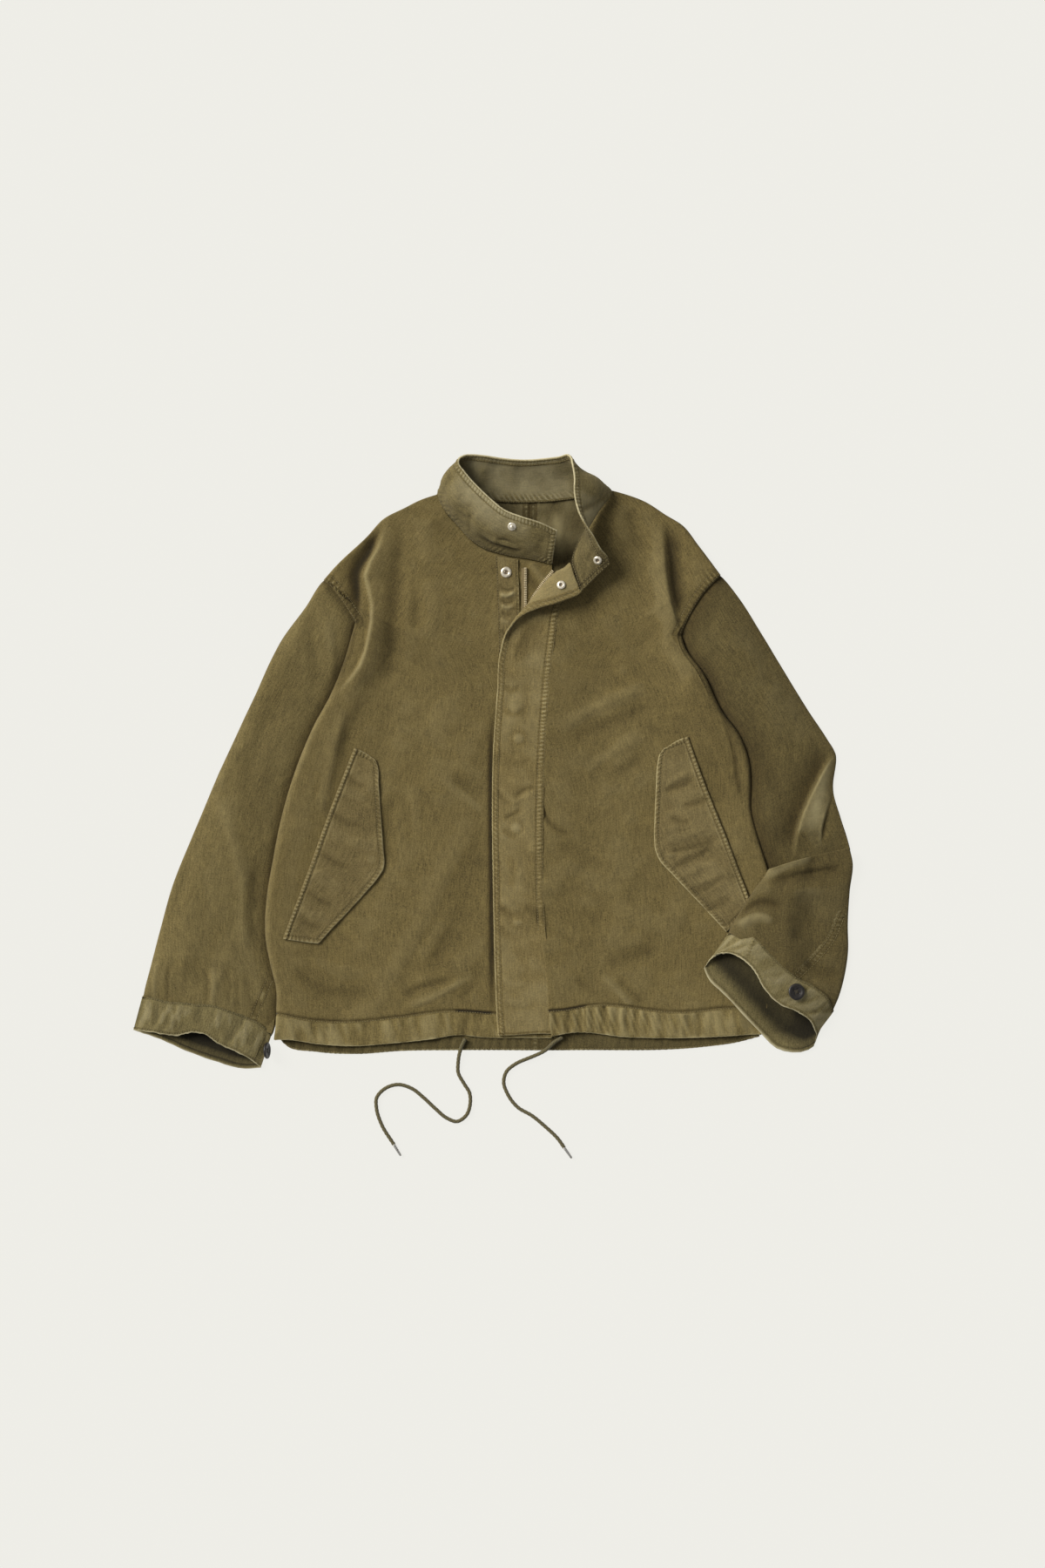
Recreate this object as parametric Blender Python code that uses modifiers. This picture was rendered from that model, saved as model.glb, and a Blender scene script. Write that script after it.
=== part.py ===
"""A field jacket laid flat on its back, front up, modelled piece by piece.

Right and left are the wearer's own.  -X is the wearer's right, +Y the neck, +Z up.
The origin is on the floor, at the middle of the jacket's outline without its cords.
Every table is in millimetres.
"""
import math

import bpy
import numpy as np
from mathutils import Matrix, Vector

MM = 0.001

# Cloth and air
SEAM = 0.3             # air between two pieces that are sewn together
PLY = 1.6              # one layer of heavy twill with its turnings
SLEEVE_PLY = 1.3
DOUBLE_PLY = 2.4       # two layers stitched together: flap, hem casing, cuff
COLLAR_PLY = 2.6
TAPE = 1.0             # woven zip tape

# Heights above the floor
BACK_TOP = PLY
FRONT_FLOOR = BACK_TOP + SEAM
PLACKET_TOP = 4.0      # right front where the placket lies on it
CHEST_TOP = 6.4        # both fronts over the chest, close above the back
FLY_TOP = 8.7          # left front and fly flap, over the placket and the zip
HEM_FLOOR = DOUBLE_PLY + SEAM
HEM_RISE = 1.3         # the casing stands this much above its front
ROLL_FADE = 40.0       # how far in from a rolled side the cloth comes down
FLAP_AIR = 0.6         # air between a pocket flap and the front that it lies on
SIDE_TUCK = 0.6        # how far a sleeve reaches in below a rolled side
BACK_INSET = 3.0       # how far the back stays inside a rolled side
# Where, and over what width, each front changes height beside the placket or the fly
PLACKET_RISE_X, PLACKET_RISE = -5.0, 70.0
FLY_RISE_X, FLY_RISE = 130.0, 55.0

# Metal and buttons
CORD_THICK = 4.4
BUTTON_WIDE = 20.0
BUTTON_THICK = 4.0

OLIVE = (0.171, 0.127, 0.049)
OLIVE_WORN = (0.215, 0.170, 0.075)
OLIVE_TAPE = (0.120, 0.095, 0.045)
NICKEL = (0.62, 0.60, 0.56)
HORN = (0.020, 0.017, 0.015)

# The jacket's two sides, from the neck point down: x, y, radius of the rolled edge.
SIDE_RIGHT = {
    "shoulder": [(-65.5, 323, 2.5), (-86.5, 316, 2.5), (-106.5, 306, 2.5), (-132, 292.5, 2.8),
                 (-150.5, 272.5, 3.0), (-189.5, 235.5, 3.2), (-204, 219, 3.5)],
    "armhole": [(-204, 219, 3.5), (-195, 211.5, 4.0), (-187.5, 201, 4.0), (-175, 183, 4.5),
                (-165.5, 168.5, 5.0)],
    "side": [(-165.5, 168.5, 5.0), (-170.5, 150.5, 6.0), (-179, 121.5, 7.0), (-195, 81.5, 7.0),
             (-216, 42.5, 7.0), (-228.5, 14, 7.0), (-239, -14, 7.0), (-255.5, -71, 7.0), (-266, -124.5, 7.0),
             (-272.5, -164.5, 7.0), (-273.5, -214.5, 7.0), (-267, -248.5, 6.5), (-261, -273.5, 6.0),
             (-261, -304, 5.0)],
    "hem": [(-261, -304, 5.0), (-262, -321, 4.5), (-264, -335.5, 4.0)],
}
SIDE_LEFT = {
    "shoulder": [(141, 328, 2.5), (156, 324, 2.5), (184.5, 313.5, 2.5), (209.5, 297.5, 2.8),
                 (229.5, 285, 3.0), (248.5, 261, 3.2), (275.5, 225, 3.5)],
    "armhole": [(275.5, 225, 3.5), (254.5, 202, 4.0), (240, 179, 4.5), (227.5, 153, 5.0)],
    "side": [(227.5, 153, 5.0), (231.5, 140, 6.0), (254.5, 106.5, 7.0), (276.5, 61.5, 7.0), (298.5, 31, 7.0),
             (309, 2.5, 6.0), (311.5, -27, 5.5), (311.5, -56, 5.0), (318.5, -86.5, 4.5), (327, -113, 4.0),
             (335.5, -142.5, 4.0), (339.5, -195, 4.0), (337.5, -247.5, 4.0), (332.5, -300, 4.0)],
    "hem": [(332.5, -300, 4.0), (330, -315.5, 4.0), (325, -329, 4.0)],
}
# Neck seams, from the neck point to the centre front: x, y.
NECK_RIGHT = [(-65.5, 323), (-56, 301), (-40.5, 283), (-25.5, 267), (-7, 254.5), (7, 251), (29, 247.5),
              (46.5, 244), (72, 238)]
NECK_LEFT = [(141, 328), (133, 312.5), (122.5, 292.5), (112, 275.5), (101.5, 246), (99, 221)]
NECK_BACK = [(-62.5, 324), (-37.5, 317.5), (3.5, 312.5), (43.5, 312), (96, 316.5), (120, 322), (139, 328)]
# Centre edges, top to bottom: x, y.
CENTRE_RIGHT = [(72, 238), (72, -27), (72, -303)]
CENTRE_LEFT = [(99, 221), (86.5, 202), (75, 183), (69, 145.5), (62.5, 88.5), (58.5, 25.5), (55, -58.5),
               (55, -132), (57, -195), (65.5, -263), (67.5, -300)]
# Hem seams and edges, side to centre: x, y.
HEM_SEAM_RIGHT = [(-261, -304), (-212.5, -311.5), (-162, -312.5), (-112, -307), (-49, -300), (3.5, -303),
                  (72, -303)]
HEM_EDGE_RIGHT = [(-264, -335.5), (-246, -335.5), (-212.5, -340.5), (-162, -343), (-128.5, -340.5),
                  (-78, -335.5), (-38.5, -330), (-15, -332.5), (36, -333.5), (72, -333.5)]
HEM_SEAM_LEFT = [(332.5, -300), (295.5, -296.5), (228.5, -301), (109.5, -294.5), (95, -297.5), (67.5, -300)]
HEM_EDGE_LEFT = [(325, -329), (228.5, -333.5), (161, -332.5), (95, -327), (71, -331.5)]
HEM_BACK_EDGE = [(-249.5, -342), (-212.5, -350), (-162, -352.5), (-112, -349), (-44.5, -348), (95, -348),
                 (255.5, -344), (295.5, -338.5), (322, -331.5)]
BACK_HEM_Y = -315
CENTRE_BACK_X = 45

# Soft ridges of the fronts: the points they run through, height, half width.
RIDGES_RIGHT = [
    {"line": [(-123.5, 282), (-138, 241), (-142.5, 193.5), (-153, 146.5), (-171.5, 101.5)],
     "height": 3.5, "wide": 16.0},
    {"line": [(-90, 288), (-92, 225), (-100.5, 162)], "height": 2.0, "wide": 22.0},
]
RIDGES_LEFT = [
    {"line": [(196, 275.5), (200, 224), (207.5, 177), (221, 141)], "height": 3.5, "wide": 16.0},
    {"line": [(164.5, 288), (188.5, 262)], "height": 2.0, "wide": 18.0},
]

# Sleeves, shoulder to wrist.  outer x, y: the free edge; inner y: where it meets the body's
# side; height of the flattened tube.
SLEEVE_RIGHT = [
    (-205.5, 217, 166, 9.9), (-225, 187.5, 144, 12.0), (-253.5, 148.5, 116, 14.0), (-267, 123.5, 92, 14.0),
    (-286, 81.5, 56, 14.0), (-308, 34, 17, 14.0), (-329, -11, -12, 14.0), (-346, -51, -50, 14.0),
    (-363, -91, -88, 14.0), (-387, -151.5, -144, 14.0), (-400.5, -200, -191, 14.0),
    (-413, -248.5, -232, 13.0), (-419.5, -273.5, -279, 12.0), (-421.5, -283, -325, 11.0),
]
SLEEVE_LEFT_UPPER = [
    (276.5, 223, 151, 9.9), (296.5, 199, 129, 12.0), (325, 154, 97, 14.0), (352.5, 108.5, 66, 14.0),
    (380.5, 62.5, 34, 14.0), (403.5, 28, 3, 14.0), (414, 9, -27, 14.0), (411, -32, -58, 13.0),
    (420.5, -69, -90, 12.0), (428, -92, -116, 9.5), (432, -106.5, -138, 7.5),
]
# Rows that lie on the body: left x, y; right x, y; height; floor under the left and the right
# end; share of the width that the left floor carries; how far the top and the bottom layer
# bulge towards the wrist.
FOREARM_LEFT = [
    ((333.5, -132), (433, -103.5), 9.0, 11.5, 8.2, 0.30, -4.0, 0.0),
    ((317.5, -151.5), (435, -123.5), 11.0, 13.0, 7.0, 0.32, 0.0, 0.0),
    ((302, -174), (431, -157), 14.0, 13.4, 2.0, 0.38, 0.0, 0.0),
    ((290.5, -193.5), (429, -197), 15.0, 13.3, 0.0, 0.42, 0.0, 0.0),
    ((286, -201), (429, -231.5), 15.0, 13.3, 0.0, 0.45, 0.0, 0.0),
    ((285, -204), (420.5, -275.5), 15.0, 13.3, 0.0, 0.48, 0.0, 0.0),
    ((284, -206.5), (411, -302), 15.0, 13.3, 0.0, 0.50, 0.0, 0.0),
]
CUFF_LEFT = [
    ((283, -207.5), (410, -303), 15.0, 13.3, 0.0, 0.50, 0.0, 0.0),
    ((273.5, -221), (403.5, -315.5), 19.0, 13.3, 0.0, 0.54, -3.0, 5.0),
    ((254.5, -248.5), (392, -338.5), 24.0, 13.0, 0.0, 0.62, -16.0, 14.0),
]
CUFF_RIGHT = [
    ((-421.5, -284), (-265, -329), 11.0, 0.0, 0.0, 0.50, 0.0, 0.0),
    ((-426, -297.5), (-270.5, -343), 12.0, 0.0, 0.0, 0.50, -4.0, 1.0),
    ((-433, -324), (-281, -370), 13.0, 0.0, 0.0, 0.50, -20.0, 4.0),
]

# Collar, from its right end round the neck to its left end: seam x, y, z; top edge x, y, z;
# how far the band bows outwards between them.
COLLAR = [
    ((72, 238), 6.2, (78, 277.5), 34.0, 4.0),
    ((46.5, 244), 6.2, (55, 288), 38.0, 5.0),
    ((25.5, 247.5), 6.2, (34, 294.5), 40.0, 5.0),
    ((7, 251.5), 6.2, (15, 302), 41.0, 5.0),
    ((-11, 258), 6.6, (1.5, 312.5), 41.0, 5.0),
    ((-25.5, 267), 7.2, (-10, 323), 41.0, 5.0),
    ((-40.5, 283), 8.2, (-21.5, 334.5), 41.0, 5.0),
    ((-56, 301), 8.8, (-33, 348), 41.0, 6.0),
    ((-64.5, 316.5), 8.7, (-40.5, 359.5), 40.0, 7.0),
    ((-65.5, 325), 8.4, (-39.5, 365), 39.0, 7.0),
    ((-59.5, 328), 6.0, (-34, 368), 37.0, 5.0),
    ((-43.5, 323), 3.3, (-24.5, 369), 34.0, 3.0),
    ((-21.5, 316.5), 3.1, (-9, 368), 32.0, 3.0),
    ((3.5, 313.5), 3.1, (11, 365), 30.0, 3.0),
    ((43.5, 312.5), 3.1, (39.5, 363), 29.0, 3.0),
    ((78, 314.5), 3.1, (67.5, 365), 31.0, 3.0),
    ((104.5, 318.5), 3.3, (81.5, 367), 34.0, 3.0),
    ((126.5, 326), 5.0, (90, 369), 38.0, 4.0),
    ((140, 330), 8.6, (94, 366), 42.0, 5.0),
    ((144.5, 324), 8.6, (96, 357.5), 45.0, 6.0),
    ((139, 315.5), 8.9, (98, 342), 47.0, 6.0),
    ((130.5, 305), 9.2, (98, 324), 48.0, 6.0),
    ((121.5, 291.5), 10.0, (101.5, 306), 48.0, 6.0),
    ((111, 274.5), 12.4, (109.5, 288), 47.0, 5.0),
    ((100.5, 255.5), 16.0, (121.5, 270.5), 44.0, 4.0),
    ((96, 241), 19.5, (130.5, 255.5), 39.0, 3.0),
    ((100.5, 223), 22.5, (139, 245), 33.0, 2.0),
    ((106.5, 204), 23.5, (141, 238), 29.0, 1.0),
]

# Fly flap, hem to neck.  Five points across each row, from the sewn edge to the free edge,
# which curls back over the front near the neck: x, y, z.
FLY_FLAP = [
    [(69, -328, 8.7), (53, -328, 8.7), (37.5, -329, 8.7), (21.5, -330, 8.7), (7, -330, 8.7)],
    [(66, -300, 8.7), (50, -301, 8.7), (35, -302, 8.7), (20.5, -302, 8.7), (5, -303, 8.7)],
    [(64, -263, 8.7), (49, -265, 8.7), (34, -266, 8.7), (18.5, -267, 8.7), (3.5, -268.5, 8.7)],
    [(55.5, -195, 8.7), (42.5, -195, 8.7), (29, -195, 8.7), (15, -195, 8.7), (1.5, -195, 8.7)],
    [(53.5, -132, 8.7), (40.5, -132, 8.7), (27, -132, 8.7), (13, -132, 8.7), (0.5, -132, 8.7)],
    [(53.5, -58.5, 8.7), (40.5, -58.5, 8.7), (27, -58.5, 8.7), (13, -58.5, 8.7), (-0.5, -58.5, 8.7)],
    [(56.5, 25.5, 8.7), (43.5, 25.5, 8.7), (30, 25.5, 8.7), (16.5, 25.5, 8.7), (1.5, 25.5, 8.7)],
    [(61, 88.5, 8.7), (48, 88.5, 8.8), (34, 88.5, 9.0), (19.5, 88.5, 9.0), (6, 88.5, 8.7)],
    [(66, 136, 8.7), (49, 130.5, 10.2), (32, 128.5, 10.6), (19.5, 127.5, 10.6), (9, 129.5, 11.6)],
    [(69, 160, 8.7), (50, 154, 10.2), (32, 151.5, 11.2), (18.5, 153, 13.0), (19.5, 157, 17.0)],
    [(72, 178.5, 8.8), (55, 174, 10.0), (36, 172.5, 11.5), (30, 172.5, 16.0), (38.5, 177, 19.0)],
    [(78, 192.5, 9.0), (64.5, 191.5, 10.5), (48, 193.5, 12.5), (50, 190.5, 18.5), (59.5, 185.5, 21.0)],
    [(84.5, 204.5, 9.6), (75, 207.5, 11.0), (62.5, 212.5, 14.0), (67.5, 204, 20.5), (77, 190.5, 22.0)],
    [(90, 215, 10.6), (85.5, 220, 12.0), (78, 227.5, 16.0), (83.5, 214.5, 22.5), (92, 196, 23.0)],
    [(92.5, 222.5, 11.6), (94, 227.5, 14.5), (91, 234.5, 19.0), (95, 219, 23.0), (103.5, 201, 23.5)],
]

# Under placket and zip tapes: left edge and right edge, top to bottom: x, y.
PLACKET_LEFT_EDGE = [(3.5, 248.5), (7, 163.5), (6, -132), (7, -301)]
PLACKET_RIGHT_EDGE = [(31, 244), (33, 174), (33, -132), (33, -301)]
TAPE_RIGHT_EDGES = ([(35, 233.5), (35, -301)], [(40, 233.5), (40, -301)])
TAPE_LEFT_EDGES = ([(74, 228.5), (59.5, 209.5), (44.5, 184.5), (42, 160), (41.5, 130.5), (41.5, 78),
                    (41.5, -301)],
                   [(81.5, 221), (67.5, 202), (53, 177), (50.5, 155), (50, 126.5), (50, 78), (50, -301)])
SLIDER_PLACE = (41, 143.5)
SLIDER_SIZE = (7.0, 10.0, 1.4)
SLIDER_HEIGHT = 6.4
SLIDER_EDGE = 0.3

# Pocket flaps: sewn edge top to bottom, and the free edges: x, y.
FLAP_RIGHT = {
    "sewn": [(-166.5, 17.5), (-195, -56), (-223, -134), (-252.5, -213.5)],
    "top": [(-166.5, 17.5), (-151.5, 9), (-137, -0.5)],
    "free": [(-137, -0.5), (-133, -16.5), (-130.5, -64.5), (-129.5, -116), (-135, -136), (-171.5, -178),
             (-209.5, -221)],
    "end": [(-252.5, -213.5), (-232.5, -217), (-209.5, -221)],
}
FLAP_LEFT = {
    "sewn": [(235.5, 31), (256.5, -27), (284, -96), (313.5, -174)],
    "top": [(235.5, 31), (222, 24.5), (208.5, 16.5)],
    "free": [(208.5, 16.5), (202, 4.5), (197, -64.5), (195, -108.5), (203, -123.5), (241, -163.5),
             (282, -205.5)],
    "end": [(313.5, -174), (298.5, -190.5), (282, -205.5)],
}

# Drawcords, from the hem edge to the metal tip: x, y, height of the middle of the cord.
CORD_LOW = CORD_THICK / 2 + 0.05
CORD_HIGH = HEM_FLOOR + CORD_THICK / 2 + 0.3
CORD_RIGHT = [(-33, -334.5, CORD_HIGH), (-37.5, -344, CORD_HIGH), (-40, -352.5, 4.6), (-41.5, -363, CORD_LOW),
              (-41.5, -374.5, CORD_LOW), (-34, -389, CORD_LOW), (-28, -399, CORD_LOW),
              (-27, -413, CORD_LOW), (-32, -427, CORD_LOW), (-43, -434, CORD_LOW),
              (-55, -430, CORD_LOW), (-69, -418.5, CORD_LOW), (-83.5, -405, CORD_LOW),
              (-97, -394.5, CORD_LOW), (-114.5, -389.5, CORD_LOW), (-130, -394.5, CORD_LOW),
              (-140, -406, CORD_LOW), (-140, -418.5, CORD_LOW), (-134, -437.5, CORD_LOW),
              (-119, -462, CORD_LOW)]
CORD_LEFT = [(84.5, -332, CORD_HIGH), (75, -338, CORD_HIGH), (63, -348.5, CORD_HIGH), (51, -354.5, 3.4),
             (42.5, -358, CORD_LOW), (28, -364.5, CORD_LOW), (16.5, -374.5, CORD_LOW),
             (13.5, -387, CORD_LOW), (18, -400.5, CORD_LOW), (30, -416.5, CORD_LOW),
             (47.5, -427, CORD_LOW), (64.5, -441, CORD_LOW), (79, -455, CORD_LOW),
             (86.5, -465.5, CORD_LOW)]
AGLET_LONG = 16.0

# Metal and buttons, where they show in plan: x, y.
SNAP_PLACES = {
    "snap_placket_post": (17, 228.5),
    "snap_collar_stud": (24, 282),
    "snap_collar_socket": (126.5, 242),
    "snap_fly_socket": (83.5, 211.5),
}
BUTTON_LEFT_PLACE = (365, -276.5)
BUTTON_RIGHT_PLACE = (-273.5, -348, 10.6)
BUTTON_LIFT = 1.6      # the cuff curves away below the button
FLY_SOCKET_LIFT = 1.3  # above the flap's mean line, where it curls
BUTTON_RIGHT_TILT = math.radians(72.0)
CORD_STEP = 11.0


# ---------------------------------------------------------------- curves and surfaces

def smooth(points, count):
    """Evenly spaced points on a smooth curve through the given ones."""
    given = np.array(points, float)
    run = np.concatenate([[0.0], np.cumsum(np.linalg.norm(np.diff(given, axis=0), axis=1))])
    slope = np.gradient(given, run, axis=0)
    fine = np.linspace(0.0, run[-1], 16 * len(given) + 1)
    cell = np.clip(np.searchsorted(run, fine, side="right") - 1, 0, len(run) - 2)
    step = (run[cell + 1] - run[cell])[:, None]
    t = (fine - run[cell])[:, None] / step
    curve = ((2 * t**3 - 3 * t**2 + 1) * given[cell] + (t**3 - 2 * t**2 + t) * step * slope[cell]
             + (3 * t**2 - 2 * t**3) * given[cell + 1] + (t**3 - t**2) * step * slope[cell + 1])
    return resample(curve, count)


def resample(curve, count):
    """The same line with a given number of evenly spaced points."""
    run = np.concatenate([[0.0], np.cumsum(np.linalg.norm(np.diff(curve, axis=0), axis=1))])
    places = np.linspace(0.0, run[-1], count)
    return np.stack([np.interp(places, run, curve[:, axis]) for axis in range(curve.shape[1])], axis=1)


def joined(strokes, count):
    """Smooth strokes end to end, with their corners kept; the points are shared by length."""
    lengths = [np.linalg.norm(np.diff(np.array(s)[:, :2], axis=0), axis=1).sum() for s in strokes]
    shares = [max(2, round((count - 1) * length / sum(lengths))) for length in lengths]
    shares[-1] += (count - 1) - sum(shares)
    pieces = [smooth(stroke, share + 1) for stroke, share in zip(strokes, shares)]
    return np.concatenate([pieces[0]] + [piece[1:] for piece in pieces[1:]])


def ease(value):
    """0 to 1 with level ends."""
    t = np.clip(value, 0.0, 1.0)
    return t * t * (3.0 - 2.0 * t)


def patch(left, right, top, bottom):
    """A four-sided patch between two side lines and two cross lines, row by row."""
    down = np.linspace(0.0, 1.0, len(left))[:, None, None]
    across = np.linspace(0.0, 1.0, len(top))[None, :, None]
    sides = (1 - across) * left[:, None] + across * right[:, None]
    ends = (1 - down) * top[None] + down * bottom[None]
    corners = ((1 - across) * (1 - down) * left[0] + across * (1 - down) * right[0]
               + (1 - across) * down * left[-1] + across * down * right[-1])
    return sides + ends - corners


def loft(table, rows, columns):
    """A smooth surface through a table of rows of points."""
    table = np.array(table, float)
    lines = np.stack([smooth(table[:, k], rows) for k in range(table.shape[1])], axis=1)
    return np.stack([smooth(line, columns) for line in lines])


def line_distance(x, y, line):
    """Distance in plan from points to a line of points."""
    nearest = np.full(np.shape(x), np.inf)
    for (ax, ay), (bx, by) in zip(line[:-1], line[1:]):
        span = (bx - ax)**2 + (by - ay)**2
        t = np.clip(((x - ax) * (bx - ax) + (y - ay) * (by - ay)) / span, 0.0, 1.0)
        nearest = np.minimum(nearest, np.hypot(x - ax - t * (bx - ax), y - ay - t * (by - ay)))
    return nearest


# ---------------------------------------------------------------- the lie of the cloth

class Side:
    """One rolled side of the body: where it lies and how thick its roll is, at any height up it."""

    def __init__(self, strokes, inward):
        self.strokes = strokes
        self.inward = inward
        line = joined([strokes[name] for name in ("shoulder", "armhole", "side", "hem")], 200)
        self.line = line[np.argsort(line[:, 1])]

    def x(self, y):
        return np.interp(y, self.line[:, 1], self.line[:, 0])

    def roll(self, y):
        return np.interp(y, self.line[:, 1], self.line[:, 2])


RIGHT = Side(SIDE_RIGHT, 1.0)
LEFT = Side(SIDE_LEFT, -1.0)


def front_top(side, x, y):
    """Height of a front's outer face at a place in plan."""
    x = np.asarray(x, float)
    y = np.asarray(y, float)
    if side is RIGHT:
        base = PLACKET_TOP + (CHEST_TOP - PLACKET_TOP) * ease((PLACKET_RISE_X - x) / PLACKET_RISE)
        ridges = RIDGES_RIGHT
    else:
        base = CHEST_TOP + (FLY_TOP - CHEST_TOP) * ease((FLY_RISE_X - x) / FLY_RISE)
        ridges = RIDGES_LEFT
    inside = np.maximum((x - side.x(y)) * side.inward - side.roll(y), 0.0)
    fade = np.exp(-(inside / ROLL_FADE)**2)
    height = base + (FRONT_FLOOR + 2 * side.roll(y) - base) * fade
    for ridge in ridges:
        away = line_distance(x, y, ridge["line"])
        height = height + ridge["height"] * (1 - fade) * np.exp(-(away / ridge["wide"])**2)
    return height


# ---------------------------------------------------------------- solids

def finish(name, colour, roughness, metallic):
    """The Principled material of one piece."""
    material = bpy.data.materials.new(name + "_finish")
    material.use_nodes = True
    shader = material.node_tree.nodes["Principled BSDF"]
    shader.inputs["Base Color"].default_value = (*colour, 1.0)
    shader.inputs["Roughness"].default_value = roughness
    shader.inputs["Metallic"].default_value = metallic
    return material


def place(name, data, colour, roughness=0.9, metallic=0.0):
    """Put a mesh or a curve in the jacket's collection, with its own material."""
    piece = bpy.data.objects.new(name, data)
    JACKET.objects.link(piece)
    data.materials.append(finish(name, colour, roughness, metallic))
    return piece


def sheet(name, grid, wall, colour, offset=-1.0, tube=False):
    """Cloth with its outer face on a grid of points; a tube's rows are closed rings."""
    rows, columns = grid.shape[:2]
    mesh = bpy.data.meshes.new(name)
    last = columns if tube else columns - 1
    faces = [(r * columns + c, r * columns + (c + 1) % columns,
              (r + 1) * columns + (c + 1) % columns, (r + 1) * columns + c)
             for r in range(rows - 1) for c in range(last)]
    mesh.from_pydata((grid.reshape(-1, 3) * MM).tolist(), [], faces)
    turn_outwards(mesh, tube)
    mesh.shade_smooth()
    piece = place(name, mesh, colour)
    cloth = piece.modifiers.new("cloth", "SOLIDIFY")
    cloth.thickness = wall * MM
    cloth.offset = offset
    cloth.use_even_offset = True
    cloth.thickness_clamp = 2.0
    return piece


def turn_outwards(mesh, tube):
    """Turn the faces up, or away from the middle of a tube."""
    middle = sum(vertex.co.z for vertex in mesh.vertices) / len(mesh.vertices)
    facing = 0.0
    for face in mesh.polygons:
        away = face.center.z - middle if tube else 1.0
        facing += face.normal.z * away * face.area
    if facing < 0.0:
        mesh.flip_normals()


def flat_piece(name, outline, low, high, colour):
    """Cloth cut to an outline, lying flat between two heights."""
    curve = bpy.data.curves.new(name, "CURVE")
    curve.dimensions = "2D"
    curve.fill_mode = "BOTH"
    curve.extrude = (high - low) / 2 * MM
    curve.render_resolution_u = 0
    spline = curve.splines.new("POLY")
    spline.points.add(len(outline) - 1)
    for point, (x, y) in zip(spline.points, outline):
        point.co = (x * MM, y * MM, 0.0, 1.0)
    spline.use_cyclic_u = True
    piece = place(name, curve, colour)
    piece.location.z = (low + high) / 2 * MM
    return piece


# ---------------------------------------------------------------- body

ROLL_ANGLES = np.radians([-90.0, -52.0, -14.0, 24.0, 60.0])


def rolled_edge(edge, side, floor):
    """Columns that turn a panel's side edge down and under."""
    x, y, radius = edge.T
    columns = []
    for angle in ROLL_ANGLES:
        plan = x + side.inward * radius * (1 - math.cos(angle))
        columns.append(np.stack([plan, y, floor + radius + radius * math.sin(angle)], axis=1))
    return np.stack(columns, axis=1)


def panel(edge, side, centre, top, bottom, rise, floor, columns):
    """A body panel from its rolled side to its centre edge."""
    inner = edge[:, :2] + np.stack([side.inward * edge[:, 2], np.zeros(len(edge))], axis=1)
    top_line = smooth([inner[0]] + list(top[1:]), columns)
    bottom_line = smooth([inner[-1]] + list(bottom[1:]), columns)
    plan = patch(inner, centre, top_line, bottom_line)
    height = front_top(side, plan[..., 0], plan[..., 1]) + rise
    field = np.concatenate([plan, height[..., None]], axis=2)
    return np.concatenate([rolled_edge(edge, side, floor), field], axis=1)


def make_front(name, side, centre, neck, hem, rows=26, columns=16):
    edge = joined([side.strokes[part] for part in ("shoulder", "armhole", "side")], rows)
    grid = panel(edge, side, smooth(centre, rows), neck, hem, 0.0, FRONT_FLOOR, columns)
    return sheet(name, grid, PLY, OLIVE)


def make_hem_front(name, side, seam, hem_edge, rows=4, columns=16):
    top = [(x, y - SEAM) for x, y in seam]
    edge = smooth(side.strokes["hem"], rows)
    edge[:, 1] -= SEAM * np.linspace(1.0, 0.0, rows)
    centre = smooth([top[-1], hem_edge[-1]], rows)
    grid = panel(edge, side, centre, top, hem_edge, HEM_RISE, HEM_FLOOR, columns)
    return sheet(name, grid, DOUBLE_PLY, OLIVE)


def sorted_line(points):
    """x and y of a line, in rising x, for reading y at any x."""
    line = np.array(sorted(points))
    return line[:, 0], line[:, 1]


def back_outline(side):
    """Half of the back: up the side, round the armhole and shoulder, along the neck, down the centre."""
    edge = np.concatenate([smooth(side.strokes[name], count)[:, :2]
                           for name, count in (("shoulder", 9), ("armhole", 5), ("side", 18))])
    inset = BACK_INSET * np.linspace(0.5, 1.0, len(edge))
    edge[:, 0] += side.inward * inset
    edge[-1, 1] = BACK_HEM_Y
    neck = [point for point in smooth(NECK_BACK, 25) if (CENTRE_BACK_X - point[0]) * side.inward > SEAM]
    if side is LEFT:
        neck = neck[::-1]
    middle = CENTRE_BACK_X - side.inward * SEAM / 2
    neck_y = np.interp(middle, *sorted_line(NECK_BACK))
    return list(edge[::-1]) + neck + [(middle, neck_y), (middle, BACK_HEM_Y)]


def make_hem_back():
    top = BACK_HEM_Y - SEAM
    first = (RIGHT.x(top) + BACK_INSET, top)
    last = (LEFT.x(top) - BACK_INSET, top)
    outline = [first] + list(smooth(HEM_BACK_EDGE, 26)) + [last]
    return flat_piece("hem_back", outline, 0.0, DOUBLE_PLY, OLIVE)


# ---------------------------------------------------------------- sleeves and cuffs

RING = 28
RING_TIP = 2.6         # height of a flattened tube's two folded edges
RING_FULLNESS = 0.9    # below 1 the top layer stands up more steeply at the edges
RING_TURN_UNDER = 5.0  # above 1 the underside comes down to its floor sooner
FLOOR_STEP = 0.3       # share of the width over which the floor changes height


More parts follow.
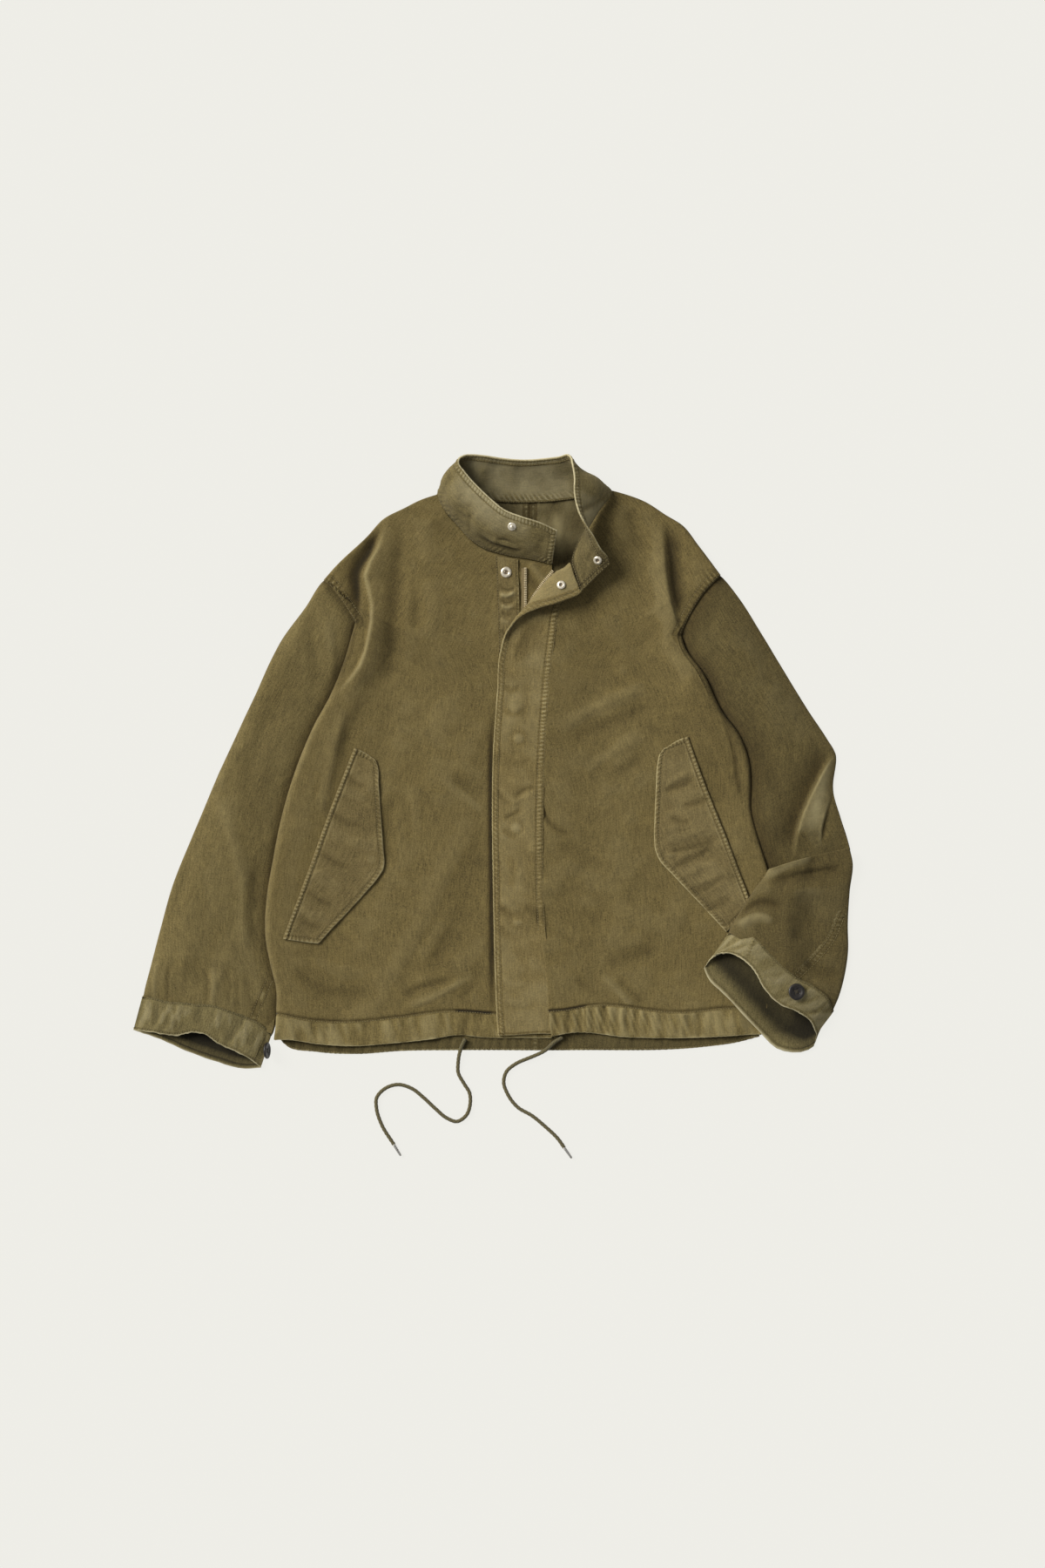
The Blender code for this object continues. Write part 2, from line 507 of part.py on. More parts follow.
def ring(start, end, height, floor_start, floor_end, carried):
    """A flattened ring of cloth between two ends of a row, its underside flat where it rests."""
    turn = np.arange(RING) * 2 * math.pi / RING
    across = (1 - np.cos(turn)) / 2
    lift = np.sin(turn)
    floor = floor_start + (floor_end - floor_start) * ease((across - carried) / FLOOR_STEP)
    body = np.where(lift >= 0, RING_TIP + (height - RING_TIP) * np.abs(lift)**RING_FULLNESS,
                    RING_TIP * np.maximum(0.0, 1 - RING_TURN_UNDER * np.abs(lift)))
    plan = np.outer(1 - across, start) + np.outer(across, end)
    return np.concatenate([plan, (floor + body)[:, None]], axis=1), across, lift


def bulged(rows):
    """Rings of a tube whose top and bottom layers bulge towards the wrist."""
    middles = [(np.array(row[0]) + np.array(row[1])) / 2 for row in rows]
    rings = []
    for k, row in enumerate(rows):
        start, end, height, floor_start, floor_end, carried, top_bulge, bottom_bulge = row
        points, across, lift = ring(start, end, height, floor_start, floor_end, carried)
        heading = middles[min(k + 1, len(rows) - 1)] - middles[max(k - 1, 0)]
        heading = heading / np.linalg.norm(heading)
        bulge = np.where(lift >= 0, top_bulge, bottom_bulge) * lift**2
        points[:, :2] += bulge[:, None] * heading
        rings.append(points)
    return np.stack(rings)


def spread(rings, rows):
    """The tube read at evenly spaced rows."""
    places = np.linspace(0.0, len(rings) - 1.0, rows)
    first = np.minimum(places.astype(int), len(rings) - 2)
    share = (places - first)[:, None, None]
    return rings[first] * (1 - share) + rings[first + 1] * share


def body_sleeve(name, side, table):
    """A sleeve beside the body, its inner edge tucked below the body's rolled side."""
    rows = []
    for outer_x, outer_y, inner_y, height in table:
        inner_x = side.x(inner_y) + side.inward * SIDE_TUCK
        rows.append(((outer_x, outer_y), (inner_x, inner_y), height, 0.0, 0.0, 0.5, 0.0, 0.0))
    return sheet(name, bulged(rows), SLEEVE_PLY, OLIVE, tube=True)


# ---------------------------------------------------------------- collar, fly and placket

def collar_grid(rows, columns):
    """The collar's middle surface: rows run round the neck, columns from seam to top edge."""
    seam = smooth([(*row[0], row[1]) for row in COLLAR], rows)
    edge = smooth([(*row[2], row[3]) for row in COLLAR], rows)
    run = np.linspace(0.0, len(COLLAR) - 1.0, rows)
    bow = np.interp(run, range(len(COLLAR)), [row[4] for row in COLLAR])
    along = np.gradient((seam + edge) / 2, axis=0)
    out = np.cross(edge - seam, along)
    out /= np.linalg.norm(out, axis=1)[:, None]
    middle = (seam + edge) / 2 + out * bow[:, None]
    return np.stack([smooth([a, b, c], columns) for a, b, c in zip(seam, middle, edge)])


def strip_grid(left, right, height, rows, columns=2):
    """A narrow flat strip between two edge lines."""
    left = smooth(left, rows)
    right = smooth(right, rows)
    share = np.linspace(0.0, 1.0, columns)[None, :, None]
    plan = left[:, None] * (1 - share) + right[:, None] * share
    return np.concatenate([plan, np.full((rows, columns, 1), height)], axis=2)


def make_pocket_flap(name, side, lines, rows=9, columns=7):
    plan = patch(smooth(lines["sewn"], rows), smooth(lines["free"], rows),
                 smooth(lines["top"], columns), smooth(lines["end"], columns))
    height = front_top(side, plan[..., 0], plan[..., 1]) + FLAP_AIR + DOUBLE_PLY
    return sheet(name, np.concatenate([plan, height[..., None]], axis=2), DOUBLE_PLY, OLIVE)


# ---------------------------------------------------------------- trims

def turned(name, profile, colour, roughness, metallic, steps=16):
    """A turned piece: radius and height rows, top to bottom, spun round Z."""
    mesh = bpy.data.meshes.new(name)
    points = [(radius * MM, 0.0, height * MM) for radius, height in profile]
    mesh.from_pydata(points, [(k, k + 1) for k in range(len(points) - 1)], [])
    piece = place(name, mesh, colour, roughness, metallic)
    spin = piece.modifiers.new("spin", "SCREW")
    spin.steps = steps
    spin.render_steps = steps
    spin.use_merge_vertices = True
    spin.merge_threshold = 0.0001
    spin.use_smooth_shade = True
    return piece


def seat(piece, grid, x, y, lift, pick=None):
    """Set a turned piece on a surface where it passes under a place in plan."""
    rows, columns = grid.shape[:2]
    inner = grid[1:-1, 1:-1] if pick is None else grid[pick[0]:pick[1], 1:-1]
    first = 1 if pick is None else pick[0]
    away = np.hypot(inner[..., 0] - x, inner[..., 1] - y)
    row, column = np.unravel_index(np.argmin(away), away.shape)
    row, column = row + first, column + 1
    normal = np.cross(grid[row + 1, column] - grid[row - 1, column],
                      grid[row, column + 1] - grid[row, column - 1])
    normal /= np.linalg.norm(normal)
    if normal[2] < 0:
        normal = -normal
    point = grid[row, column].copy()
    point[:2] = (x, y)
    point[2] = grid[row, column, 2] - (normal[0] * (x - grid[row, column, 0])
                                       + normal[1] * (y - grid[row, column, 1])) / normal[2]
    piece.location = (point + normal * lift) * MM
    piece.rotation_euler = Vector(normal).to_track_quat("Z", "Y").to_euler()


# Profiles of the turned pieces, top to bottom: radius, height.
SNAP_RING = [(0.0, 0.9), (2.2, 0.9), (2.6, 2.0), (4.4, 2.0), (6.2, 1.5), (6.6, 0.7), (6.4, 0.0), (0.0, 0.0)]
SNAP_STUD = [(0.0, 4.2), (1.7, 3.8), (2.3, 2.6), (1.8, 1.4), (4.8, 1.1), (5.2, 0.4), (5.0, 0.0), (0.0, 0.0)]
SNAP_SOCKET = [(0.0, 0.7), (1.9, 0.7), (2.2, 1.6), (3.8, 1.8), (5.0, 1.2), (5.2, 0.5), (5.0, 0.0), (0.0, 0.0)]


HOLE_RADIUS = 1.1
HOLE_PITCH = 4.2
BUTTON_PROFILE = [(0.0, 2.8), (5.6, 2.8), (7.0, BUTTON_THICK), (9.2, BUTTON_THICK), (BUTTON_WIDE / 2, 2.6),
                  (9.4, 0.6), (7.5, 0.0), (0.0, 0.0)]


def make_button(name, centre, tilt):
    """A four-hole cuff button; tilt turns its face from straight up towards +X."""
    blank = turned(name + "_blank", BUTTON_PROFILE, HORN, 0.45, 0.0, steps=20)
    cutters = []
    for across, along in ((-1, -1), (-1, 1), (1, -1), (1, 1)):
        centre_of_hole = Vector((across * HOLE_PITCH, along * HOLE_PITCH, BUTTON_THICK)) / 2 * MM
        bpy.ops.mesh.primitive_cylinder_add(vertices=8, radius=HOLE_RADIUS * MM, depth=2 * BUTTON_THICK * MM,
                                            location=centre_of_hole)
        cutter = bpy.context.active_object
        cutter.name = name + "_hole"
        for owner in list(cutter.users_collection):
            owner.objects.unlink(cutter)
        CUTTERS.objects.link(cutter)
        cutter.hide_render = True
        cutter.display_type = "WIRE"
        cutters.append(cutter)
        cut = blank.modifiers.new("hole", "BOOLEAN")
        cut.operation = "DIFFERENCE"
        cut.object = cutter
    bpy.context.view_layer.update()
    shape = bpy.data.meshes.new_from_object(blank.evaluated_get(bpy.context.evaluated_depsgraph_get()))
    shape.name = name
    for spare in cutters + [blank]:
        bpy.data.objects.remove(spare)
    button = place(name, shape, HORN, 0.45, 0.0)
    button.location = Vector(centre) * MM
    button.rotation_euler = (0.0, tilt, 0.0)
    return button


def make_cord(name, route, colour):
    """A braided cord as a round tube along its route."""
    points = smooth(route, round(length_of(route) / CORD_STEP))
    points[:, 2] = np.maximum(points[:, 2], CORD_LOW)
    curve = bpy.data.curves.new(name, "CURVE")
    curve.dimensions = "3D"
    curve.bevel_depth = CORD_THICK / 2 * MM
    curve.bevel_resolution = 2
    curve.use_fill_caps = True
    curve.render_resolution_u = 0
    spline = curve.splines.new("POLY")
    spline.points.add(len(points) - 1)
    for point, centre in zip(spline.points, points):
        point.co = (*(centre * MM), 1.0)
    place(name, curve, colour)
    return points


def length_of(route):
    return np.linalg.norm(np.diff(np.array(route, float), axis=0), axis=1).sum()


def make_aglet(name, points):
    """The crimped metal tip that follows the end of a cord."""
    heading = points[-1] - points[-2]
    heading /= np.linalg.norm(heading)
    radius = CORD_THICK / 2
    profile = [(0.0, AGLET_LONG), (1.3, AGLET_LONG - 0.4), (1.7, AGLET_LONG - 2.5), (radius * 0.85, 3.0),
               (radius * 0.95, 0.0), (0.0, 0.0)]
    tip = turned(name, profile, NICKEL, 0.3, 1.0, steps=10)
    tip.location = Vector((points[-1] + heading * SEAM) * MM)
    tip.rotation_euler = Vector(heading).to_track_quat("Z", "Y").to_euler()


# ---------------------------------------------------------------- build

for old in list(bpy.data.objects):
    bpy.data.objects.remove(old)
JACKET = bpy.data.collections.new("field_jacket")
CUTTERS = bpy.data.collections.new("cutters")
for collection in (JACKET, CUTTERS):
    bpy.context.scene.collection.children.link(collection)

flat_piece("back_right", back_outline(RIGHT), 0.0, BACK_TOP, OLIVE)
flat_piece("back_left", back_outline(LEFT), 0.0, BACK_TOP, OLIVE)
make_hem_back()
make_front("front_right", RIGHT, CENTRE_RIGHT, NECK_RIGHT, HEM_SEAM_RIGHT)
make_front("front_left", LEFT, CENTRE_LEFT, NECK_LEFT, HEM_SEAM_LEFT)
make_hem_front("hem_front_right", RIGHT, HEM_SEAM_RIGHT, HEM_EDGE_RIGHT)
make_hem_front("hem_front_left", LEFT, HEM_SEAM_LEFT, HEM_EDGE_LEFT)

body_sleeve("sleeve_right", RIGHT, SLEEVE_RIGHT)
body_sleeve("sleeve_left_upper", LEFT, SLEEVE_LEFT_UPPER)
sheet("sleeve_left_lower", bulged(FOREARM_LEFT), SLEEVE_PLY, OLIVE, tube=True)
cuff_right_grid = spread(bulged(CUFF_RIGHT), 5)
cuff_left_grid = spread(bulged(CUFF_LEFT), 6)
sheet("cuff_right", cuff_right_grid, PLY, OLIVE_WORN, tube=True)
sheet("cuff_left", cuff_left_grid, PLY, OLIVE_WORN, tube=True)

band = collar_grid(48, 6)
sheet("collar", band, COLLAR_PLY, OLIVE_WORN, offset=0.0)
fly = loft(FLY_FLAP, 30, 9)
sheet("fly_flap", fly, DOUBLE_PLY, OLIVE)
sheet("under_placket", strip_grid(PLACKET_LEFT_EDGE, PLACKET_RIGHT_EDGE, PLACKET_TOP + SEAM + PLY, 14, 3),
      PLY, OLIVE)
sheet("zip_tape_right", strip_grid(*TAPE_RIGHT_EDGES, PLACKET_TOP + SEAM + TAPE, 6), TAPE, OLIVE_TAPE)
sheet("zip_tape_left", strip_grid(*TAPE_LEFT_EDGES, PLACKET_TOP + SEAM + TAPE, 18), TAPE, OLIVE_TAPE)
make_pocket_flap("pocket_flap_right", RIGHT, FLAP_RIGHT)
make_pocket_flap("pocket_flap_left", LEFT, FLAP_LEFT)

bpy.ops.mesh.primitive_cube_add(size=1.0)
slider = bpy.context.active_object
slider.name = "zip_slider"
slider.data.name = "zip_slider"
slider.data.transform(Matrix.Diagonal((*(Vector(SLIDER_SIZE) * MM), 1.0)))
slider.data.materials.append(finish("zip_slider", NICKEL, 0.35, 1.0))
slider.location = (SLIDER_PLACE[0] * MM, SLIDER_PLACE[1] * MM, SLIDER_HEIGHT * MM)
for owner in list(slider.users_collection):
    owner.objects.unlink(slider)
JACKET.objects.link(slider)
soften = slider.modifiers.new("edges", "BEVEL")
soften.width = SLIDER_EDGE * MM
soften.segments = 1

seat(turned("snap_placket_post", SNAP_RING, NICKEL, 0.3, 1.0),
     strip_grid(PLACKET_LEFT_EDGE, PLACKET_RIGHT_EDGE, PLACKET_TOP + SEAM + PLY, 40, 9),
     *SNAP_PLACES["snap_placket_post"], SEAM)
seat(turned("snap_collar_stud", SNAP_STUD, NICKEL, 0.3, 1.0), band, *SNAP_PLACES["snap_collar_stud"],
     COLLAR_PLY / 2 + SEAM, pick=(1, 16))
seat(turned("snap_collar_socket", SNAP_SOCKET, NICKEL, 0.3, 1.0), band, *SNAP_PLACES["snap_collar_socket"],
     COLLAR_PLY / 2 + 3 * SEAM, pick=(38, 47))
seat(turned("snap_fly_socket", SNAP_SOCKET, NICKEL, 0.3, 1.0), fly, *SNAP_PLACES["snap_fly_socket"],
     FLY_SOCKET_LIFT, pick=(25, 29))

left_button = make_button("button_left", (0.0, 0.0, 0.0), 0.0)
seat(left_button, cuff_left_grid[:, :RING // 2 + 1], *BUTTON_LEFT_PLACE, BUTTON_LIFT)
make_button("button_right", BUTTON_RIGHT_PLACE, BUTTON_RIGHT_TILT)

for side_name, route in (("right", CORD_RIGHT), ("left", CORD_LEFT)):
    cord_points = make_cord("drawcord_" + side_name, route, OLIVE)
    make_aglet("aglet_" + side_name, cord_points)
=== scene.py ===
"""A field jacket of garment-dyed cotton twill, laid flat on its back, front up.

The sections follow the jacket as it is put together.  Right and left are the wearer's own:
-X is the wearer's right, +Y the neck, +Z up.  Tables are in millimetres, objects in metres.
"""
import math

import bpy
import numpy as np
from mathutils import Matrix, Vector


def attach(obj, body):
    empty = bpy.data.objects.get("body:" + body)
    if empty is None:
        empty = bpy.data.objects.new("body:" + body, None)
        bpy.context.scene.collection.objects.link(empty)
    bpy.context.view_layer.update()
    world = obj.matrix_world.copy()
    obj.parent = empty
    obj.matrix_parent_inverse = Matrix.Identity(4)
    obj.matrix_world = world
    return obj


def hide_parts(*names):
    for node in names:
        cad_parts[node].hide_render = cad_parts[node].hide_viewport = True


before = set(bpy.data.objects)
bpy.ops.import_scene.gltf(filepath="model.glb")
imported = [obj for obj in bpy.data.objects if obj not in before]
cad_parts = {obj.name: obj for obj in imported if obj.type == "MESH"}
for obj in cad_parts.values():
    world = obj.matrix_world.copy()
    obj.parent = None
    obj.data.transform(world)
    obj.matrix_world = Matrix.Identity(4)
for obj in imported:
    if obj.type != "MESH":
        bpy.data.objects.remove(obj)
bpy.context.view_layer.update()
MM = 0.001

# ---------------------------------------------------------------- camera, light and paper
# The jacket lies on pale paper under a copy stand: the camera looks straight down.  A large
# soft box hangs to the upper left, and the white room fills the shadows.

PICTURE_LONG = 1.890          # metres of paper along the long side of the picture
PICTURE_CENTRE = (0.0362, -0.0268)
CAMERA_HIGH = 6.0
CLOTH_LEVEL = 0.009           # the level that the picture is framed for
PAPER = (238, 237, 231)
ROOM_FILL = 0.30
KEY_FROM = (-1.0, 0.62, 0.85)     # the way to the soft box
KEY_SOFT = math.radians(30.0)
KEY_POWER = 4.2
PAPER_GLOW = 0.96             # the share of the paper that takes no shadow
PAPER_WIDE = 20.0
PAPER_LEVEL = -0.0002


def srgb(red, green, blue):
    """A colour from 0 to 255 as the linear one that shaders take."""
    share = [value / 255 for value in (red, green, blue)]
    return (*[s / 12.92 if s <= 0.04045 else ((s + 0.055) / 1.055)**2.4 for s in share], 1.0)


def node(tree, kind, sockets=None, **settings):
    """Add a shader or geometry node; a socket takes a value or another node's output."""
    made = tree.nodes.new(kind)
    for key, value in settings.items():
        setattr(made, key, value)
    for key, value in (sockets or {}).items():
        if isinstance(value, bpy.types.NodeSocket):
            tree.links.new(value, made.inputs[key])
        else:
            made.inputs[key].default_value = value
    return made


def maths(tree, operation, *values, clamp=False):
    """The result of a maths node."""
    return node(tree, "ShaderNodeMath", dict(enumerate(values)), operation=operation,
                use_clamp=clamp).outputs[0]


scene = bpy.context.scene
scene.view_settings.view_transform = "Standard"
camera = bpy.data.cameras.new("camera")
camera.lens = camera.sensor_width * (CAMERA_HIGH - CLOTH_LEVEL) / PICTURE_LONG
camera.clip_end = 60.0
eye = bpy.data.objects.new("camera", camera)
eye.location = (*PICTURE_CENTRE, CAMERA_HIGH)
scene.collection.objects.link(eye)
scene.camera = eye

key = bpy.data.lights.new("soft_box", "SUN")
key.angle = KEY_SOFT
key.energy = KEY_POWER
key.color = (1.0, 0.985, 0.94)
soft_box = bpy.data.objects.new("soft_box", key)
soft_box.rotation_euler = (-Vector(KEY_FROM)).to_track_quat("-Z", "Y").to_euler()
scene.collection.objects.link(soft_box)

world = bpy.data.worlds.new("white_room")
world.use_nodes = True
scene.world = world
room = world.node_tree
room.nodes.clear()
fill = node(room, "ShaderNodeBackground", {"Color": (0.97, 0.985, 1.0, 1.0), "Strength": ROOM_FILL})
seen = node(room, "ShaderNodeBackground", {"Color": srgb(*PAPER), "Strength": 1.0})
ray = node(room, "ShaderNodeLightPath")
either = node(room, "ShaderNodeMixShader", {0: ray.outputs["Is Camera Ray"], 1: fill.outputs[0],
                                            2: seen.outputs[0]})
node(room, "ShaderNodeOutputWorld", {"Surface": either.outputs[0]})

sheet_of_paper = bpy.data.meshes.new("paper")
corners = ((-1, -1), (1, -1), (1, 1), (-1, 1))
sheet_of_paper.from_pydata([(x * PAPER_WIDE, y * PAPER_WIDE, PAPER_LEVEL) for x, y in corners], [],
                           [(0, 1, 2, 3)])
paper = bpy.data.objects.new("paper", sheet_of_paper)
scene.collection.objects.link(paper)
paper_look = bpy.data.materials.new("pale_paper")
paper_look.use_nodes = True
tree = paper_look.node_tree
tree.nodes.clear()
glow = node(tree, "ShaderNodeEmission", {"Color": srgb(*PAPER), "Strength": 1.0})
matt = node(tree, "ShaderNodeBsdfDiffuse", {"Color": srgb(*PAPER)})
both = node(tree, "ShaderNodeMixShader", {0: PAPER_GLOW, 1: matt.outputs[0], 2: glow.outputs[0]})
node(tree, "ShaderNodeOutputMaterial", {"Surface": both.outputs[0]})
sheet_of_paper.materials.append(paper_look)

# ---------------------------------------------------------------- drawcords
# Two ends of a braided cotton cord, 4.4 mm thick, come out of the hem casing and lie loose on
# the paper.  Each is tipped with a crimped metal aglet.

CORD_THICK = 4.4
CORD_LOW = CORD_THICK / 2 + 0.05
CORD_HIGH = 5.2
CORD_ROUTES = {
    "right": [(-33, -334.5, CORD_HIGH), (-37.5, -344, CORD_HIGH), (-40, -352.5, 4.6), (-41.5, -363, CORD_LOW),
              (-41.5, -374.5, CORD_LOW), (-34, -389, CORD_LOW), (-28, -399, CORD_LOW),
              (-27, -413, CORD_LOW), (-32, -427, CORD_LOW), (-43, -434, CORD_LOW),
              (-55, -430, CORD_LOW), (-69, -418.5, CORD_LOW), (-83.5, -405, CORD_LOW),
              (-97, -394.5, CORD_LOW), (-114.5, -389.5, CORD_LOW), (-130, -394.5, CORD_LOW),
              (-140, -406, CORD_LOW), (-140, -418.5, CORD_LOW), (-134, -437.5, CORD_LOW),
              (-119, -462, CORD_LOW)],
    "left": [(84.5, -332, CORD_HIGH), (75, -338, CORD_HIGH), (63, -348.5, CORD_HIGH), (51, -354.5, 3.4),
             (42.5, -358, CORD_LOW), (28, -364.5, CORD_LOW), (16.5, -374.5, CORD_LOW),
             (13.5, -387, CORD_LOW), (18, -400.5, CORD_LOW), (30, -416.5, CORD_LOW),
             (47.5, -427, CORD_LOW), (64.5, -441, CORD_LOW), (79, -455, CORD_LOW),
             (86.5, -465.5, CORD_LOW)],
}
CORD_LONG = {"right": 0.291, "left": 0.204}
CORD_STEP = 0.7
CORD_AROUND = 24
STRANDS = 8                   # each way round the braid
BRAID_PITCH = 5.0
BRAID_DEEP = 0.30
CORD_COLOUR = (112, 103, 68)
CORD_GROOVE_SHADE = (62, 55, 32)
AGLET_LONG = 16.0
NICKEL = (0.66, 0.64, 0.60, 1.0)


def arc(points):
    """How far along a line each of its points is."""
    return np.concatenate([[0.0], np.cumsum(np.linalg.norm(np.diff(points, axis=0), axis=1))])


def unit(vectors):
    """The same vectors, one long."""
    return vectors / np.maximum(np.linalg.norm(vectors, axis=-1, keepdims=True), 1e-9)


def resample(line, places):
    """Points at given shares of a line's length, or that many even ones."""
    run = arc(line)
    shares = np.linspace(0.0, 1.0, places) if np.isscalar(places) else np.asarray(places)
    return np.stack([np.interp(shares * run[-1], run, line[:, axis]) for axis in range(line.shape[1])],
                    axis=1)


def hermite(given, run, at):
    """A smooth curve through rows of numbers, read anywhere along its run."""
    slope = np.gradient(given, run, axis=0)
    cell = np.clip(np.searchsorted(run, at, side="right") - 1, 0, len(run) - 2)
    step = (run[cell + 1] - run[cell])[:, None]
    t = (at - run[cell])[:, None] / step
    return ((2 * t**3 - 3 * t**2 + 1) * given[cell] + (t**3 - 2 * t**2 + t) * step * slope[cell]
            + (3 * t**2 - 2 * t**3) * given[cell + 1] + (t**3 - t**2) * step * slope[cell + 1])


def smooth(points, places):
    """Points on a smooth curve through the given ones."""
    given = np.array(points, float)
    run = arc(given)
    return resample(hermite(given, run, np.linspace(0.0, run[-1], 24 * len(given) + 1)), places)


def new_piece(name, points, faces, material, uv=None, tone=None):
    """A smooth-shaded mesh from points in millimetres, with its own map, and its wear and painted light."""
    mesh = bpy.data.meshes.new(name)
    mesh.from_pydata((np.asarray(points) * MM).tolist(), [], faces)
    mesh.shade_smooth()
    if uv is not None:
        corners = np.zeros(len(mesh.loops), int)
        mesh.loops.foreach_get("vertex_index", corners)
        layer = mesh.uv_layers.new(name="cloth")
        layer.data.foreach_set("uv", (np.asarray(uv) * MM)[corners].astype(np.float32).ravel())
    if tone is not None:
        rub_and_painted_light = mesh.attributes.new("tone", "FLOAT", "POINT")
        rub_and_painted_light.data.foreach_set("value", np.asarray(tone, np.float32).ravel())
    mesh.materials.append(material)
    piece = bpy.data.objects.new(name, mesh)
    scene.collection.objects.link(piece)
    return piece


def belong(piece, slot, *nodes):
    """Every piece rides on the one body and stands for its solids; its slot is not used."""
    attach(piece, "root")
    if nodes:
        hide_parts(*nodes)
    return piece


def angles(count):
    """Even angles once round."""
    return np.arange(count) * 2 * math.pi / count


def ring_faces(rings, around, start=0):
    """Quads between rings of points."""
    return [(start + r * around + k, start + (r + 1) * around + k,
             start + (r + 1) * around + (k + 1) % around, start + r * around + (k + 1) % around)
            for r in range(rings - 1) for k in range(around)]


def end_faces(rings, around, start=0):
    """A face over each end of a run of rings."""
    last = start + (rings - 1) * around
    return [tuple(range(start, start + around)), tuple(range(last, last + around))[::-1]]


def round_line(line, up, radius, around):
    """Rings of points round a line, and the way it heads."""
    ahead = unit(np.gradient(line, axis=0))
    across = unit(np.cross(ahead, up))
    turn = angles(around)[:, None]
    ring = across[:, None] * np.cos(turn) + np.cross(across, ahead)[:, None] * np.sin(turn)
    return line[:, None] + ring * radius, ahead


def turned(profile, steps):
    """Points and faces of radius and height rows, top to bottom, spun round Z; closed at both ends."""
    points = [(r * math.cos(a), r * math.sin(a), z) for r, z in profile[1:-1] for a in angles(steps)]
    top, last = len(points), len(points) - steps
    points += [(0.0, 0.0, profile[0][1]), (0.0, 0.0, profile[-1][1])]
    faces = ring_faces(len(profile) - 2, steps)
    faces += [(top, k, (k + 1) % steps) for k in range(steps)]
    faces += [(top + 1, last + (k + 1) % steps, last + k) for k in range(steps)]
    return np.array(points), faces


def set_at(points, place, up):
    """Turn points made round Z to face another way and move them."""
    turn = np.array(Vector(up).to_track_quat("Z", "Y").to_matrix())
    return points @ turn.T + np.asarray(place)


def new_look(name, **values):
    """A material, its tree and its shader, with constant values on the shader's own sockets."""
    look = bpy.data.materials.new(name)
    look.use_nodes = True
    shader = look.node_tree.nodes["Principled BSDF"]
    for label, value in values.items():
        shader.inputs[label.replace("_", " ")].default_value = value
    return look, look.node_tree, shader


def paint(tree, shader, colour, relief=None, rough=None):
    """Lead a colour, a relief (its height, strength and depth) and a roughness into a shader."""
    tree.links.new(colour, shader.inputs["Base Color"])
    if relief:
        bump = node(tree, "ShaderNodeBump", dict(zip(("Height", "Strength", "Distance"), relief)))
        tree.links.new(bump.outputs[0], shader.inputs["Normal"])
    if rough:
        tree.links.new(rough, shader.inputs["Roughness"])


def blend(tree, share, low, high, **settings):
    """Two colours mixed."""
    return node(tree, "ShaderNodeMix", {0: share, 6: low, 7: high}, data_type="RGBA", **settings).outputs[2]


def noise(tree, place, scale, detail, **more):
    """Soft lumps from 0 to 1."""
    return node(tree, "ShaderNodeTexNoise", {"Vector": place, "Scale": scale, "Detail": detail,
                                             **more}).outputs["Fac"]


def ranged(tree, value, low, high, to_low=0.0, to_high=1.0):
    """A value moved from one range to another."""
    return node(tree, "ShaderNodeMapRange", {"Value": value, "From Min": low, "From Max": high,
                                              "To Min": to_low, "To Max": to_high}).outputs[0]


def in_place(tree):
    return node(tree, "ShaderNodeTexCoord").outputs["Object"]


def worn_tone(tree):
    """The wear and painted light and shade that a piece's mesh holds."""
    return node(tree, "ShaderNodeAttribute", attribute_name="tone").outputs["Fac"]


def metal(name, colour, roughness, tarnish=(0.30, 0.27, 0.22, 1.0), shine=1.0):
    """Plated metal with fine handling marks and a little tarnish in the low places."""
    look, tree, shader = new_look(name, Metallic=shine)
    place = in_place(tree)
    marks = noise(tree, place, 2600.0, 2.0)
    low = ranged(tree, noise(tree, place, 420.0, 4.0), 0.52, 0.78)
    paint(tree, shader, blend(tree, maths(tree, "MAXIMUM", low, worn_tone(tree)), colour, tarnish),
          (marks, 0.25, 0.00005), ranged(tree, marks, 0.3, 0.7, roughness - 0.1, roughness + 0.1))
    return look


def braid_look():
    """Cotton braid: pale strand tops, with painted shade in the grooves where they cross."""
    look, tree, shader = new_look("braided_cotton", Roughness=0.92, Sheen_Weight=0.25)
    fuzz = noise(tree, in_place(tree), 1500.0, 3.0)
    # painted shade in the grooves between the strands
    depth = maths(tree, "MULTIPLY_ADD", worn_tone(tree), fuzz, 0.15)
    paint(tree, shader, blend(tree, depth, srgb(*CORD_GROOVE_SHADE), srgb(*CORD_COLOUR)), (fuzz, 0.4, 0.0003))
    return look


CRIMPS = [(2.05, 0.2), (1.95, 0.9), (1.55, 1.4), (1.95, 2.0), (1.95, 3.2), (1.6, 3.8), (1.9, 4.4),
              (1.85, 5.8), (1.55, 6.4), (1.8, 7.0), (1.75, 8.4), (1.5, 9.0), (1.7, 9.6), (1.65, 11.2),
              (1.45, 11.8), (1.6, 12.4), (1.5, 14.6), (1.2, 15.6), (0.8, 15.95)]
nickel = metal("plated_nickel", NICKEL, 0.30)
braided_cotton = braid_look()

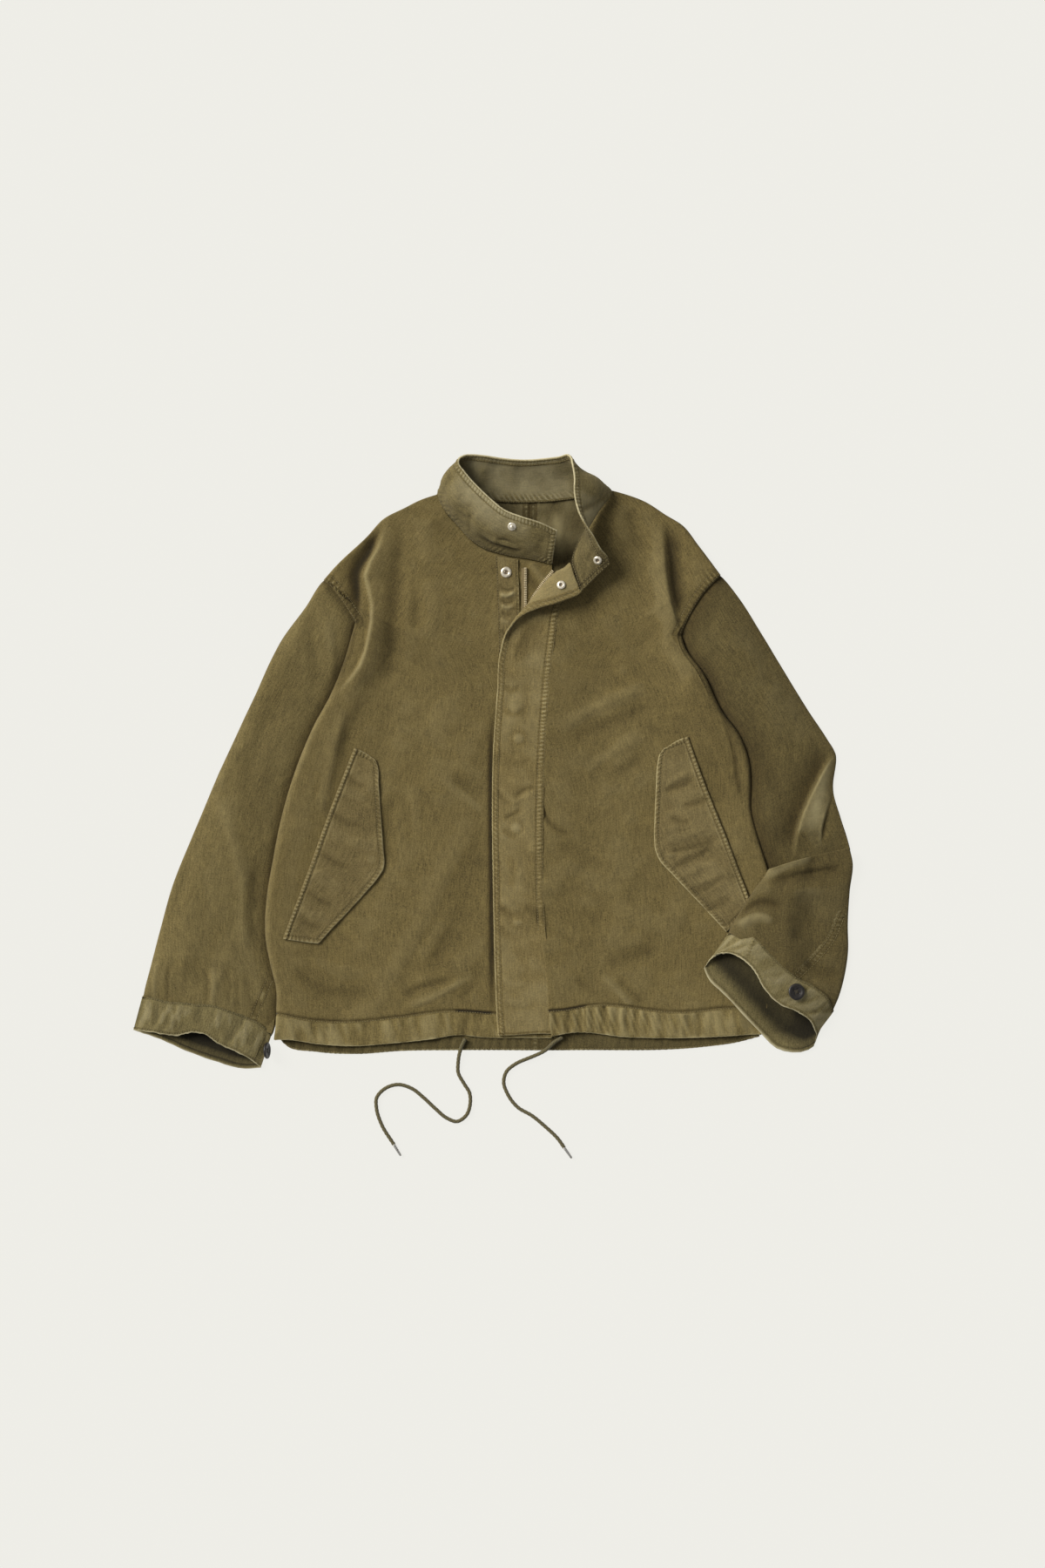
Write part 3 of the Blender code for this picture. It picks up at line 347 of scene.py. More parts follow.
for side, route in CORD_ROUTES.items():
    line = smooth(route, round(CORD_LONG[side] / MM / CORD_STEP))
    line[:, 2] = np.maximum(line[:, 2], CORD_LOW)
    turn = angles(CORD_AROUND)
    twist = arc(line)[:, None] * 2 * math.pi / BRAID_PITCH
    strand = np.maximum(np.sin(STRANDS / 2 * turn + twist), np.sin(STRANDS / 2 * turn - twist + math.pi / 2))
    radius = (CORD_THICK / 2 - BRAID_DEEP * (0.6 - strand))[..., None]
    rings, ahead = round_line(line, (0.0, 0.0, 1.0), radius, CORD_AROUND)
    faces = ring_faces(len(line), CORD_AROUND) + end_faces(len(line), CORD_AROUND)
    uv = np.stack(np.broadcast_arrays(turn[None] * CORD_THICK / 2, arc(line)[:, None]), axis=-1)
    drawcord = belong(new_piece(f"drawcord_{side}_braid", rings.reshape(-1, 3), faces, braided_cotton,
                                uv.reshape(-1, 2), np.clip(strand, 0.0, 1.0)), "cord", f"drawcord_{side}")
    points, faces = turned([(0.0, AGLET_LONG)] + CRIMPS[::-1] + [(0.0, 0.0)], 28)
    tip = set_at(points, line[-1], ahead[-1])
    aglet = belong(new_piece(f"aglet_{side}_crimped", tip, faces, nickel), "snap_metal", f"aglet_{side}")

# ---------------------------------------------------------------- back
# Two panels of heavy cotton twill with a flat-felled seam down the middle.  They lie under the
# fronts, and only the inside shows, in the neck opening.

PLY = 1.6
SEAM = 0.3
BACK_TOP = PLY
BACK_INSET = 3.0
CENTRE_BACK = 45.0
BACK_HEM = -315.0
NECK_TUCK = 4.0               # the neck edge runs up under the collar
SIDE_RIGHT = {
    "shoulder": [(-65.5, 323, 2.5), (-86.5, 316, 2.5), (-106.5, 306, 2.5), (-132, 292.5, 2.8),
                 (-150.5, 272.5, 3.0), (-189.5, 235.5, 3.2), (-204, 219, 3.5)],
    "armhole": [(-204, 219, 3.5), (-195, 211.5, 4.0), (-187.5, 201, 4.0), (-175, 183, 4.5),
                (-165.5, 168.5, 5.0)],
    "side": [(-165.5, 168.5, 5.0), (-170.5, 150.5, 6.0), (-179, 121.5, 7.0), (-195, 81.5, 7.0),
             (-216, 42.5, 7.0), (-228.5, 14, 7.0), (-239, -14, 7.0), (-255.5, -71, 7.0), (-266, -124.5, 7.0),
             (-272.5, -164.5, 7.0), (-273.5, -214.5, 7.0), (-267, -248.5, 6.5), (-261, -273.5, 6.0),
             (-261, -304, 5.0)],
    "hem": [(-261, -304, 5.0), (-262, -321, 4.5), (-264, -335.5, 4.0)],
}
SIDE_LEFT = {
    "shoulder": [(141, 328, 2.5), (156, 324, 2.5), (184.5, 313.5, 2.5), (209.5, 297.5, 2.8),
                 (229.5, 285, 3.0), (248.5, 261, 3.2), (275.5, 225, 3.5)],
    "armhole": [(275.5, 225, 3.5), (254.5, 202, 4.0), (240, 179, 4.5), (227.5, 153, 5.0)],
    "side": [(227.5, 153, 5.0), (231.5, 140, 6.0), (254.5, 106.5, 7.0), (276.5, 61.5, 7.0), (298.5, 31, 7.0),
             (309, 2.5, 6.0), (311.5, -27, 5.5), (311.5, -56, 5.0), (318.5, -86.5, 4.5), (327, -113, 4.0),
             (335.5, -142.5, 4.0), (339.5, -195, 4.0), (337.5, -247.5, 4.0), (332.5, -300, 4.0)],
    "hem": [(332.5, -300, 4.0), (330, -315.5, 4.0), (325, -329, 4.0)],
}
NECK_BACK = [(-65.5, 323), (-37.5, 317.5), (3.5, 312.5), (43.5, 312), (96, 316.5), (120, 322), (141, 328)]
OLIVE = (116, 102, 66)
OLIVE_SHADE = (74, 62, 32)
OLIVE_RUBBED_AND_LIT = (172, 159, 116)
THREAD_COLOUR = (131, 118, 77)


def ease(value):
    """0 to 1 with level ends."""
    t = np.clip(value, 0.0, 1.0)
    return t * t * (3.0 - 2.0 * t)


def between(value, start, end, soft):
    """1 between two places and 0 outside, with soft steps inside them."""
    return ease((value - start) / soft) * ease((end - value) / soft)


def bell(away, wide, power=2):
    """1 in the middle of a crease, 0.37 at its half width, near 0 at twice that."""
    return np.exp(-(away / wide)**power)


LATTICE = 97              # cells each way before the unevenness repeats


def drift(x, y, size, seed):
    """Soft unevenness from -1 to 1, with lumps of about this size."""
    lattice = np.random.default_rng(seed).uniform(-1.0, 1.0, (LATTICE, LATTICE))
    u, v = np.asarray(x) / size + 31.7, np.asarray(y) / size + 17.3
    column, row = np.floor(u).astype(int), np.floor(v).astype(int)
    s, t = ease(u - column), ease(v - row)
    a, b = column % LATTICE, row % LATTICE
    c, d = (a + 1) % LATTICE, (b + 1) % LATTICE
    return ((lattice[b, a] * (1 - s) + lattice[b, c] * s) * (1 - t)
            + (lattice[d, a] * (1 - s) + lattice[d, c] * s) * t)


def waver(along, size, seed):
    """Unevenness along a line."""
    return drift(along, 0 * along, size, seed)


def raised(plan, height):
    """Points in plan with their heights."""
    return np.concatenate([plan, height[..., None]], axis=2)


STEP_OPEN = 1.1           # opens every spacing, which keeps the whole under a million triangles


def spacing(length, coarse, fine=1.0, reach=11.0, start=True, end=True):
    """Shares of a length in even steps, with fine steps near the ends that are sewn or turned."""
    coarse, fine = coarse * STEP_OPEN, fine * STEP_OPEN
    places = [0.0, 0.3, 0.8] if start else [0.0]
    while places[-1] < length:
        near = min(places[-1] if start else length, length - places[-1] if end else length)
        places.append(places[-1] + fine + (coarse - fine) * float(ease((near - reach) / (3 * coarse))))
    places = np.array(places[:-1])
    if end:
        places = places[places < length - 1.2]
        places = np.concatenate([places, [length - 0.8, length - 0.3]])
    return np.append(places, length) / length


def joined(strokes, places):
    """Smooth strokes end to end with their corners kept, read at shares of the length."""
    pieces = [smooth(stroke, 120) for stroke in strokes]
    return resample(np.concatenate([pieces[0]] + [piece[1:] for piece in pieces[1:]]), places)


def patch(left, right, top, bottom, down, across):
    """A four-sided patch between two side lines and two cross lines, row by row."""
    d, a = down[:, None, None], across[None, :, None]
    sides = (1 - a) * left[:, None] + a * right[:, None]
    ends = (1 - d) * top[None] + d * bottom[None]
    corners = ((1 - a) * (1 - d) * left[0] + a * (1 - d) * right[0]
               + (1 - a) * d * left[-1] + a * d * right[-1])
    return sides + ends - corners


def nearest(x, y, line):
    """Signed distance from a line in plan, positive on its left, and how far along it that is."""
    line = np.asarray(line, float)
    away, along = np.full(np.shape(x), 1e9), np.zeros(np.shape(x))
    run = arc(line[:, :2])
    for k in range(len(line) - 1):
        (ax, ay), (bx, by) = line[k, :2], line[k + 1, :2]
        span = max((bx - ax)**2 + (by - ay)**2, 1e-9)
        t = np.clip(((x - ax) * (bx - ax) + (y - ay) * (by - ay)) / span, 0.0, 1.0)
        gap = np.hypot(x - ax - t * (bx - ax), y - ay - t * (by - ay))
        side = np.where((bx - ax) * (y - ay) - (by - ay) * (x - ax) >= 0, 1.0, -1.0)
        closer = gap < np.abs(away)
        away = np.where(closer, side * gap, away)
        along = np.where(closer, run[k] + t * math.sqrt(span), along)
    return away, along


def folds(x, y, table):
    """Height, rub and painted light of creases.

    Each has its height, its half width on the left and the right of its line, the line, and
    its rub and painted light: above 0 paler on a crest, below 0 painted shade in a hollow."""
    total, rub_and_painted_light = np.zeros(np.shape(x)), np.zeros(np.shape(x))
    for height, left, right, line, *mark in table:
        line = smooth(line, 14)
        away, along = nearest(x, y, line)
        long = arc(line[:, :2])[-1]
        shape = between(along, 0.0, long, 0.25 * long) * bell(away, np.where(away > 0, left, right))
        total = total + height * shape
        rub_and_painted_light = rub_and_painted_light + (mark[0] if mark else 0.0) * shape
    return total, rub_and_painted_light


def edge_run(grid, axis, backwards=False):
    """How far each point of a grid is from its first or last row or column."""
    steps = np.linalg.norm(np.diff(grid, axis=axis), axis=2)
    pad = [(0, 0), (0, 0)]
    pad[axis] = (1, 0)
    run = np.pad(np.cumsum(steps, axis=axis), pad)
    return np.take(run, [-1], axis=axis) - run if backwards else run


def from_ends(grid, axis):
    """How far each point of a grid is from the nearer of two opposite edges."""
    return np.minimum(edge_run(grid, axis), edge_run(grid, axis, True))


def outward(grid, tube=False):
    """Unit normals of a grid, on its upper or outer side."""
    down = np.gradient(grid, axis=0)
    across = (np.roll(grid, -1, axis=1) - np.roll(grid, 1, axis=1)) if tube else np.gradient(grid, axis=1)
    normal = unit(np.cross(across, down))
    facing = normal[..., 2] * (grid[..., 2] - grid[..., 2].mean(axis=1)[:, None] if tube else 1.0)
    return normal if facing.sum() >= 0 else -normal


def stitched(across, along, rows, seed, pitch=5.6, pucker=0.32, sink=0.35, worn=1.0, lean=0.25, rub_wide=1.3):
    """Relief of cloth between an edge and its rows of stitches, with its rub and painted light and shade."""
    last = rows[-1]
    uneven = waver(along, 3.1 * pitch, seed)
    phase = along / pitch + 0.45 * uneven + lean * across / pitch
    strength = 0.65 + 0.35 * waver(along, 37.0, seed + 1)
    window = bell(across - 0.55 * last, 0.55 * last)
    wave = np.sin(2 * math.pi * phase) * window * strength
    # the puckers are painted paler on their crests and darker in their troughs: painted light and shade
    relief, tone = pucker * wave, (0.15 + 0.8 * pucker) * wave
    for row in rows:
        groove = bell(across - row, 1.0)
        relief = relief - sink * groove
        # painted shade in the stitch groove
        tone = tone - 1.0 * groove * (0.75 + 0.25 * uneven)
    # the band along the edge is rubbed paler where the edge's amount is above 0, and painted in shade where
    # it is below 0
    rub_and_light_share = bell(across, rub_wide) * (0.75 + 0.35 * waver(along, 11.0, seed + 2))
    return relief, tone + worn * rub_and_light_share


def cloth_piece(name, grid, wall, material, tone, tube=False, middle=False, rim=1.4, both=0.6, inner_face_light=0.0):
    """A thin shell whose outer face is the grid, with round turned edges.

    Its inner face takes a share of the outer face's wear and painted light, and its own painted light and
    shade."""
    normal = outward(grid, tube)
    wall = np.broadcast_to(wall, grid.shape[:2])[..., None]
    core = grid if middle else grid - normal * wall / 2
    near = from_ends(grid, 0) if tube else np.minimum(from_ends(grid, 0), from_ends(grid, 1))
    plump = np.sqrt(np.clip(1 - (1 - np.minimum(near / rim, 1.0))**2, 0.004, 1.0))[..., None]
    rows, columns = grid.shape[:2]
    points = np.concatenate([(core + normal * wall / 2 * plump).reshape(-1, 3),
                             (core - normal * wall / 2 * plump).reshape(-1, 3)])
    index = np.arange(rows * columns).reshape(rows, columns)
    if tube:
        index = np.concatenate([index, index[:, :1]], axis=1)
    quads = np.stack([index[:-1, :-1], index[:-1, 1:], index[1:, 1:], index[1:, :-1]], axis=-1).reshape(-1, 4)
    a, b, c = (grid.reshape(-1, 3)[quads[:, k]] for k in (0, 1, 2))
    flipped = (np.cross(b - a, c - a) * normal.reshape(-1, 3)[quads[:, 0]]).sum() < 0
    quads = quads[:, ::-1] if flipped else quads
    under = rows * columns
    rims = [index[0], index[-1][::-1]] if tube else [index[0], index[:, -1], index[-1][::-1], index[::-1, 0]]
    bands = []
    for line in rims:
        band = np.stack([line[1:], line[:-1], line[:-1] + under, line[1:] + under], axis=-1)
        bands.append(band[:, ::-1] if flipped else band)
    faces = np.concatenate([quads, quads[:, ::-1] + under] + bands)
    long = edge_run(grid, 1)
    uv = np.stack([long - long[:, -1:] / 2, -edge_run(grid, 0)], axis=-1).reshape(-1, 2)
    inner = both * tone + inner_face_light
    return new_piece(name, points, faces.tolist(), material, np.concatenate([uv, uv]),
                     np.concatenate([tone.ravel(), inner.ravel()]))


def new_group(name, inputs, outputs):
    """A shader group with named sockets."""
    tree = bpy.data.node_groups.new(name, "ShaderNodeTree")
    for label, kind, value in inputs:
        tree.interface.new_socket(label, in_out="INPUT", socket_type=kind).default_value = value
    for label, kind in outputs:
        tree.interface.new_socket(label, in_out="OUTPUT", socket_type=kind)
    return tree, tree.nodes.new("NodeGroupInput"), tree.nodes.new("NodeGroupOutput")


YARNS = 1150.0            # to a metre of cloth
CLOUD, SLUB = 0.22, 0.85      # how far the dye wanders, over the cloth and from yarn to yarn


def on_cloth(tree):
    return node(tree, "ShaderNodeUVMap", uv_map="cloth").outputs["UV"]


def scaled(tree, vector, scale):
    return node(tree, "ShaderNodeVectorMath", {0: vector, "Scale": scale}, operation="SCALE").outputs[0]


def mapped(tree, place, scale, turn=0.0):
    """A place scaled each way and turned by degrees in its own plane."""
    return node(tree, "ShaderNodeMapping", {"Vector": place, "Scale": scale,
                                             "Rotation": (0.0, 0.0, math.radians(turn))}).outputs[0]


def make_dye_and_painted_light_group():
    """Garment dye: a colour that wanders, paler where rubbed and where highlights are painted on crests,
    painted shade in the creases, near black where that shade is deepest.
    """
    inputs = [("Colour", "NodeSocketColor", srgb(*OLIVE)), ("Painted shade", "NodeSocketColor", srgb(*OLIVE_SHADE)),
              ("Rubbed and lit", "NodeSocketColor", srgb(*OLIVE_RUBBED_AND_LIT)), ("Tone", "NodeSocketFloat", 0.0),
              ("Cloud", "NodeSocketFloat", CLOUD), ("Slub", "NodeSocketFloat", SLUB)]
    tree, given, out = new_group("dye_and_painted_light", inputs, [("Colour", "NodeSocketColor")])
    place, laid, tone = in_place(tree), on_cloth(tree), given.outputs["Tone"]

    def uneven(strength, *layers):
        """Layers of noise on both sides of nothing, each with its gain."""
        total = 0.0
        for layer, gain in layers:
            part = maths(tree, "MULTIPLY", maths(tree, "SUBTRACT", layer, 0.5), gain)
            total = maths(tree, "ADD", total, part)
        return maths(tree, "MULTIPLY", total, strength)

    big = noise(tree, place, 9.0, 3.0, Roughness=0.55)
    small = noise(tree, place, 62.0, 4.0, Roughness=0.6)
    slub = noise(tree, mapped(tree, laid, (170.0, 760.0, 1.0)), 1.0, 3.0, Roughness=0.6)
    grain = noise(tree, place, 700.0, 3.0, Roughness=0.65)
    streak = noise(tree, mapped(tree, laid, (640.0, 60.0, 1.0)), 1.0, 2.0)
    clouds = uneven(given.outputs["Cloud"], (big, 1.6), (small, 1.9))
    threads = uneven(given.outputs["Slub"], (slub, 0.6), (grain, 2.0), (streak, 1.1))
    value = maths(tree, "ADD", maths(tree, "ADD", clouds, threads), 0.94)
    warm = blend(tree, big, (1.04, 1.0, 0.83, 1.0), (0.99, 1.0, 0.99, 1.0))
    tinted = blend(tree, 1.0, given.outputs["Colour"], warm, blend_type="MULTIPLY")
    # tone above 0 goes pale for rub and painted highlights; below 0 it goes to the painted shade colour, and
    # past -1 to near black for the deepest painted shade
    rub_and_light_share = maths(tree, "MULTIPLY", tone, maths(tree, "MULTIPLY_ADD", small, 1.1, 0.45))
    shade_share = maths(tree, "MULTIPLY", tone, -0.9)
    pale = blend(tree, rub_and_light_share, scaled(tree, tinted, value), given.outputs["Rubbed and lit"])
    deep = blend(tree, shade_share, pale, scaled(tree, given.outputs["Painted shade"], value))
    deepest_shade = blend(tree, maths(tree, "SUBTRACT", shade_share, 1.0, clamp=True), deep, srgb(20, 16, 8))
    tree.links.new(deepest_shade, out.inputs["Colour"])
    return tree


def make_weave_group():
    """Twill lines that climb across the warp, with uneven yarns."""
    tree, given, out = new_group("twill_weave", [("Yarns", "NodeSocketFloat", YARNS)],
                                 [("Height", "NodeSocketFloat")])
    place = in_place(tree)
    leaning = mapped(tree, scaled(tree, on_cloth(tree), given.outputs["Yarns"]), (1.0, 0.25, 1.0), 27.0)
    lines = node(tree, "ShaderNodeTexWave", {"Vector": leaning, "Scale": 0.5, "Distortion": 0.8,
                                             "Detail": 1.0})
    yarn = maths(tree, "MULTIPLY_ADD", noise(tree, place, 1400.0, 2.0), 0.8, lines.outputs["Fac"])
    lumps = noise(tree, place, 130.0, 4.0, Roughness=0.62)
    tree.links.new(maths(tree, "MULTIPLY_ADD", lumps, 5.0, yarn), out.inputs["Height"])
    return tree


dye_and_painted_light = make_dye_and_painted_light_group()
twill_weave = make_weave_group()


def twill(name, colour, deep=OLIVE_SHADE, worn=OLIVE_RUBBED_AND_LIT):
    """Washed cotton twill."""
    look, tree, shader = new_look(name, Roughness=0.92, Specular_IOR_Level=0.25, Sheen_Weight=0.03,
                                  Sheen_Roughness=0.55)
    # deep is the colour of the painted shade in creases; the pale colour is for rub and painted highlights
    dye = node(tree, "ShaderNodeGroup", {"Colour": srgb(*colour), "Painted shade": srgb(*deep), "Rubbed and lit": srgb(*worn),
                                          "Cloud": CLOUD, "Slub": SLUB, "Tone": worn_tone(tree)},
               node_tree=dye_and_painted_light)
    weave = node(tree, "ShaderNodeGroup", {"Yarns": YARNS}, node_tree=twill_weave)
    paint(tree, shader, dye.outputs["Colour"], (weave.outputs["Height"], 0.6, 0.00045))
    return look


# the inside is painted darker than the outer twill: painted shade in the neck opening
olive_inside_shaded = twill("olive_twill_inside_shaded", colour=(82, 72, 45))
for label, side, inward in (("right", SIDE_RIGHT, 1.0), ("left", SIDE_LEFT, -1.0)):
    down = spacing(560.0, 7.0, fine=2.0, end=False)
    across = spacing(300.0, 6.0, fine=2.0, start=False)
    edge = joined([side["armhole"], side["side"]], down)[:, :2] + (inward * BACK_INSET, 0.0)
    edge[:, 1] = np.maximum(edge[:, 1], BACK_HEM)
    shoulder = np.array(smooth(side["shoulder"], 60)[::-1, :2]) - (0.0, 1.5)
    neck = np.array([p for p in smooth(NECK_BACK, 120) if (CENTRE_BACK - p[0]) * inward > SEAM])
    neck = (neck + (0.0, NECK_TUCK))[::int(inward)]
    top = resample(np.concatenate([edge[:1], shoulder[1:-1], neck]), across)
    middle = CENTRE_BACK - inward * SEAM / 2
    top[-1, 0] = middle
    centre = resample(np.array([top[-1], (middle, BACK_HEM)]), down)
    bottom = resample(np.array([edge[-1], (middle, BACK_HEM)]), across)
    plan = patch(edge, centre, top, bottom, down, across)
    x, y = plan[..., 0], plan[..., 1]
    open_neck = ease((y - 235.0) / 40.0) * between(x, -40.0, 150.0, 40.0)
    from_seam = np.abs(x - CENTRE_BACK)
    lift = open_neck * (0.8 + 1.1 * drift(x, 0.5 * y, 20.0, 5) + 0.7 * drift(x, 0.6 * y, 9.0, 6)
                        + folds(x, y, [(2.2, 5.0, 9.0, [(82, 304), (79, 270), (86, 235)]),
                                       (1.6, 4.0, 7.0, [(60, 300), (66, 262)])])[0])
    relief, tone = stitched(from_seam, y, (1.2, 6.8), 40, pucker=0.35, worn=-0.9)
    # paler where the cloth lifts in the neck: painted light
    tone = tone + 0.15 * lift
    grid = raised(plan, BACK_TOP + np.maximum(lift, 0.0) + relief * open_neck)
    back = belong(cloth_piece(f"back_{label}_twill", grid, PLY, olive_inside_shaded, tone), "twill", f"back_{label}")

# ---------------------------------------------------------------- back hem
# The cord casing of the back: twill folded double and stitched down.  A strip of it shows
# below the front hem.

DOUBLE_PLY = 2.4
HEM_BACK_EDGE = [(-258, -331), (-249.5, -342), (-212.5, -350), (-162, -352.5), (-112, -349), (-44.5, -348),
                 (95, -348), (255.5, -344), (295.5, -338.5), (322, -331.5)]
HEM_JOIN = 52.0               # where the casing's two halves are joined
# the back casing is painted darker than the fronts: painted shade where it shows under the front hem
OLIVE_HEM_SHADED = (88, 78, 49)


def gathers(x, pitch, seed):
    """Uneven gathers along a casing."""
    return np.sin(2 * math.pi * (x / pitch + 0.6 * waver(x, 2.3 * pitch, seed))) * (
        0.55 + 0.45 * waver(x, 55.0, seed + 1))


def edge_of(grid, edge):
    """Distance in from one edge of a grid, and the distance along it."""
    axis, backwards = {"first_row": (0, False), "last_row": (0, True),
                       "first_column": (1, False), "last_column": (1, True)}[edge]
    return edge_run(grid, axis, backwards), edge_run(grid, 1 - axis)


def sew_edge(grid, tone, edge, rows, seed, tube=False, share=1.0, **look):
    """Press a grid's edge as if it had been stitched down, with its rub and painted light and shade."""
    across, along = edge_of(grid, edge)
    relief, marks = stitched(across, along, rows, seed, **look)
    return grid + outward(grid, tube) * (share * relief)[..., None], tone + share * marks


def inset(grid, edge, distance, tube=False, trim=(0.0, 0.0)):
    """The line on a grid at a distance in from an edge, with the cloth's normals."""
    normal = outward(grid, tube)
    across, _ = edge_of(grid, edge)
    if edge.endswith("column"):
        fields, across = np.concatenate([grid, normal], axis=2), across
    else:
        fields, across = np.concatenate([grid, normal], axis=2).transpose(1, 0, 2), across.T
    line = []
    for row, run in zip(fields, across):
        order = np.argsort(run)
        if run.max() > distance:
            line.append([np.interp(distance, run[order], row[order, k]) for k in range(6)])
    line = np.array(line)
    run = arc(line[:, :3])
    line = line[(run >= trim[0]) & (run <= run[-1] - trim[1])]
    return line[:, :3], line[:, 3:]


def lay_on(grid, line, offset=0.0, mask=None):
    """A line of plan points laid on the cloth, with its normals; offset moves it to its left."""
    line = smooth(line, 60)[:, :2]
    ahead = unit(np.gradient(line, axis=0))
    line = line + offset * np.stack([-ahead[:, 1], ahead[:, 0]], axis=1)
    normal = outward(grid)
    keep = normal[..., 2] > 0.2 if mask is None else mask
    points, normals = grid[keep], normal[keep]
    laid, ups = [], []
    for x, y in line:
        away = np.hypot(points[:, 0] - x, points[:, 1] - y)
        close = np.argpartition(away, 4)[:4]
        weight = 1 / (away[close] + 0.05)
        weight /= weight.sum()
        laid.append((x, y, float((points[close, 2] * weight).sum())))
        ups.append((normals[close] * weight[:, None]).sum(axis=0))
    return np.array(laid), np.array(ups)


def make_repeat_tree(name, shape, sizes, smooth):
    """Nodes that set one small thing at each point, turned by the point's heading and up.

    The sizes are the tree's inputs, the last one the material."""
    tree = bpy.data.node_groups.new(name, "GeometryNodeTree")
    tree.interface.new_socket("Geometry", in_out="INPUT", socket_type="NodeSocketGeometry")
    sockets = {}
    for label, kind, value in sizes:
        socket = tree.interface.new_socket(label, in_out="INPUT", socket_type=kind)
        if value is not None:
            socket.default_value = value
        sockets[label] = socket.identifier
    tree.interface.new_socket("Geometry", in_out="OUTPUT", socket_type="NodeSocketGeometry")
    given, out = tree.nodes.new("NodeGroupInput"), tree.nodes.new("NodeGroupOutput")
    thing, scale = shape(tree, given.outputs)
    turn = node(tree, "FunctionNodeAxesToRotation", primary_axis="X", secondary_axis="Z")
    for place, label in enumerate(("heading", "up")):
        axis = node(tree, "GeometryNodeInputNamedAttribute", {"Name": label}, data_type="FLOAT_VECTOR")
        tree.links.new(axis.outputs["Attribute"], turn.inputs[place])
    made = node(tree, "GeometryNodeInstanceOnPoints", {"Points": given.outputs["Geometry"], "Instance": thing,
                                                        "Rotation": turn.outputs[0], "Scale": scale})
    made = node(tree, "GeometryNodeRealizeInstances", {"Geometry": made.outputs[0]})
    if smooth:
        made = node(tree, "GeometryNodeSetShadeSmooth", {"Geometry": made.outputs[0]})
    made = node(tree, "GeometryNodeSetMaterial", {"Geometry": made.outputs[0],
                                                   "Material": given.outputs[sizes[-1][0]]})
    tree.links.new(made.outputs[0], out.inputs["Geometry"])
    return tree, sockets


def stitch_shape(tree, given):
    """A sunk oval of thread, and how much longer or shorter each one is."""
    oval = node(tree, "GeometryNodeMeshUVSphere", {"Segments": 6, "Rings": 4, "Radius": 0.5})
    size = node(tree, "ShaderNodeCombineXYZ", {"X": given["Stitch Length"], "Y": given["Thread Width"],
                                                "Z": given["Thread Width"]})
    shaped = node(tree, "GeometryNodeTransform", {"Geometry": oval.outputs["Mesh"], "Scale": size.outputs[0]})
    uneven = node(tree, "FunctionNodeRandomValue", {"Seed": given["Seed"]}, data_type="FLOAT")
    ends = [socket for socket in uneven.inputs if socket.type == "VALUE"]
    for socket, operation in zip(ends, ("SUBTRACT", "ADD")):
        tree.links.new(maths(tree, operation, 1.0, given["Unevenness"]), socket)
    return shaped.outputs[0], next(socket for socket in uneven.outputs if socket.type == "VALUE")


STITCH = {"Stitch Length": 0.0025, "Thread Width": 0.0007, "Unevenness": 0.15}
lockstitch, lockstitch_sockets = make_repeat_tree(
    "lockstitch", stitch_shape, [(label, "NodeSocketFloat", value) for label, value in STITCH.items()]
    + [("Seed", "NodeSocketInt", 3), ("Thread", "NodeSocketMaterial", None)], True)


def thread_look(name, colour):
    """Polyester-wrapped cotton thread, dyed with the garment."""
    look, tree, shader = new_look(name, Roughness=0.7)
    dark, pale = srgb(*(0.78 * c for c in colour)), srgb(*(min(255, 1.14 * c) for c in colour))
    paint(tree, shader, blend(tree, noise(tree, in_place(tree), 300.0, 2.0), dark, pale))
    return look


olive_thread = thread_look("olive_thread", THREAD_COLOUR)
STITCH_PITCH = 3.1


def evaluated(piece, name):
    """The plain mesh that a piece's modifiers make, as a piece of its own."""
    seen_by = bpy.context.evaluated_depsgraph_get()
    mesh = bpy.data.meshes.new_from_object(piece.evaluated_get(seen_by))
    bpy.data.objects.remove(piece)
    mesh.name = name
    made = bpy.data.objects.new(name, mesh)
    scene.collection.objects.link(made)
    return made


def scatter(name, lines, pitch, tree, sockets, values, lift):
    """Set one repeated thing at even steps along lines on the cloth."""
    places, headings, ups = [], [], []
    for points, normals in lines:
        count = max(3, round(arc(points)[-1] / pitch))
        both = resample(np.concatenate([points, normals * 1e-6], axis=1), count)
        spot, up = both[:, :3], unit(both[:, 3:])
        places.append(spot + up * lift)
        headings.append(unit(np.gradient(spot, axis=0)))
        ups.append(up)
    mesh = bpy.data.meshes.new(name + "_places")
    mesh.from_pydata((np.concatenate(places) * MM).tolist(), [], [])
    for label, rows in (("heading", headings), ("up", ups)):
        field = mesh.attributes.new(label, "FLOAT_VECTOR", "POINT")
        field.data.foreach_set("vector", np.concatenate(rows).astype(np.float32).ravel())
    piece = bpy.data.objects.new(name + "_places", mesh)
    scene.collection.objects.link(piece)
    maker = piece.modifiers.new("maker", "NODES")
    maker.node_group = tree
    for label, value in values.items():
        maker[sockets[label]] = value
    return evaluated(piece, name)


def sew(name, lines, seed):
    """Stitches along lines; they ride with the cloth."""
    values = {**STITCH, "Seed": seed, "Thread": olive_thread}
    return belong(scatter(name, lines, STITCH_PITCH, lockstitch, lockstitch_sockets, values, 0.02), "twill")


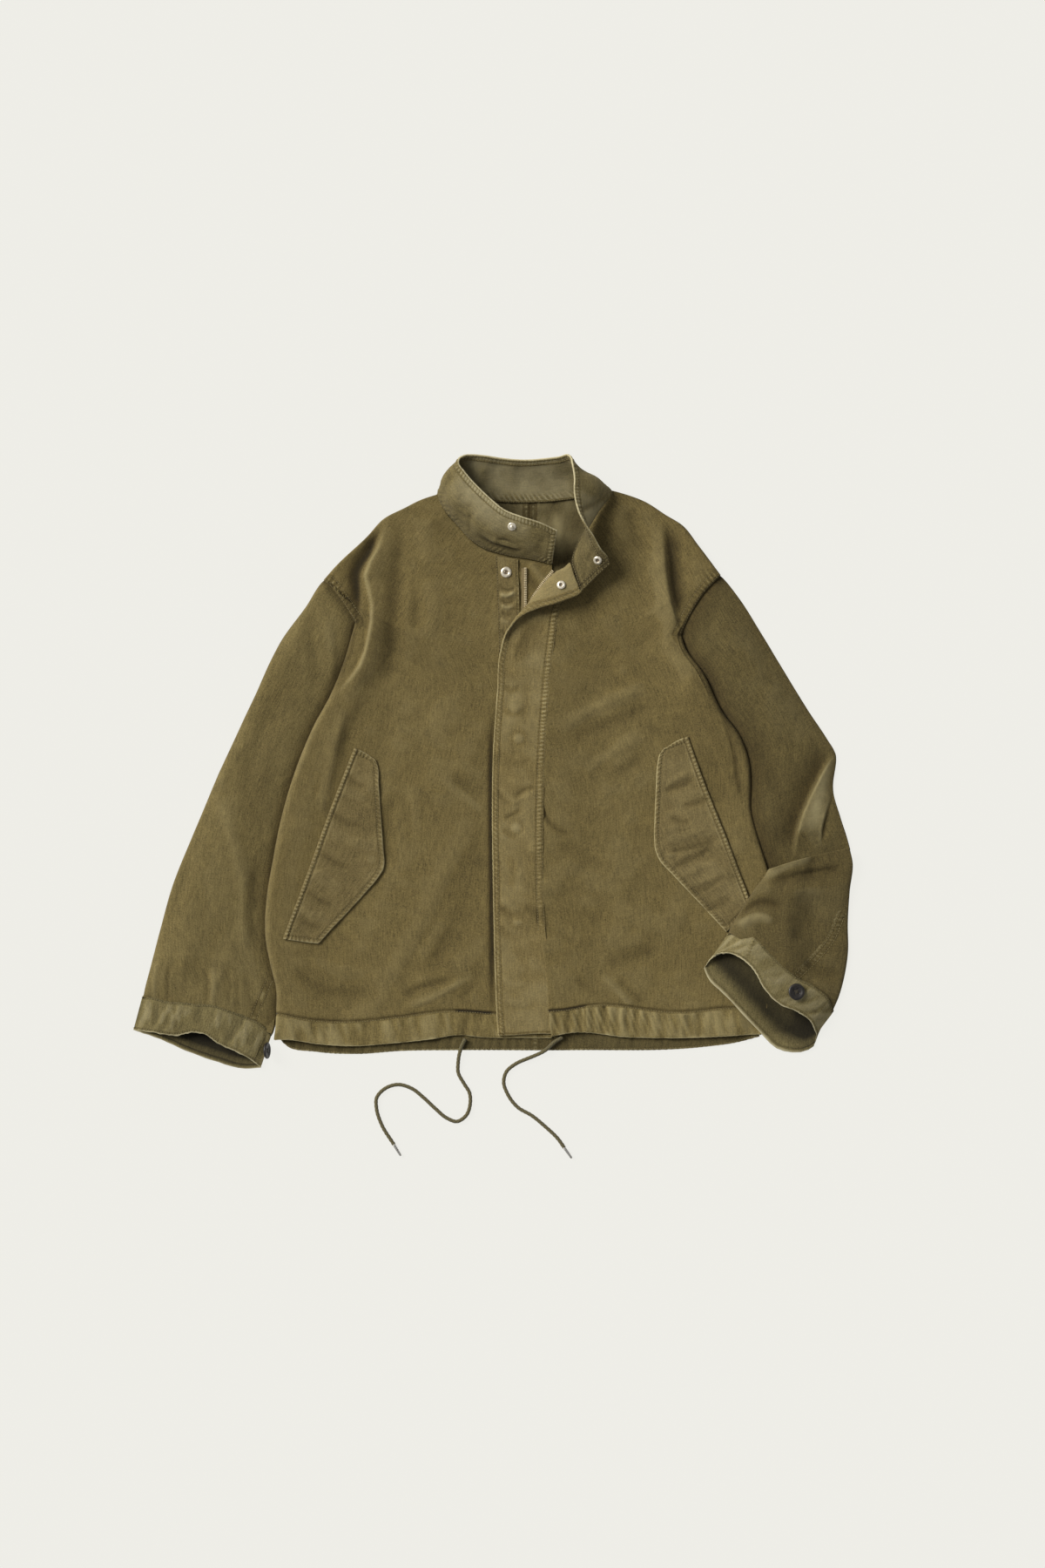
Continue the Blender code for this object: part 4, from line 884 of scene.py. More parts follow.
olive_hem_shaded = twill("olive_twill_hem", colour=OLIVE_HEM_SHADED)
down = spacing(34.0, 2.2, fine=1.1)
across = spacing(590.0, 2.6, fine=1.5)
bottom = smooth(HEM_BACK_EDGE, across)
even = np.linspace(HEM_BACK_EDGE[0][0], HEM_BACK_EDGE[-1][0], len(across))
top = np.stack([even * 0.15 + bottom[:, 0] * 0.85, np.full(len(across), BACK_HEM - SEAM)], axis=1)
plan = patch(resample(np.array([top[0], bottom[0]]), down), resample(np.array([top[-1], bottom[-1]]), down),
             top, bottom, down, across)
x, y = plan[..., 0], plan[..., 1]
share = ease((-322.0 - y) / 12.0)
height = DOUBLE_PLY - 0.2 + share * (0.7 * gathers(x, 13.0, 50) + 0.5 * drift(x, y, 30.0, 52))
height += 0.5 * share * bell(x - HEM_JOIN, 5.0)
grid = raised(plan, height)
grid, tone = sew_edge(grid, np.zeros(grid.shape[:2]), "last_row", (1.6,), 53, pucker=0.3, pitch=6.5, worn=1.0,
                      rub_wide=1.8)
_, side_tone = stitched(np.abs(x - HEM_JOIN), y, (4.5,), 54, pucker=0.1, worn=0.2)
hem_back = cloth_piece("hem_back_casing", grid, DOUBLE_PLY - SEAM, olive_hem_shaded, tone + share * side_tone)
belong(hem_back, "twill", "hem_back")
sew("hem_back_stitches", [inset(grid, "last_row", 1.8)], 5)

# ---------------------------------------------------------------- fronts
# The two front panels, one piece each from shoulder to hem casing.  Their sides roll under, and
# they lie in long soft folds that fall from the shoulders and pull towards the fly and the hem.

PLACKET_TOP, CHEST_TOP, FLY_TOP = 4.0, 6.4, 8.7
FRONT_FLOOR = BACK_TOP + SEAM
ROLL_FADE = 42.0
CUFF_REST = 296.0             # beyond this x the left cuff lies on the corner
ROLL_ANGLES = np.radians(np.linspace(-90.0, 66.0, 12))
NECK_RIGHT = [(-65.5, 323), (-56, 301), (-40.5, 283), (-25.5, 267), (-7, 254.5), (7, 251), (29, 247.5),
              (46.5, 244), (72, 238)]
NECK_LEFT = [(141, 328), (133, 312.5), (122.5, 292.5), (112, 275.5), (101.5, 246), (99, 221)]
CENTRE_RIGHT = [(72, 238), (72, -27), (72, -303)]
CENTRE_LEFT = [(99, 221), (86.5, 202), (75, 183), (69, 145.5), (62.5, 88.5), (58.5, 25.5), (55, -58.5),
               (55, -132), (57, -195), (65.5, -263), (67.5, -300)]
HEM_SEAM_RIGHT = [(-261, -304), (-212.5, -311.5), (-162, -312.5), (-112, -307), (-49, -300), (3.5, -303),
                  (72, -303)]
HEM_SEAM_LEFT = [(332.5, -300), (295.5, -296.5), (228.5, -301), (109.5, -294.5), (95, -297.5), (67.5, -300)]
# height, half width on the left and on the right of the line, line, rub and painted light (below 0, painted
# shade)
FOLDS_RIGHT = [
    (6.6, 18, 2.7, [(-125.5, 292.5), (-136, 261), (-149.5, 235.5), (-153, 223), (-146.5, 200), (-144.5, 179),
                    (-148.5, 149.5), (-159, 116), (-175, 94), (-195, 72)]),
    # a painted highlight along the shoulder fold's crest, with no height of its own
    (0.0, 2.4, 2.0, [(-125.5, 292.5), (-137, 260), (-150.5, 234.5), (-154, 222), (-147.5, 200), (-145.5, 179),
                     (-149.5, 149.5), (-160, 115), (-176, 94), (-195, 74)], 0.34),
    (-4.4, 2.7, 12, [(-135, 288), (-148.5, 252.5), (-162, 229.5), (-162, 204), (-161, 170.5)], -1.35),
    (-3.0, 3.4, 8, [(-162, 193.5), (-165.5, 158), (-175, 122.5), (-192.5, 82.5)], -0.8),
    # a painted shadow beside the fly's free edge, with no height of its own
    (0.0, 3.5, 3, [(-1, -329), (-1, -195), (-2, -63.5), (-1, 36), (4.5, 88.5)], -1.9),
    (-2.8, 10, 9, [(-111, 309), (-111, 275.5), (-115, 235.5), (-119, 183), (-123.5, 120), (-140, 78)], -0.2),
    (2.0, 9, 9, [(-81.5, 296.5), (-80.5, 267), (-77, 235.5)]),
    (-1.3, 6, 7, [(-72, 296.5), (-58.5, 282), (-33, 265)], -0.1),
    (-1.8, 6, 6, [(-92, 221), (-91, 189.5), (-94, 158)], -0.1),
    (1.5, 8, 7, [(-71, 225), (-70, 183), (-75, 141)]),
    (2.3, 5, 8, [(-175, 72), (-181, 51), (-189.5, 18.5), (-197, -20.5), (-208.5, -69)], 0.03),
    (-1.5, 8, 7, [(-153, 78), (-164.5, 55), (-176, 23.5), (-182, -6)], -0.1),
    (1.2, 5, 5, [(-203, 78), (-224, 23.5), (-245, -35)], 0.1),
    (-1.0, 10, 9, [(-119, 88.5), (-127.5, 36), (-142.5, -16.5)]),
    (0.9, 3.0, 4.5, [(-60.5, -14), (-46.5, -31), (-27, -45.5), (-10, -62.5)], 0.07),
    (-1.5, 9, 4, [(-50, -11), (-32, -29), (-6, -44.5)], -0.15),
    (1.0, 6, 8, [(-96, -21.5), (-93, -53), (-88.5, -95)]),
    (-1.6, 7, 9, [(-116, -32), (-125.5, -79.5), (-122.5, -132)], -0.08),
    (1.6, 8, 17, [(-17.5, -58.5), (-36, -98), (-55, -133), (-82.5, -188.5), (-117, -252.5), (-140, -300)]),
    (-2.1, 12, 7, [(-13, -74), (-21.5, -132), (-40.5, -190.5), (-69, -237), (-87.5, -270.5)], -0.16),
    (0.9, 9, 12, [(-6, -197), (-20.5, -232.5), (-48, -260)]),
    (-1.6, 7, 9, [(-241, -243), (-224, -264), (-198, -276.5), (-164.5, -280), (-134, -274.5)], -0.22),
    (1.1, 7, 7, [(-220, -234.5), (-182, -253.5), (-148.5, -255.5)]),
    (-1.9, 4, 5, [(-112, -285), (-93, -274.5), (-69, -267), (-43.5, -262)], -0.35),
    (1.7, 4.5, 3, [(-102.5, -295.5), (-75, -286), (-54, -275.5), (-37.5, -266), (-25.5, -260)], 0.14),
    (-1.1, 4, 4, [(-43.5, -287), (-27, -276.5), (-21.5, -262)], -0.2),
    (1.0, 3, 4, [(-29, -247.5), (-23.5, -268.5), (-19.5, -297.5)]),
    (0.5, 2.4, 2.4, [(-18.5, 107.5), (-9, 111), (0.5, 108.5)]),
    (0.5, 2.4, 2.4, [(-20.5, 90), (-10, 92), (0.5, 90)]),
    (0.5, 2.4, 2.4, [(-19.5, 65.5), (-10, 69), (0.5, 66.5)]),
    (0.9, 7, 7, [(-27, -6), (-19.5, -16.5), (-10, -18.5)]),
    (0.8, 24, 24, [(-102.5, 212.5), (-63.5, 193.5), (-18.5, 208.5)]),
    (-1.9, 3, 4, [(36, 240), (44.5, 225), (57, 205.5)], -0.45),
    (1.3, 4, 4, [(43.5, 242), (55, 227.5), (67.5, 210.5)], 0.1),
]
FOLDS_LEFT = [
    (5.6, 3.4, 19, [(201, 296.5), (205.5, 256.5), (208.5, 221), (216, 183), (229.5, 147.5), (252.5, 108.5),
                    (277.5, 74), (294.5, 44.5)], 0.12),
    (-4.0, 13, 3.4, [(210.5, 292.5), (216, 246), (223, 193.5), (233.5, 166.5)], -0.9),
    (-1.4, 6, 3, [(230.5, 160), (245, 133), (262, 107.5), (284, 76)], -0.5),
    (-1.5, 7, 8, [(166.5, 309), (171.5, 280), (189.5, 250.5)], -0.12),
    (1.2, 9, 9, [(156, 313.5), (158, 292.5), (166.5, 261)]),
    (1.9, 10, 7, [(78, 30), (103.5, 53), (139, 71), (172.5, 86.5), (191.5, 103.5)], 0.04),
    (-1.7, 7, 9, [(88.5, 11), (112, 33), (147.5, 48), (181, 62.5), (200, 78)], -0.14),
    (1.5, 9, 6, [(107.5, -16.5), (133, 3.5), (162, 21.5), (187.5, 34)], 0.04),
    (-1.2, 7, 8, [(133, -27), (160, -10), (187.5, 7)], -0.12),
    (-1.2, 8, 8, [(204, 175), (191.5, 154), (170.5, 130.5)], -0.12),
    (0.9, 12, 14, [(141, 193.5), (154, 141), (158, 88.5)]),
    (-0.9, 12, 14, [(112, 235.5), (116, 183), (107.5, 120)]),
    (1.2, 5, 9, [(235.5, 61.5), (254.5, 42.5), (271.5, 17.5), (284, -16.5), (294.5, -58.5)], -0.02),
    (-2.2, 8, 2, [(266, 76), (281, 44.5), (290.5, 13), (295.5, -20.5), (305, -62.5)], -0.6),
    (-2.0, 3, 3.5, [(59.5, -48), (65.5, -66.5), (76, -79.5), (99, -90)], -0.5),
    (-1.3, 9, 8, [(72, -98), (99, -108.5), (124.5, -121.5), (149.5, -132)], -0.14),
    (-0.8, 9, 9, [(86.5, -169.5), (107.5, -186.5), (137, -192.5)], -0.06),
    (1.0, 13, 12, [(130.5, -174), (183, -186.5), (235.5, -222)]),
    (-1.4, 9, 9, [(130.5, -247.5), (162, -239), (206.5, -220)], -0.16),
    (1.5, 4, 3, [(130.5, -255.5), (147.5, -272.5), (164.5, -291.5), (175, -300)], 0.14),
    (-1.3, 4, 3, [(149.5, -258), (168.5, -279), (187.5, -297.5)], -0.25),
    (-1.0, 4, 4, [(99, -258), (112, -270.5), (133, -285)], -0.15),
    (-0.8, 6, 6, [(59.5, -174), (67.5, -197), (64.5, -221)]),
    (-0.9, 14, 14, [(217, -18.5), (181, -58.5), (170.5, -105.5)]),
    # a broad painted shade along the left side, with no height of its own
    (0.0, 24, 24, [(246, 120), (261, 46.5), (271.5, -16.5), (284, -90)], -0.35),
]


def side_line(side):
    line = joined([side[name] for name in ("shoulder", "armhole", "side", "hem")], 400)
    return line[np.argsort(line[:, 1], kind="stable")]


BODY = {"right": SIDE_RIGHT, "left": SIDE_LEFT}
SIDES = {"right": (side_line(SIDE_RIGHT), 1.0, FOLDS_RIGHT), "left": (side_line(SIDE_LEFT), -1.0, FOLDS_LEFT)}


def side_at(label, y):
    """Where a rolled side is at a height up the jacket, and the radius of its roll."""
    line = SIDES[label][0]
    return np.interp(y, line[:, 1], line[:, 0]), np.interp(y, line[:, 1], line[:, 2])


def front_height(label, x, y):
    """Height of a front's outer face at a place in plan, with its folds."""
    _, inward, table = SIDES[label]
    edge, roll = side_at(label, y)
    if label == "right":
        base = PLACKET_TOP + (CHEST_TOP - PLACKET_TOP) * ease((-5.0 - x) / 70.0)
    else:
        base = CHEST_TOP + (FLY_TOP - CHEST_TOP) * ease((130.0 - x) / 55.0)
    inside = np.maximum((x - edge) * inward - roll, 0.0)
    fade = bell(inside, ROLL_FADE)
    height = base + (FRONT_FLOOR + 2 * roll - base) * fade
    seed = 100 if label == "right" else 130
    up, out = 0.5 * x + 0.87 * y, 0.87 * x - 0.5 * y
    loose = 0.9 * drift(x, y, 58.0, seed) + 0.75 * drift(0.4 * up, out, 24.0, seed + 1)
    loose += 0.34 * drift(0.5 * x, y + 0.2 * x, 11.0, seed + 2) + 0.12 * drift(x, 0.6 * y, 6.0, seed + 3)
    free = 1 - bell(inside, 9.0)
    height = height - 2.6 * ease((x - CUFF_REST) / 18.0) * ease((-262.0 - y) / 25.0)
    height = height + (folds(x, y, table)[0] + loose) * (0.25 + 0.75 * free)
    return np.maximum(height, FRONT_FLOOR + PLY)


def evened(height, times):
    """Heights evened out with their neighbours, over and over."""
    for _ in range(times):
        padded = np.pad(height, 1, mode="edge")
        height = (padded[:-2, 1:-1] + padded[2:, 1:-1] + padded[1:-1, :-2] + padded[1:-1, 2:]) / 4
    return height


def rolled_panel(label, side_names, centre, top, bottom, rows, columns, rise, floor):
    """A body panel: its rolled side, then the field to its centre edge."""
    inward = SIDES[label][1]
    edge = joined([BODY[label][name] for name in side_names], rows)
    inner = edge[:, :2] + np.stack([inward * edge[:, 2], np.zeros(len(edge))], axis=1)
    top_line = smooth([inner[0]] + list(top[1:]), columns)
    bottom_line = smooth([inner[-1]] + list(bottom[1:]), columns)
    centre_line = smooth(centre, rows)
    centre_line[0], centre_line[-1] = top_line[-1], bottom_line[-1]
    plan = patch(inner, centre_line, top_line, bottom_line, rows, columns)
    field = raised(plan, front_height(label, plan[..., 0], plan[..., 1]) + rise)
    turn = edge[:, 2]
    roll = [np.stack([edge[:, 0] + inward * turn * (1 - math.cos(angle)), edge[:, 1],
                      floor + turn + turn * math.sin(angle)], axis=1) for angle in ROLL_ANGLES]
    roll = np.stack(roll, axis=1)
    bend = 0.5 * waver(edge[:, 1], 17.0, 160) + 0.3 * waver(edge[:, 1], 7.0, 161)
    roll[..., 2] += bend[:, None] * np.sin(np.linspace(0.0, 1.0, len(ROLL_ANGLES)) * math.pi / 2)[None] * 0.5
    field[:, 0, 2] = np.minimum(field[:, 0, 2], floor + 2 * turn + 0.8)
    return np.concatenate([roll, field], axis=1)


ARMHOLE_ROWS = (1.8, 9.5)
# painted light on the right front's rolled side and painted shade on the left front's
SIDE_PAINTED_LIGHT = {"right": 0.08, "left": -0.3}
# painted shadow runs along these gaps
HEM_GAPS = [(-48.0, 3.0), (46.5, 115.0)]      # where the casing stands off the front


def closer(places, start, end):
    """Twice as many places between two shares, where a roped seam needs them."""
    middles = (places[1:] + places[:-1]) / 2
    return np.sort(np.concatenate([places, middles[(middles > start - 0.005) & (middles < end + 0.01)]]))


def edge_of_hem(label, x):
    """How far up the jacket the seam of the casing is."""
    line = smooth(HEM_SEAM_RIGHT if label == "right" else HEM_SEAM_LEFT[::-1], 60)
    return np.interp(x, line[:, 0], line[:, 1])


FRONT_COLOURS = {"right": (114, 100, 63), "left": (113, 99, 62)}
for label, centre, neck, hem in (("right", CENTRE_RIGHT, NECK_RIGHT, HEM_SEAM_RIGHT),
                                 ("left", CENTRE_LEFT, NECK_LEFT, HEM_SEAM_LEFT)):
    inward, table = SIDES[label][1:]
    lengths = [arc(smooth(BODY[label][name], 120)[:, :2])[-1] for name in ("shoulder", "armhole", "side")]
    rows = closer(spacing(640.0, 2.6, fine=2.0), lengths[0] / sum(lengths), sum(lengths[:2]) / sum(lengths))
    columns = spacing(330.0, 2.5, fine=1.5, reach=10.0)
    grid = rolled_panel(label, ("shoulder", "armhole", "side"), centre, neck, hem, rows, columns, 0.0,
                        FRONT_FLOOR)
    x, y = grid[..., 0], grid[..., 1]
    inside = (x - side_at(label, y)[0]) * inward
    # painted shade in the hollows: darker the lower the cloth lies below its evened-out neighbours, barely
    # paler on crests
    proud = grid[..., 2] - evened(grid[..., 2], 60)
    tone = np.clip(0.17 * proud, -0.5, 0.05) * ease(inside / 30.0)
    tone = tone + folds(x, y, table)[1] + SIDE_PAINTED_LIGHT[label] * bell(inside, 6.0)
    for start, end in HEM_GAPS:
        tone = tone - 1.1 * bell(y - edge_of_hem(label, x), 1.6) * between(x, start, end, 8.0)
    armhole = np.array(BODY[label]["armhole"])[:, :2]
    band = smooth(armhole, 24)
    away, along = nearest(x, y, band)
    away = inward * away
    within = (away > -0.5) * ease(along / 3.0) * ease((arc(band)[-1] - along + 3.0) / 3.0)
    relief, band_tone = stitched(np.maximum(away, 0.0), along, ARMHOLE_ROWS, 170, pitch=5.4, pucker=0.85,
                                 worn=0.15, lean=0.1)
    grid[..., 2] += relief * within
    tone = tone + (band_tone - 0.2 * ease((ARMHOLE_ROWS[1] - away) / 2.0)) * within
    # painted shade along the casing seam at the hem
    grid, tone = sew_edge(grid, tone, "last_row", (0.8,), 172, pucker=0.0, sink=0.5, worn=-0.25)
    olive = twill(f"olive_twill_front_{label}", colour=FRONT_COLOURS[label])
    front = belong(cloth_piece(f"front_{label}_twill", grid, PLY, olive, tone), "twill", f"front_{label}")
    band = smooth(armhole, 40)[1:-1]
    sew(f"armhole_{label}_stitches", [lay_on(grid, band, inward * offset) for offset in ARMHOLE_ROWS], 6)

# ---------------------------------------------------------------- front hem
# The casing that the drawcord runs in: the front's own twill turned up inside, stitched along
# its top, and gathered where the cord comes out.

HEM_FLOOR = DOUBLE_PLY + SEAM
HEM_RISE = 0.5
UNDER_CUFF = 3.2              # how far the left cuff presses the corner down
HEM_EDGE_RIGHT = [(-264, -335.5), (-246, -335.5), (-212.5, -340.5), (-162, -343), (-128.5, -340.5),
                  (-78, -335.5), (-38.5, -330), (-15, -332.5), (36, -333.5), (72, -333.5)]
HEM_EDGE_LEFT = [(325, -329), (228.5, -333.5), (161, -332.5), (95, -327), (71, -331.5)]
CASING_SEAMS = (-41.5, 111.5)
GATHERS = {"right": [(-30.0, 26.0)], "left": [(95.0, 34.0), (170.0, 60.0)]}

for label, seam, hem_edge in (("right", HEM_SEAM_RIGHT, HEM_EDGE_RIGHT),
                              ("left", HEM_SEAM_LEFT, HEM_EDGE_LEFT)):
    rows = spacing(32.0, 1.7, fine=1.0)
    columns = spacing(330.0, 2.1, fine=1.4, start=False)
    top = [(x, y - SEAM) for x, y in seam]
    grid = rolled_panel(label, ("hem",), [top[-1], hem_edge[-1]], top, hem_edge, rows, columns, HEM_RISE,
                        HEM_FLOOR)
    x, y = grid[..., 0], grid[..., 1]
    grid[..., 2] -= UNDER_CUFF * ease((x - CUFF_REST) / 18.0)
    from_seam, along = edge_of(grid, "first_row")
    deep = from_seam / from_seam[-1].max()
    strength = 0.35 + sum(0.8 * bell(x - place, wide) for place, wide in GATHERS[label])
    pull = strength * gathers(x, 15.0, 200) + 0.5 * strength * gathers(x + 0.4 * y, 7.5, 203)
    window = ease(from_seam / 4.0) * (1 - 0.45 * deep)
    pull = 0.7 * pull + 0.5 * drift(x, 0.4 * y, 13.0, 209) + 0.5 * drift(x + 0.3 * y, 0.3 * y, 5.5, 210)
    grid[..., 2] += 2.2 * pull * window + 0.6 * np.sin(math.pi * np.clip(deep, 0.0, 1.0))
    # paler on the gathers' crests and darker in their troughs: painted light and shade
    tone = 0.5 * np.clip(pull, -2.0, 0.4) * window + 0.12
    # painted shadow where the casing stands off the front, darker still across the first gap beside the fly
    for start, end in HEM_GAPS:
        tone = tone - (1.1 * bell(from_seam, 1.5) + 0.3 * (start < 0)) * between(x, start, end, 8.0)
    # painted shade in the grooves of the casing's joins
    for place in CASING_SEAMS:
        groove = bell(x - place, 0.9)
        grid[..., 2] -= 0.5 * groove
        tone = tone - 0.5 * groove
    # painted shade along the top seam; the folded bottom edge is rubbed pale
    grid, tone = sew_edge(grid, tone, "first_row", (1.0,), 205, pucker=0.35, pitch=5.2, sink=0.7, worn=-0.5)
    grid, tone = sew_edge(grid, tone, "last_row", (1.6,), 207, pucker=0.25, sink=0.1, pitch=7.0, worn=1.6,
                          rub_wide=2.2)
    olive = twill(f"olive_twill_hem_{label}", colour=(121, 107, 68))
    hem = belong(cloth_piece(f"hem_front_{label}_casing", grid, DOUBLE_PLY, olive, tone), "twill",
                 f"hem_front_{label}")
    sew(f"hem_{label}_stitches", [inset(grid, "first_row", 1.1)], 7)

# ---------------------------------------------------------------- sleeves
# Two-piece sleeves of the same twill, set in below the dropped shoulders.  The right one lies
# out straight.  The left one folds at the elbow, and its forearm comes back over the body.

SLEEVE_PLY = 1.3
SIDE_TUCK = 3.0
TIP = 2.6
RING_WIDE = 150.0
RING_TOP = spacing(RING_WIDE, 2.1, fine=0.9, reach=3.0)
RING_BOTTOM = spacing(RING_WIDE, 7.0, fine=1.6, reach=3.0)
RING = np.concatenate([RING_TOP, RING_BOTTOM[1:-1][::-1]])
# outer x, y: the free edge; inner y: where it meets the body's side; height of the tube
SLEEVE_RIGHT = [
    (-205.5, 217, 166, 9.9), (-225, 187.5, 144, 12.0), (-253.5, 148.5, 116, 14.0), (-267, 123.5, 92, 14.0),
    (-286, 81.5, 56, 14.0), (-308, 34, 17, 14.0), (-329, -11, -12, 14.0), (-346, -51, -50, 14.0),
    (-363, -91, -88, 14.0), (-387, -151.5, -144, 14.0), (-400.5, -200, -191, 14.0),
    (-413, -248.5, -232, 13.0), (-419.5, -273.5, -279, 12.0), (-421.5, -283, -325, 11.0),
]
SLEEVE_LEFT_UPPER = [
    (276.5, 223, 151, 9.9), (296.5, 199, 129, 12.0), (325, 154, 97, 14.0), (352.5, 108.5, 66, 14.0),
    (380.5, 62.5, 34, 14.0), (403.5, 28, 3, 14.0), (414, 9, -27, 14.0), (411, -32, -58, 13.0),
    (420.5, -69, -90, 12.0), (428, -92, -116, 9.5), (432, -106.5, -138, 7.5),
]
# left x, y; right x, y; height; floor under each end; share of the width that the left floor
# carries; how far the top and the bottom bulge towards the wrist
FOREARM_LEFT = [
    (333.5, -132, 430.5, -103.5, 9.0, 11.5, 8.2, 0.30, -4.0, 0.0),
    (317.5, -151.5, 434.5, -123.5, 11.0, 13.0, 7.0, 0.32, 0.0, 0.0),
    (302, -174, 431, -157, 14.0, 13.4, 2.0, 0.38, 0.0, 0.0),
    (290.5, -193.5, 429, -197, 15.0, 13.3, 0.0, 0.42, 0.0, 0.0),
    (286, -201, 429, -231.5, 15.0, 13.3, 0.0, 0.45, 0.0, 0.0),
    (285, -204, 420.5, -275.5, 15.0, 13.3, 0.0, 0.48, 0.0, 0.0),
    (284, -206.5, 411, -302, 15.0, 13.3, 0.0, 0.50, 0.0, 0.0),
]
# Cuff lines, left end to right end: seam and mouth, over the top and back underneath: x, y, z
CUFF_RIGHT = {
    "seam_top": [(-422.5, -283, 3), (-407, -285, 8), (-393, -289, 10.5), (-372, -290, 12),
                 (-353.5, -292.5, 12.5), (-335.5, -293.5, 12.5), (-319.5, -299, 12), (-300, -306, 10.5),
                 (-280, -315.5, 8), (-266, -328, 3)],
    "seam_low": [(-422.5, -283, 3), (-384, -292.5, 0.5), (-331.5, -306, 0.5), (-289.5, -318.5, 0.6),
                 (-266, -328, 3)],
    "lip_top": [(-433.5, -323.5, 3), (-409, -326.5, 9), (-382.5, -330, 12.5), (-360.5, -326, 15),
                (-348, -328, 15.5), (-330, -339.5, 15), (-306, -351, 13), (-290.5, -360, 9), (-280, -369, 4)],
    "lip_low": [(-433.5, -323.5, 3), (-399.5, -335.5, 0.6), (-367, -350, 0.4), (-333.5, -361.5, 0.4),
                (-300, -370.5, 0.8), (-280, -369, 4)],
}
CUFF_LEFT = {
    "seam_top": [(284, -206.5, 16), (302, -203, 23), (315.5, -209.5, 27), (329, -225, 29), (349, -245, 28),
                 (366, -259, 24), (389, -271.5, 19), (405, -285, 13), (411.5, -302, 4)],
    "seam_low": [(284, -206.5, 16), (304, -224, 13.4), (330, -247.5, 10), (356.5, -270.5, 2.5),
                 (385, -291.5, 0.5), (411.5, -302, 3)],
    "lip_top": [(254.5, -248.5, 15), (265, -233.5, 23), (277.5, -229.5, 28), (294.5, -233.5, 33),
                (312.5, -248.5, 35.5), (326, -271.5, 34), (346, -292, 30), (366, -300.5, 25),
                (382.5, -312.5, 17), (391, -329, 6)],
    "lip_low": [(254.5, -248.5, 15), (260, -261, 13.3), (279, -280, 13), (306, -309, 11), (326, -330, 6),
                (343, -346, 1.6), (359.5, -350.5, 0.8), (376, -349.5, 0.8), (388, -343, 1.5), (391, -329, 5)],
}
# height, half width on the left and on the right of the line, line, rub and painted light (below 0, painted
# shade)
FOLDS_SLEEVE_RIGHT = [
    # a painted shade along the sleeve near the body, with no height of its own
    (0.0, 14, 14, [(-224, 162), (-245, 88.5), (-273.5, -6), (-287, -69), (-289.5, -132)], -0.25),
    (-2.2, 8, 8, [(-218, 187.5), (-216, 154), (-213.5, 120), (-209.5, 78)], -0.2),
    (1.7, 5, 6, [(-199, 183), (-195, 154), (-192.5, 120), (-199, 88.5)], 0.06),
    (1.5, 9, 10, [(-224, 170.5), (-237, 143.5), (-258, 107.5)]),
    (-2.1, 10, 10, [(-243, 109.5), (-260, 72), (-277.5, 32), (-295.5, -18.5), (-287, -58.5), (-279, -75)],
     -0.16),
    (1.2, 11, 10, [(-279, 88.5), (-295.5, 40.5), (-312.5, -6)]),
    (1.1, 6, 6, [(-318.5, -3.5), (-324, -22.5), (-324, -39.5)], 0.06),
    (2.1, 10, 6, [(-333.5, -18.5), (-324, -57), (-309, -108.5), (-298.5, -157), (-300, -205.5),
                  (-287, -249.5)], 0.06),
    (-1.7, 9, 8, [(-279, -95), (-283, -142.5), (-287, -190.5), (-276.5, -237)], -0.14),
    (-2.4, 9, 12, [(-335.5, -32), (-346, -69), (-369, -128.5), (-386, -184.5), (-398.5, -232.5)], -0.12),
    (1.3, 7, 7, [(-366, -211.5), (-371, -241), (-375.5, -279)]),
    (1.8, 3, 3, [(-402.5, -237), (-407, -262), (-405, -289.5)], 0.12),
    (-1.5, 2.5, 2.5, [(-388, -241), (-391, -264), (-390, -291.5)], -0.3),
    (-1.5, 2.5, 3, [(-346, -245), (-343, -268.5), (-344, -295.5)], -0.3),
    (1.6, 3, 3, [(-337.5, -241), (-335.5, -266), (-338.5, -297.5)], 0.12),
    (-1.4, 2.5, 2.5, [(-309, -255.5), (-306, -279), (-308, -306)], -0.3),
    (-1.2, 5, 5, [(-356.5, -232.5), (-353.5, -251.5), (-349, -274.5)], -0.1),
    (1.2, 4, 4, [(-327, -247.5), (-331.5, -264), (-335.5, -285)], 0.06),
    (-1.2, 5, 5, [(-318.5, -243), (-316.5, -262), (-318.5, -287)], -0.12),
    (-1.7, 5, 6, [(-300, -251.5), (-291.5, -274.5), (-276.5, -308)], -0.2),
    (-1.0, 8, 8, [(-403.5, -218), (-407, -249.5), (-398.5, -281)]),
]
